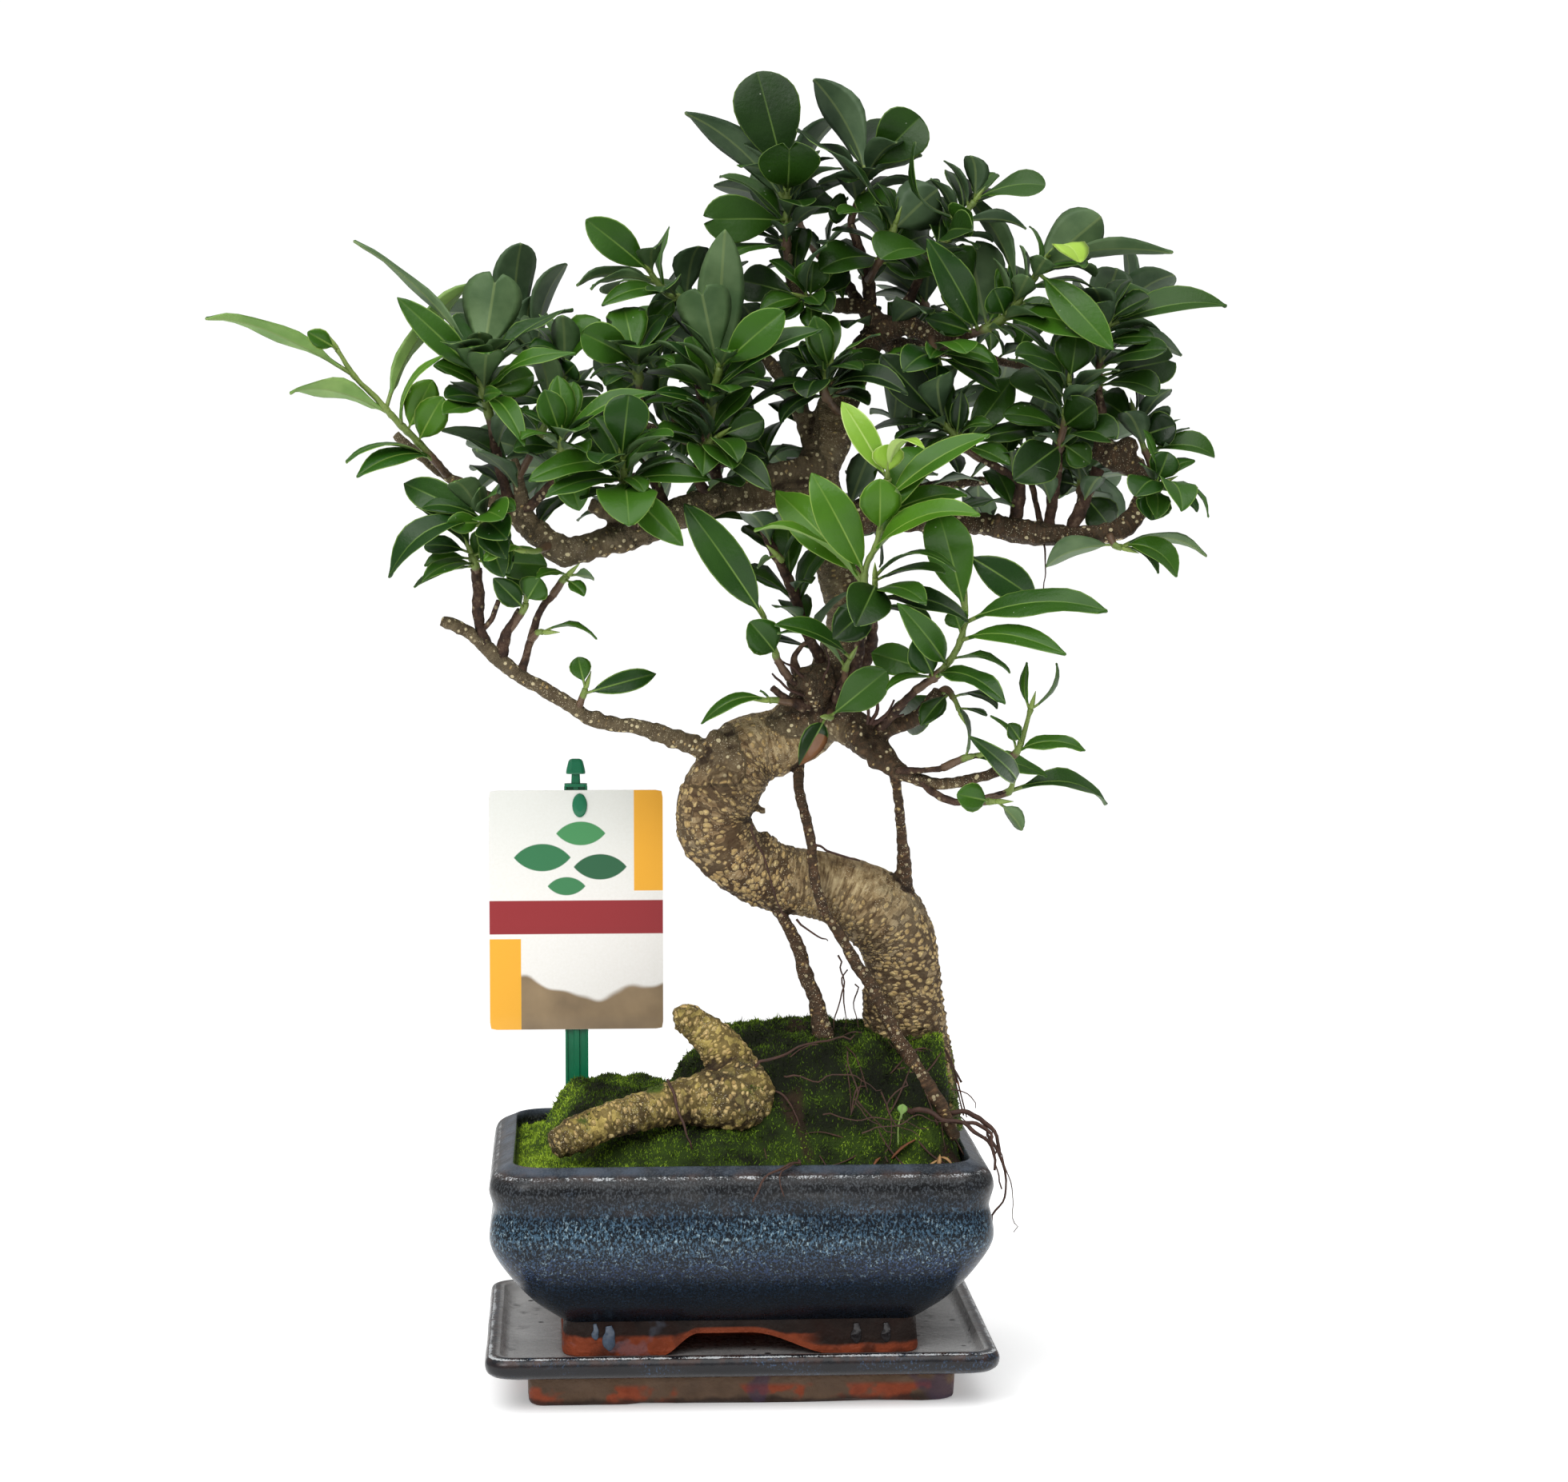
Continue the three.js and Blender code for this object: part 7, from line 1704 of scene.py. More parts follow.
def bark_relief(points, place, radius, root_dark, low, upper, dense, scar):
    """How far the bark stands out at each point: lumps, grain, rings, knobs and the folds of the scar."""
    shift = np.zeros(len(points))
    for i in range(len(points)):
        a, b, c = place[i]
        x, y, z = points[i]
        knob = 1 - min(1, noise.voronoi((a / 2.7, b / 4, c / 4))[0][0] * 1.7)
        lump = noise.noise((x / 15, y / 15, z / 15))
        grain = noise.noise((a / 3, b / 3.6, c / 3.6))
        rings = noise.noise((a / 2.2, b / 16, c / 16))
        knots = noise.noise((a / 6, b / 5, c / 5))
        shift[i] = (min(radius[i], 14) * 0.075 * lump + 0.3 * grain + 0.24 * rings
                    + (0.15 + 0.8 * dense[i] + 0.4 * low[i]) * (knob - 0.3)
                    + upper[i] * (0.55 * grain + 0.75 * knots) + root_dark[i] * (0.5 * knots + 0.35 * grain))
    shift *= np.clip(radius / 4.5, 0.5, 1)
    return shift + 1.1 * np.exp(-(scar / 7) ** 2) + 0.35 * np.cos(scar * 2.26) * np.exp(-(scar / 8) ** 2)


def bark_hollows(points, normals, mean):
    """How far each point lies in a crease or a wider hollow, which the bark's painted shade follows."""
    curve = ((mean(points) - points) * normals).sum(1)[:, None]
    wide = points.copy()
    for _ in range(WIDE_ROUNDS):
        wide = mean(wide)
    wide = ((wide - points) * normals).sum(1)[:, None]
    return (mean(curve) / 0.12 * 0.35 + wide / 1.1 * 0.65)[:, 0]


def moss_on_bark(points, normals, root_dark, root_tan):
    """How mossy the bark is: around the trunk's foot, and in patches on the big root."""
    high = points[:, 2]
    mossy = smooth_step(152, 100, high + 26 * noise_over(9, *points.T))
    mossy *= (1 - root_tan) * (1 - root_dark) * 0.76
    patches = (0.08 + 0.5 * noise_over(11, *points.T) + 0.25 * normals[:, 2] * (high < 126)
               - 0.2 * (normals[:, 2] < -0.3))
    return np.clip(mossy + root_tan * patches + 0.3 * root_dark * smooth_step(125, 100, high), 0, 1)


def trunk_piece():
    """The bark of all thick wood. Gives back its points, their normals and how mossy each one is."""
    mesh = wood_mesh()
    mean = neighbour_means(mesh)
    points = mesh_points(mesh)
    for weight in (0.5, -0.52) * 5:
        points += weight * (mean(points) - points)
    normals = move_points(mesh, points)
    place, radius, gaps = bark_places(points)
    root_dark, root_tan, low, knotty, upper, dense, scar = bark_zones(points, normals, radius, gaps)
    shift = bark_relief(points, place, radius, root_dark, low, upper, dense, scar)
    points += normals * shift[:, None]
    normals = move_points(mesh, points)
    hollow = bark_hollows(points, normals, mean)
    # Painted shade under the big root: its downward faces low over the moss are darkened too
    hollow += 0.75 * root_tan * smooth_step(-0.1, -0.75, normals[:, 2]) * smooth_step(132, 112, points[:, 2])
    mossy = moss_on_bark(points, normals, root_dark, root_tan)
    root_dark = np.maximum(root_dark, 0.75 * knotty)
    marks = {"mossy": mossy, "root_tan": root_tan, "root_dark": root_dark, "dense": dense,
             "hollow": np.clip(hollow, -1, 1), "scar": scar, "upper": upper}
    for name, values in marks.items():
        mark_points(mesh, name, values)
    layer = mesh.attributes.new("bark_place", "FLOAT_VECTOR", "POINT")
    layer.data.foreach_set("vector", place.astype(np.float32).ravel())
    mesh.polygons.foreach_set("use_smooth", [True] * len(mesh.polygons))
    mesh.materials.clear()
    mesh.materials.append(bark_skin())
    mesh.name = "trunk_bark"
    settle(in_scene("trunk_bark", mesh), ["trunk"])
    return points, normals, mossy


def twig_piece():
    """The thin limbs as plain tubes, a little uneven."""
    twigs = Build("woody")
    thin = [limb for _, limb in SKELETON if not is_heavy(limb)]
    for index, limb in enumerate(thin):
        add_tube(twigs, limb_path(limb, 1.6, TWIG_SLIM), 10, rough=0.22, seed=index, woody=1)
    settle(twigs.finish("twigs", [twig_skin()]), ["trunk"])


def rootlet_pieces():
    """Fine roots drawn by the photo, and a tangle by rule on the mound's right."""
    draw = np.random.default_rng(ROOTLET_SEED)
    build = Build()
    for index, (radius, wander, rows) in enumerate(ROOTLETS):
        path = smooth_path([[*from_view(row), radius] for row in rows], 2.2)
        shake = draw.normal(0, 1, path[:, :3].shape)
        for _ in range(3):
            shake[1:-1] = (shake[:-2] + 2 * shake[1:-1] + shake[2:]) / 4
        shake[[0, -1]] = 0
        path[:, :3] += shake * wander
        path[:, 3] *= np.linspace(1, 0.55, len(path))
        add_tube(build, path, 7, rough=0.25, seed=index)
    for index in range(TANGLE):
        x, y = draw.uniform(8, 92), draw.uniform(-70, -12)
        turn, bend = draw.normal(-0.5, 0.7), draw.normal(0, 0.4)
        rows = []
        for step in range(6):
            if x > 94 or y < -74 or x < 4:
                break
            high = ground_at(x, y) + 0.5 + 1.3 * math.sin(step * 1.3 + index)
            rows.append([x, y, high, 0.22 + 0.3 * draw.random() ** 2])
            x, y = x + 6 * math.cos(turn), y + 6 * math.sin(turn)
            turn += bend
        if len(rows) > 2:
            add_tube(build, smooth_path(rows, 1.6), 5, rough=0.2, seed=index + 50)
    settle(build.finish("rootlets", [plain_skin(
        "root_fibre", srgb(26, 15, 11), srgb(84, 52, 38), 0.75, 400, 0.0004)]))


def litter_piece():
    """Dry bits of wood and leaf on the moss."""
    bits = Build()
    for length, width, slot, x, y, turn, lean in LITTER:
        start = np.array([x, y, ground_at(x, y) + 1.2])
        way = np.array([math.cos(turn) * math.cos(lean), math.sin(turn) * math.cos(lean), math.sin(lean)])
        side = unit(np.cross(way, [0, 0, 1]))
        up = np.cross(side, way)
        points = []
        for t, share in ((0, 0.3), (0.25, 0.8), (0.5, 1), (0.75, 0.7), (1, 0.15)):
            centre = start + way * length * t + up * 1.2 * math.sin(t * 3)
            for a in (0, 1.2, 3.14, 5.0):
                points.append(centre + side * math.cos(a) * width * share / 2 + up * math.sin(a) * 0.45)
        bits.add_rings(points, 5, slot)
    settle(bits.finish("dry_bits", [
        plain_skin("dry_wood", srgb(84, 44, 24), srgb(146, 90, 54), 0.8),
        plain_skin("dry_leaf", srgb(140, 100, 58), srgb(188, 150, 100), 0.7)]))


def seedling_piece():
    """A thin pale stem with one round leaf on the moss."""
    build = Build("woody")
    stem = smooth_path([[*from_view(r), 0.3] for r in [[67, 93, -62], [67, 100, -62], [68, 105, -61]]], 1)
    add_tube(build, stem, 6, slot=1, woody=0)
    leaf = Leaf(0, 0, from_view([68, 104, -61]), from_view([69, 110, -62]), 4.2, FACINGS["front"], 0.1)
    leaf_marks = Build(*LEAF_MARKS)
    add_leaf(leaf_marks, leaf, 3)
    settle(build.finish("seedling_stem", [MATERIALS["young_top"], MATERIALS["stem"]]))
    settle(leaf_marks.finish("seedling_leaf", [MATERIALS["bright_under"]] * 3))


class Crown:
    """The leaves placed so far, with their boxes side by side for a quick first test."""

    def __init__(self, balls):
        self.leaves, self.balls = [], balls
        self.low, self.high = np.zeros((2, 3000, 3))

    def takes(self, leaf, between=LEAF_CLEARANCE, own_gap=OWN_CLEARANCE):
        """Places the leaf if it is clear. Leaves of one shoot may meet at the stem, not at their blades."""
        leaf.measure()
        count = len(self.leaves)
        reach = max(between, own_gap)
        apart = (leaf.low > self.high[:count] + reach).any(1) | (self.low[:count] > leaf.high + reach).any(1)
        for i in np.flatnonzero(~apart):
            other = self.leaves[i]
            own = other.owner == leaf.owner
            reach = own_gap if own else between
            if (leaf.low > other.high + reach).any() or (other.low > leaf.high + reach).any():
                continue
            if closer(leaf.blade if own else leaf.whole, other.blade if own else other.whole, reach):
                return False
        own = self.balls[:, 4] == leaf.owner
        reach = self.balls[:, 3] + np.where(own, 0.3, WOOD_CLEARANCE)
        near = ~((leaf.low > self.balls[:, :3] + reach[:, None]).any(1)
                 | (self.balls[:, :3] > leaf.high + reach[:, None]).any(1))
        for mine, samples in ((own & near, leaf.outer), (~own & near, leaf.blade)):
            if mine.any():
                gaps = ((samples[:, None] - self.balls[mine][None, :, :3]) ** 2).sum(2)
                if (gaps < reach[mine] ** 2).any():
                    return False
        self.low[count], self.high[count] = leaf.low, leaf.high
        self.leaves.append(leaf)
        return True


class Leaf:
    """One leaf's midrib curve and size, and sample points to keep it clear of others."""

    def __init__(self, owner, share, base, tip, width, facing, arch):
        self.owner, self.share, self.base, self.tip, self.width = owner, share, base, tip, width
        self.drawn = False
        chord = tip - base
        self.length = float(np.linalg.norm(chord))
        along = chord / self.length
        facing = np.asarray(facing, float)
        self.up = unit(facing - along * np.dot(facing, along))
        self.side = np.cross(along, self.up)
        self.control = (base + tip) / 2 + self.up * (2 * arch * self.length)

    def at(self, t):
        t = np.asarray(t, float)[:, None]
        first = self.base * (1 - t) + self.control * t
        last = self.control * (1 - t) + self.tip * t
        way = last - first
        way /= np.linalg.norm(way, axis=1)[:, None]
        return first * (1 - t) + last * t, np.cross(self.side, way)

    def measure(self):
        steps = max(6, math.ceil(self.length / SAMPLE_STEP))
        t = 0.12 + 0.88 * np.arange(steps + 1) / steps
        points, _ = self.at(t)
        xs, ys = zip(*BLADE_STEPS)
        half = np.interp(t, [*xs, 1], [*ys, 0]) * self.width / 2
        spread = points[:, None] + self.side * (half[:, None] * np.arange(-3, 4) / 3)[:, :, None]
        self.whole, self.blade, self.outer = (spread[t >= start].reshape(-1, 3) for start in (0, 0.3, 0.55))
        self.low, self.high = self.whole.min(0), self.whole.max(0)
        return self


def closer(a, b, reach):
    gaps = ((a[:, None] - b[None]) ** 2).sum(2)
    return bool((gaps < reach * reach).any())


def balls_along(points, radii, owner):
    rows = []
    for a, b, ra, rb in zip(points[:-1], points[1:], radii[:-1], radii[1:]):
        steps = max(1, math.ceil(float(np.linalg.norm(b - a)) / 3))
        for k in range(steps + 1):
            t = k / steps
            rows.append([*(a * (1 - t) + b * t), ra * (1 - t) + rb * t, owner])
    return rows


def point_along(points, share):
    lengths = [float(np.linalg.norm(b - a)) for a, b in zip(points[:-1], points[1:])]
    left = share * sum(lengths)
    for a, b, length in zip(points[:-1], points[1:], lengths):
        if left <= length:
            return a + (b - a) * (left / length)
        left -= length
    return points[-1]


def stem_radii(points):
    return [STEM_RADIUS[0] + (STEM_RADIUS[1] - STEM_RADIUS[0]) * i / (len(points) - 1)
            for i in range(len(points))]


def spiral_leaf(shoot, i, fill, small=False):
    """A leaf set by rule: it spirals up the stem by the golden angle and leans out from it."""
    owner, points, green, far = shoot["owner"], shoot["points"], shoot["green"], shoot["far"]
    share = (i + 0.6) / fill
    base = point_along(green, share)
    axis = unit(points[-1] - points[0])
    u, v = axes_across(axis)
    turn = GOLDEN_TURN * i + 0.7 * chance(owner, i, 1) + (0 if far else 1.1) + (0.9 if small else 0)
    lean = (0.75 if far else 0.9) + 0.4 * chance(owner, i, 2) - 0.25 * share
    way = u * math.cos(turn) + v * math.sin(turn)
    if not far and not small:
        way = unit(np.array([way[0] * 0.7, abs(way[1]) + 0.5, way[2] * 0.7]))
    direction = axis * math.cos(lean) + way * math.sin(lean)
    length = (18 + 14 * chance(owner, i, 6)) if small else 33 + 12 * chance(owner, i, 3)
    width = length * (0.46 + 0.1 * chance(owner, i, 4))
    facing = axis * 0.7 + np.array([0, 0.25 if far else 0.1, 0.9])
    arch = 0.1 + 0.06 * chance(owner, i, 5)
    return Leaf(owner, share, base, base + direction * length, width, facing, arch)


def all_shoots():
    seen = [dict(name=name, tone=tone, fill=fill, route=route, rows=rows, far=False)
            for name, tone, fill, route, rows in SHOOTS]
    rear = [dict(name=name, tone="deep", fill=fill, route=route, rows=[], far=True)
            for name, fill, route in BACK_SHOOTS]
    shoots = seen + rear
    for owner, shoot in enumerate(shoots):
        shoot["owner"] = owner
        shoot["points"] = [from_view(row) for row in shoot["route"]]
        shoot["green"] = shoot["points"][1:]
    return shoots


def grow_leaves(shoots):
    """The CAD's leaves in its own order, then smaller ones that fill the crown's inside."""
    balls = []
    for _, rows in SKELETON:
        balls += balls_along([from_view(r) for r in rows], [r[3] for r in rows], -1)
    for shoot in shoots:
        balls += balls_along(shoot["points"], stem_radii(shoot["points"]), shoot["owner"])
    crown = Crown(np.array(balls))
    for shoot in shoots:
        for share, x, z, depth, width, way, *arch in shoot["rows"]:
            base = point_along(shoot["green"], share)
            for shift in DEPTH_SHIFTS:
                leaf = Leaf(shoot["owner"], share, base, from_view([x, z, depth + shift]), width,
                            FACINGS[way], arch[0] if arch else LEAF_ARCH)
                leaf.drawn = True
                if crown.takes(leaf):
                    break
    for shoot in shoots:
        for share, x, z, depth, width, way, arch in ADDED_LEAVES.get(shoot["name"], []):
            leaf = Leaf(shoot["owner"], share, point_along(shoot["green"], share), from_view([x, z, depth]),
                        width, FACINGS[way], arch)
            crown.takes(leaf, 1.0, 0.5)
    for shoot in shoots:
        for i in range(shoot["fill"]):
            crown.takes(spiral_leaf(shoot, i, shoot["fill"]))
    for shoot in shoots:
        inside = shoot["far"] or max(r[1] for r in shoot["route"]) > FILL_LEVEL
        if inside and shoot["tone"] in ("deep", "mid"):
            tries = SPARSE_SHOOTS.get(shoot["name"], FILL_TRIES)
            for i in range(tries):
                crown.takes(spiral_leaf(shoot, i, tries, small=True), 1.5, 1.1)
    for number, (_, rows) in enumerate(LIMBS):
        if rows[-1][1] > INNER_LEVEL and max(r[3] for r in rows) < INNER_WOOD:
            for leaf in inner_leaves(number, rows):
                crown.takes(leaf, 1.3, 1.1)
    return crown.leaves


def inner_leaves(number, rows):
    """Leaves by rule along one twig inside the crown, every few millimetres and all round it."""
    points = [from_view(r) for r in rows]
    tries = max(3, round(distance_along(points)[-1] / INNER_STEP))
    axis = unit(points[-1] - points[0])
    u, v = axes_across(axis)
    for i in range(tries):
        share = (i + 0.5) / tries
        base = point_along(points, share)
        turn = GOLDEN_TURN * i + 6.3 * chance(number, 7, 1)
        way = u * math.cos(turn) + v * math.sin(turn)
        lean = 0.95 + 0.5 * chance(number, i, 8)
        direction = unit(axis * math.cos(lean) + way * math.sin(lean) + [0, 0, 0.25])
        size = 20 + 17 * chance(number, i, 9)
        facing = axis * 0.4 + np.array([0, -0.2, 0.9])
        width = size * (0.42 + 0.14 * chance(number, i, 10))
        yield Leaf(INNER_OWNER, share, base, base + direction * size, width, facing,
                   0.08 + 0.1 * chance(number, i, 11))


def blade_shape(leaf, s):
    """Half the blade's width: narrow leaves are lance shaped, wide ones broadest beyond their middle."""
    wide = float(np.clip((leaf.width / leaf.length - 0.34) / 0.26, 0, 1))
    if leaf.tip[2] < leaf.base[2] - 4:
        wide *= 0.2
    if leaf.length < SMALL_LEAF:
        wide *= 0.5
    if leaf_is_dry(leaf):
        wide = -0.4
    peak = 0.5 + 0.21 * wide
    power = 1.75 + 0.1 * wide
    inner = np.clip(s, 1e-6, 1 - 1e-6)
    body = np.exp(power * (peak * np.log(inner / peak) + (1 - peak) * np.log((1 - inner) / (1 - peak))))
    return body * leaf.width / 2 * (0.8 if wide < 0 else 1), wide


def leaf_is_dry(leaf):
    """The one small leaf on the trunk that hangs down has a brown half."""
    return leaf.owner in BROWN_LEAF_OWNERS and leaf.tip[2] < leaf.base[2] - 4


def add_leaf(build, leaf, seed):
    """One leaf as a closed thin form: a round stalk that opens into a folded, slightly waved blade."""
    few = leaf.length < SMALL_LEAF or leaf.owner == INNER_OWNER
    ring, stations = (RING_FEW, STATIONS_FEW) if few else (RING, STATIONS)
    lift = 0.08 + 0.3 * chance(seed, 3, 1) ** 2
    wave = 0.03 * chance(seed, 3, 2)
    phase = 6.3 * chance(seed, 3, 3)
    curl = 0.6 * (chance(seed, 3, 4) - 0.35)
    stalk_end = max(0.1, min(STALK_LEAST / leaf.length, 0.3))
    s = np.array(stations)
    t = np.concatenate([[0, stalk_end * 0.5], stalk_end + (1 - stalk_end) * s])
    s = np.concatenate([[0, 0], s])
    centre, up = leaf.at(t)
    body, wide = blade_shape(leaf, s)
    stalk = np.clip(0.018 * leaf.length, 0.5, 0.85)
    half = np.maximum(body, stalk * (1 - 0.7 * s))
    flat = smooth_step(stalk, stalk * 3, half)
    u = np.array([p[0] for p in ring])
    v = np.array([p[1] for p in ring]) * np.sqrt(np.clip(1 - u * u, 0, 1)) ** 0.8
    thick = stalk * (1 - flat) + (0.22 + 0.16 * (1 - s)) * flat
    ripple = np.sin(10 * s[:, None] + phase + np.where(u > 0, 1.3, 0)) * np.abs(u) ** 2
    sag = (lift * half[:, None] * np.abs(u) ** 1.4 + wave * leaf.length * ripple) * flat[:, None]
    sag = sag - (curl * leaf.length * np.clip(s - 0.55, 0, 1) ** 2)[:, None]
    rib = np.where((v < 0) & (np.abs(u) < 0.05), 0.5, 0)[None] * (flat * (1 - s))[:, None]
    groove = np.where((v > 0) & (np.abs(u) < 0.05), 0.22, 0)[None] * flat[:, None]
    rise = v[None] * thick[:, None] + sag - rib - groove
    notched = wide > 0.75 and leaf.width > 17 and chance(seed, 3, 6) < 0.4 and leaf.drawn
    notch = 0.12 * leaf.length if notched else 0
    along = np.cross(up, leaf.side)
    back = notch * smooth_step(0.7, 1, s)[:, None] * (1 - np.abs(u)) ** 1.5
    points = (centre[:, None] + leaf.side * (half[:, None] * u)[:, :, None] + up[:, None] * rise[:, :, None]
              - along[:, None] * back[:, :, None]).reshape(-1, 3)
    points = np.vstack([points, leaf.tip - along[-1] * notch + up[-1] * (sag[-1, 0] * 1.05)])
    rings, count = len(t), len(ring)
    faces = [face[::-1] for face in ring_faces(rings, count, caps=False)]
    last = (rings - 1) * count
    faces += [[last + (i + 1) % count, last + i, len(points) - 1] for i in range(count)]
    faces.append(list(range(count)))
    lower = [v[i] + v[(i + 1) % count] < 0 for i in range(count)]
    slots = [1 if lower[i % count] else 0 for i in range((rings - 1) * count)]
    slots = [2 if i < 2 * count else slot for i, slot in enumerate(slots)]
    slots += [1 if lower[i] else 0 for i in range(count)] + [2]
    across = np.append((half[:, None] * np.abs(u)).ravel(), 0)
    edge = np.append((half[:, None] * (1 - np.abs(u))).ravel(), 0)
    edge = edge + np.append(np.repeat(1 - flat, count), 0) * 2
    brown = 0
    if leaf_is_dry(leaf):
        brown = np.append((smooth_step(0.1, -0.1, u)[None] * smooth_step(0.1, 0.35, s)[:, None]).ravel(), 1)
    build.add(points, faces, slots, leaf_across=across, leaf_along=np.append(np.repeat(s, count), 1),
              leaf_edge=edge, leaf_seed=chance(seed, 5, 5), leaf_brown=brown)


def add_stem(build, shoot, stem_leaves):
    """The shoot's stem with small joints where leaves sit, and a pointed bud on its end."""
    points = shoot["points"]
    radii = stem_radii(points)
    path = smooth_path([[*p, r] for p, r in zip(points, radii)], 1.3)
    place = distance_along(path[:, :3])
    length = place[-1]
    place /= length
    start = float(np.linalg.norm(points[1] - points[0]) / length)
    for leaf in stem_leaves:
        joint = start + leaf.share * (1 - start)
        path[:, 3] += 0.28 * np.exp(-((place - joint) * length / 1.1) ** 2)
    if shoot["far"] or shoot["tone"] == "deep":
        woody = smooth_step(start + 0.75, start * 0.6, place)
    else:
        woody = smooth_step(start + 0.25, start * 0.5, place)
    add_tube(build, path, 8, slot=2, rough=0.1, seed=shoot["owner"], woody=woody)
    way = unit(path[-1, :3] - path[-3, :3])
    bud = [[*(path[-1, :3] + way * distance), radius] for distance, radius in BUD]
    add_tube(build, np.array(bud), 8, slot=3)


def foliage_pieces():
    shoots = all_shoots()
    leaves = grow_leaves(shoots)
    for name in dict.fromkeys(shoot["name"] for shoot in shoots):
        build = Build(*LEAF_MARKS)
        own = [shoot for shoot in shoots if shoot["name"] == name]
        skins = []
        for order, shoot in enumerate(own):
            stem_leaves = [leaf for leaf in leaves if leaf.owner == shoot["owner"]]
            before = len(build.slots)
            add_stem(build, shoot, stem_leaves)
            for index, leaf in enumerate(stem_leaves):
                add_leaf(build, leaf, shoot["owner"] * 40 + index)
            build.slots[before:] = [slot + 4 * order for slot in build.slots[before:]]
            shoot_tone = "deep" if name == "trunk_leaf" else shoot["tone"]
            skins += [MATERIALS[shoot_tone + "_top"], MATERIALS[shoot_tone + "_under"], MATERIALS["stem"],
                      MATERIALS["bud"]]
        piece = build.finish("spray_" + name + "_leaves", skins)
        settle(piece, ["spray_" + name])
    build = Build(*LEAF_MARKS)
    for index, leaf in enumerate(leaf for leaf in leaves if leaf.owner == INNER_OWNER):
        add_leaf(build, leaf, 4000 + index)
    settle(build.finish("inner_leaves", [MATERIALS["deep_top"], MATERIALS["deep_under"], MATERIALS["stem"]]))


def stake_piece(front):
    """The ribbed plastic stake: shaft, flange, neck and knob behind the card and an oval tab before it."""
    build = Build()
    shaft = [[STAKE_X + x, STAKE_DEPTH + y, z] for z in STAKE_LEVELS for x, y in STAKE_SECTION]
    build.add_rings(shaft, len(STAKE_LEVELS))
    head = [[STAKE_X + x, STAKE_DEPTH + 0.2 + y, z] for z, half_x, half_y in STAKE_HEAD
            for x, y, _ in outline(half_x, half_y, half_y * 0.8, z, 5, 1)]
    build.add_rings(head, len(STAKE_HEAD))
    x, z = STAKE_X + TAB_PLACE[0], TAB_PLACE[1]
    dome = [[x + TAB_SIZE[0] * k * math.cos(a), front - 0.9 - rise, z + TAB_SIZE[1] * k * math.sin(a)]
            for rise, k in TAB_DOME for a in 2 * np.pi * np.arange(24) / 24]
    build.add_rings(dome, len(TAB_DOME))
    plastic = plain_skin("stake_green", srgb(6, 92, 60), srgb(22, 124, 84), 0.3, 60, 0.0003)
    settle(build.finish("stake_body", [plastic], smooth=False), ["marker_stake"])


def card_grid(y):
    """One side of the card as a grid of points, drawn in at its rounded corners."""
    grid = []
    for r in range(CARD_ROWS + 1):
        for c in range(CARD_COLUMNS + 1):
            x = (c / CARD_COLUMNS - 0.5) * CARD_WIDTH
            z = r / CARD_ROWS * CARD_HEIGHT
            dx = max(0, abs(x) - (CARD_WIDTH / 2 - CARD_CORNER))
            dz = max(0, abs(z - CARD_HEIGHT / 2) - (CARD_HEIGHT / 2 - CARD_CORNER))
            over = max(dx, dz, 1e-9)
            pull = over / max(math.hypot(dx, dz), 1e-9)
            x -= math.copysign(dx * (1 - pull), x)
            z -= math.copysign(dz * (1 - pull), z - CARD_HEIGHT / 2)
            grid.append([STAKE_X + x, y, CARD_BOTTOM + z])
    return grid


def marker_pieces():
    """The printed card, slightly rounded at its corners, and its green plastic stake."""
    build = Build()
    front = STAKE_DEPTH - 1.2 - GAP
    wide = CARD_COLUMNS + 1
    near_side = [[a, a + 1, a + wide + 1, a + wide]
                 for a in (r * wide + c for r in range(CARD_ROWS) for c in range(CARD_COLUMNS))]
    build.add(card_grid(front - 0.85), near_side, slot=0)
    build.add(card_grid(front - 0.2), [face[::-1] for face in near_side], slot=1)
    size = wide * (CARD_ROWS + 1)
    loop = [*range(wide), *range(2 * wide - 1, size, wide), *range(size - 2, size - wide - 1, -1),
            *range(size - 2 * wide, 0, -wide)]
    for a, b in zip(loop, loop[1:] + loop[:1]):
        build.faces.append([b, a, a + size, b + size])
        build.slots.append(1)
    card = build.finish("card_front", [card_skin(), plain_skin(
        "card_back", srgb(236, 233, 226), srgb(248, 246, 240), 0.5)], smooth=False)
    settle(card, ["marker_card"])
    stake_piece(front)


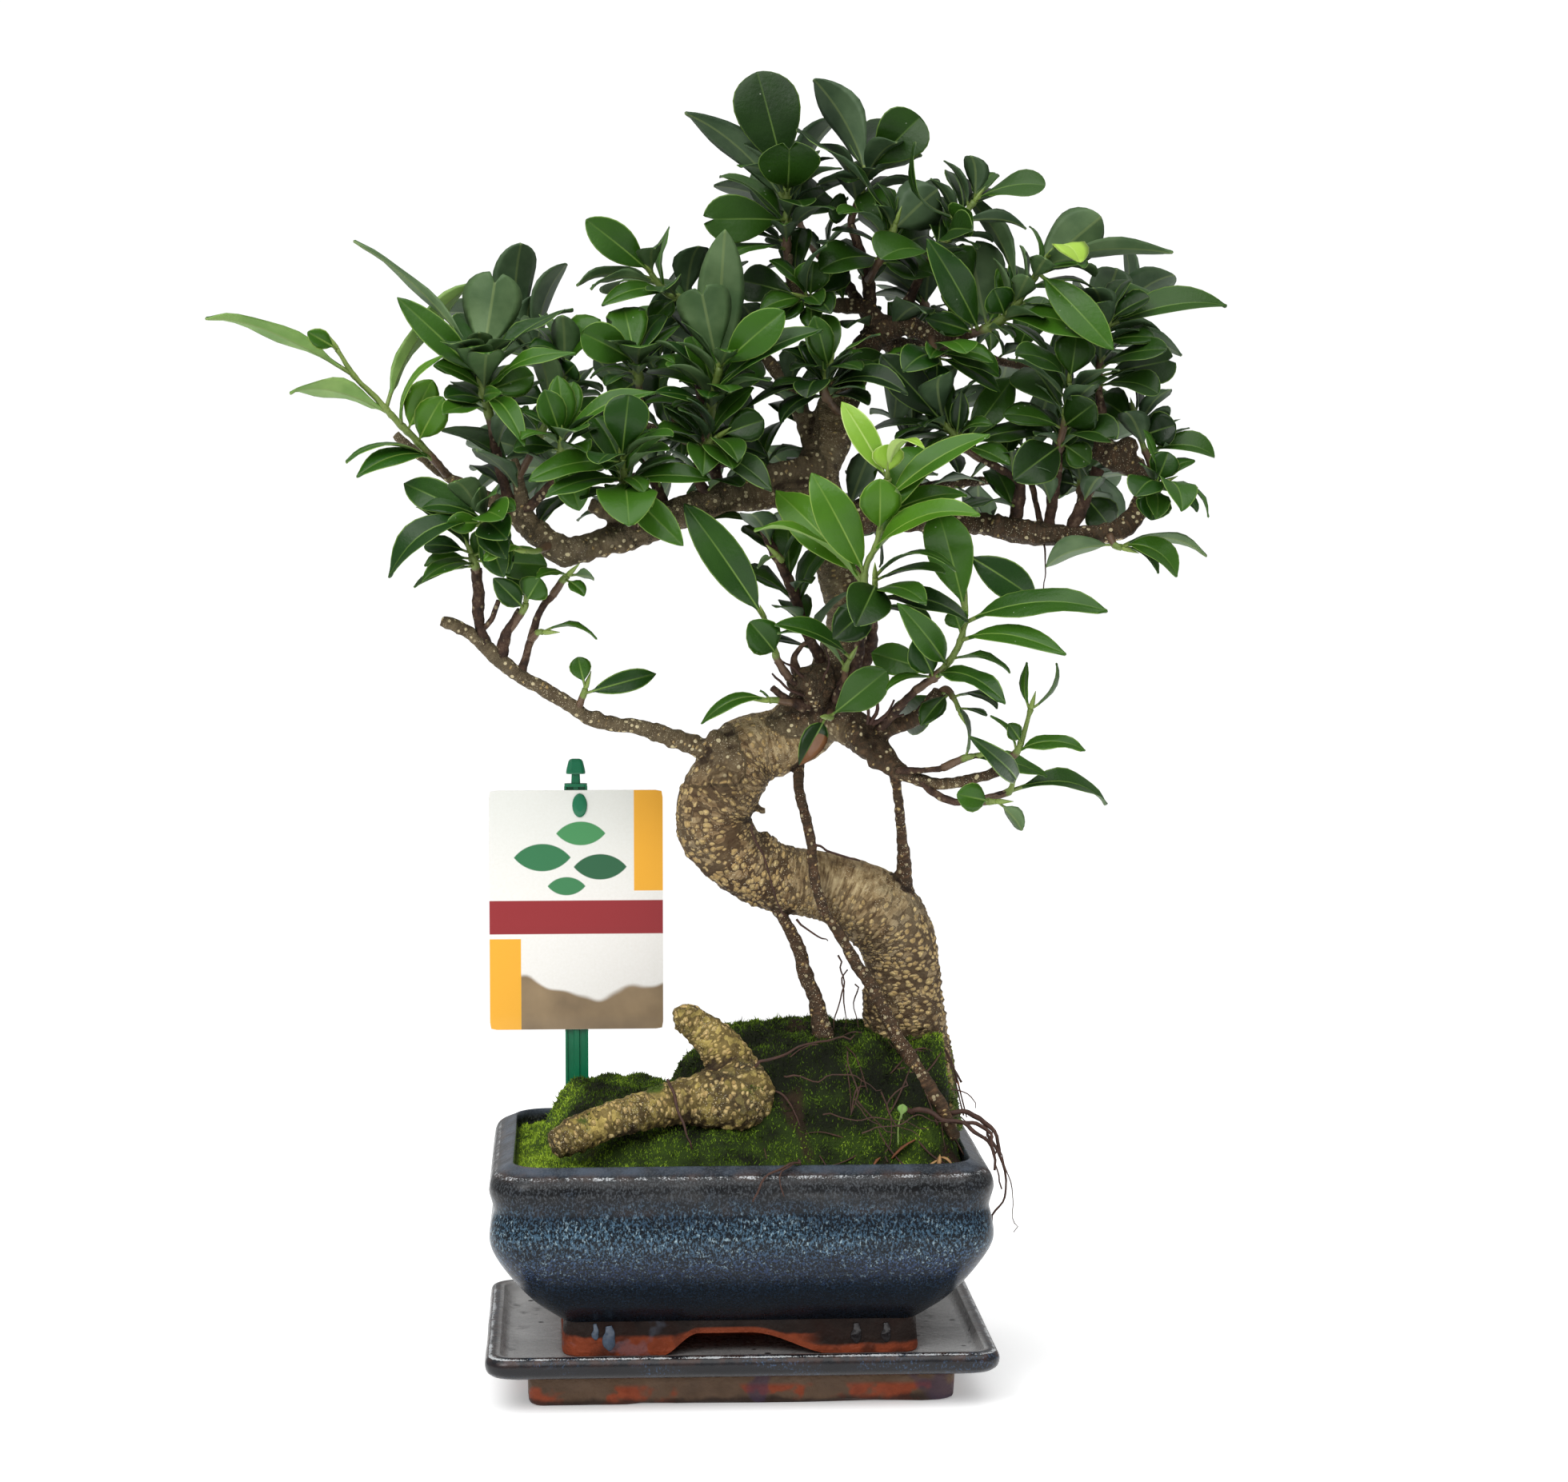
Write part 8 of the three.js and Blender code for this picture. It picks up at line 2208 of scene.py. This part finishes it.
def add_light(name, kind, turn, place=(0, 0, 0), **settings):
    """A light with its turn in degrees."""
    lamp = in_scene(name, with_settings(bpy.data.lights.new(name, kind), settings))
    lamp.location = place
    lamp.rotation_euler = [math.radians(angle) for angle in turn]


def studio():
    """A plain white table top, a white surround that lights softly, and a wide soft light from above."""
    build = Build()
    build.add([[-1100, -900, 0], [1100, -900, 0], [1100, 900, 0], [-1100, 900, 0]], [[0, 1, 2, 3]])
    floor = build.finish("studio_floor", [plain_skin(
        "studio_white", srgb(250, 250, 250), srgb(254, 254, 254), 0.9, 5, 0.00001,
        Emission_Color=(1, 1, 1, 1), Emission_Strength=FLOOR_GLOW)])
    world = bpy.data.worlds.new("studio")
    world.use_nodes = True
    nodes = world.node_tree.nodes
    backdrop = nodes["Background"]
    backdrop.inputs["Color"].default_value = (1, 1, 1, 1)
    seen = nodes.new("ShaderNodeLightPath")
    strength = nodes.new("ShaderNodeMapRange")
    strength.inputs["To Min"].default_value = SURROUND_LIGHT
    strength.inputs["To Max"].default_value = BACKDROP_LIGHT
    world.node_tree.links.new(seen.outputs["Is Camera Ray"], strength.inputs["Value"])
    world.node_tree.links.new(strength.outputs[0], backdrop.inputs["Strength"])
    bpy.context.scene.world = world
    add_light("overhead", "SUN", SUN_TURN, energy=SUN_STRENGTH, angle=math.radians(SUN_WIDTH))
    add_light("key", "AREA", KEY_TURN, KEY_PLACE, size=KEY_SIZE, energy=KEY_STRENGTH)
    view = bpy.context.scene.view_settings
    view.view_transform = "Standard"
    view.look = "None"


def viewing_camera():
    data = bpy.data.cameras.new("camera")
    data.lens = CAMERA_LENS
    data.sensor_width = CAMERA_SENSOR
    camera = in_scene("camera", data)
    camera.location = CAMERA_PLACE
    camera.rotation_euler = [math.radians(angle) for angle in CAMERA_TURN]
    bpy.context.scene.camera = camera


MATERIALS = leaf_materials()
viewing_camera()
pot_pieces()
saucer_pieces()
moss_shoots(moss_bed())
bark = trunk_piece()
twig_piece()
rootlet_pieces()
litter_piece()
seedling_piece()
foliage_pieces()
marker_pieces()
studio()
bark_moss_piece(*bark)
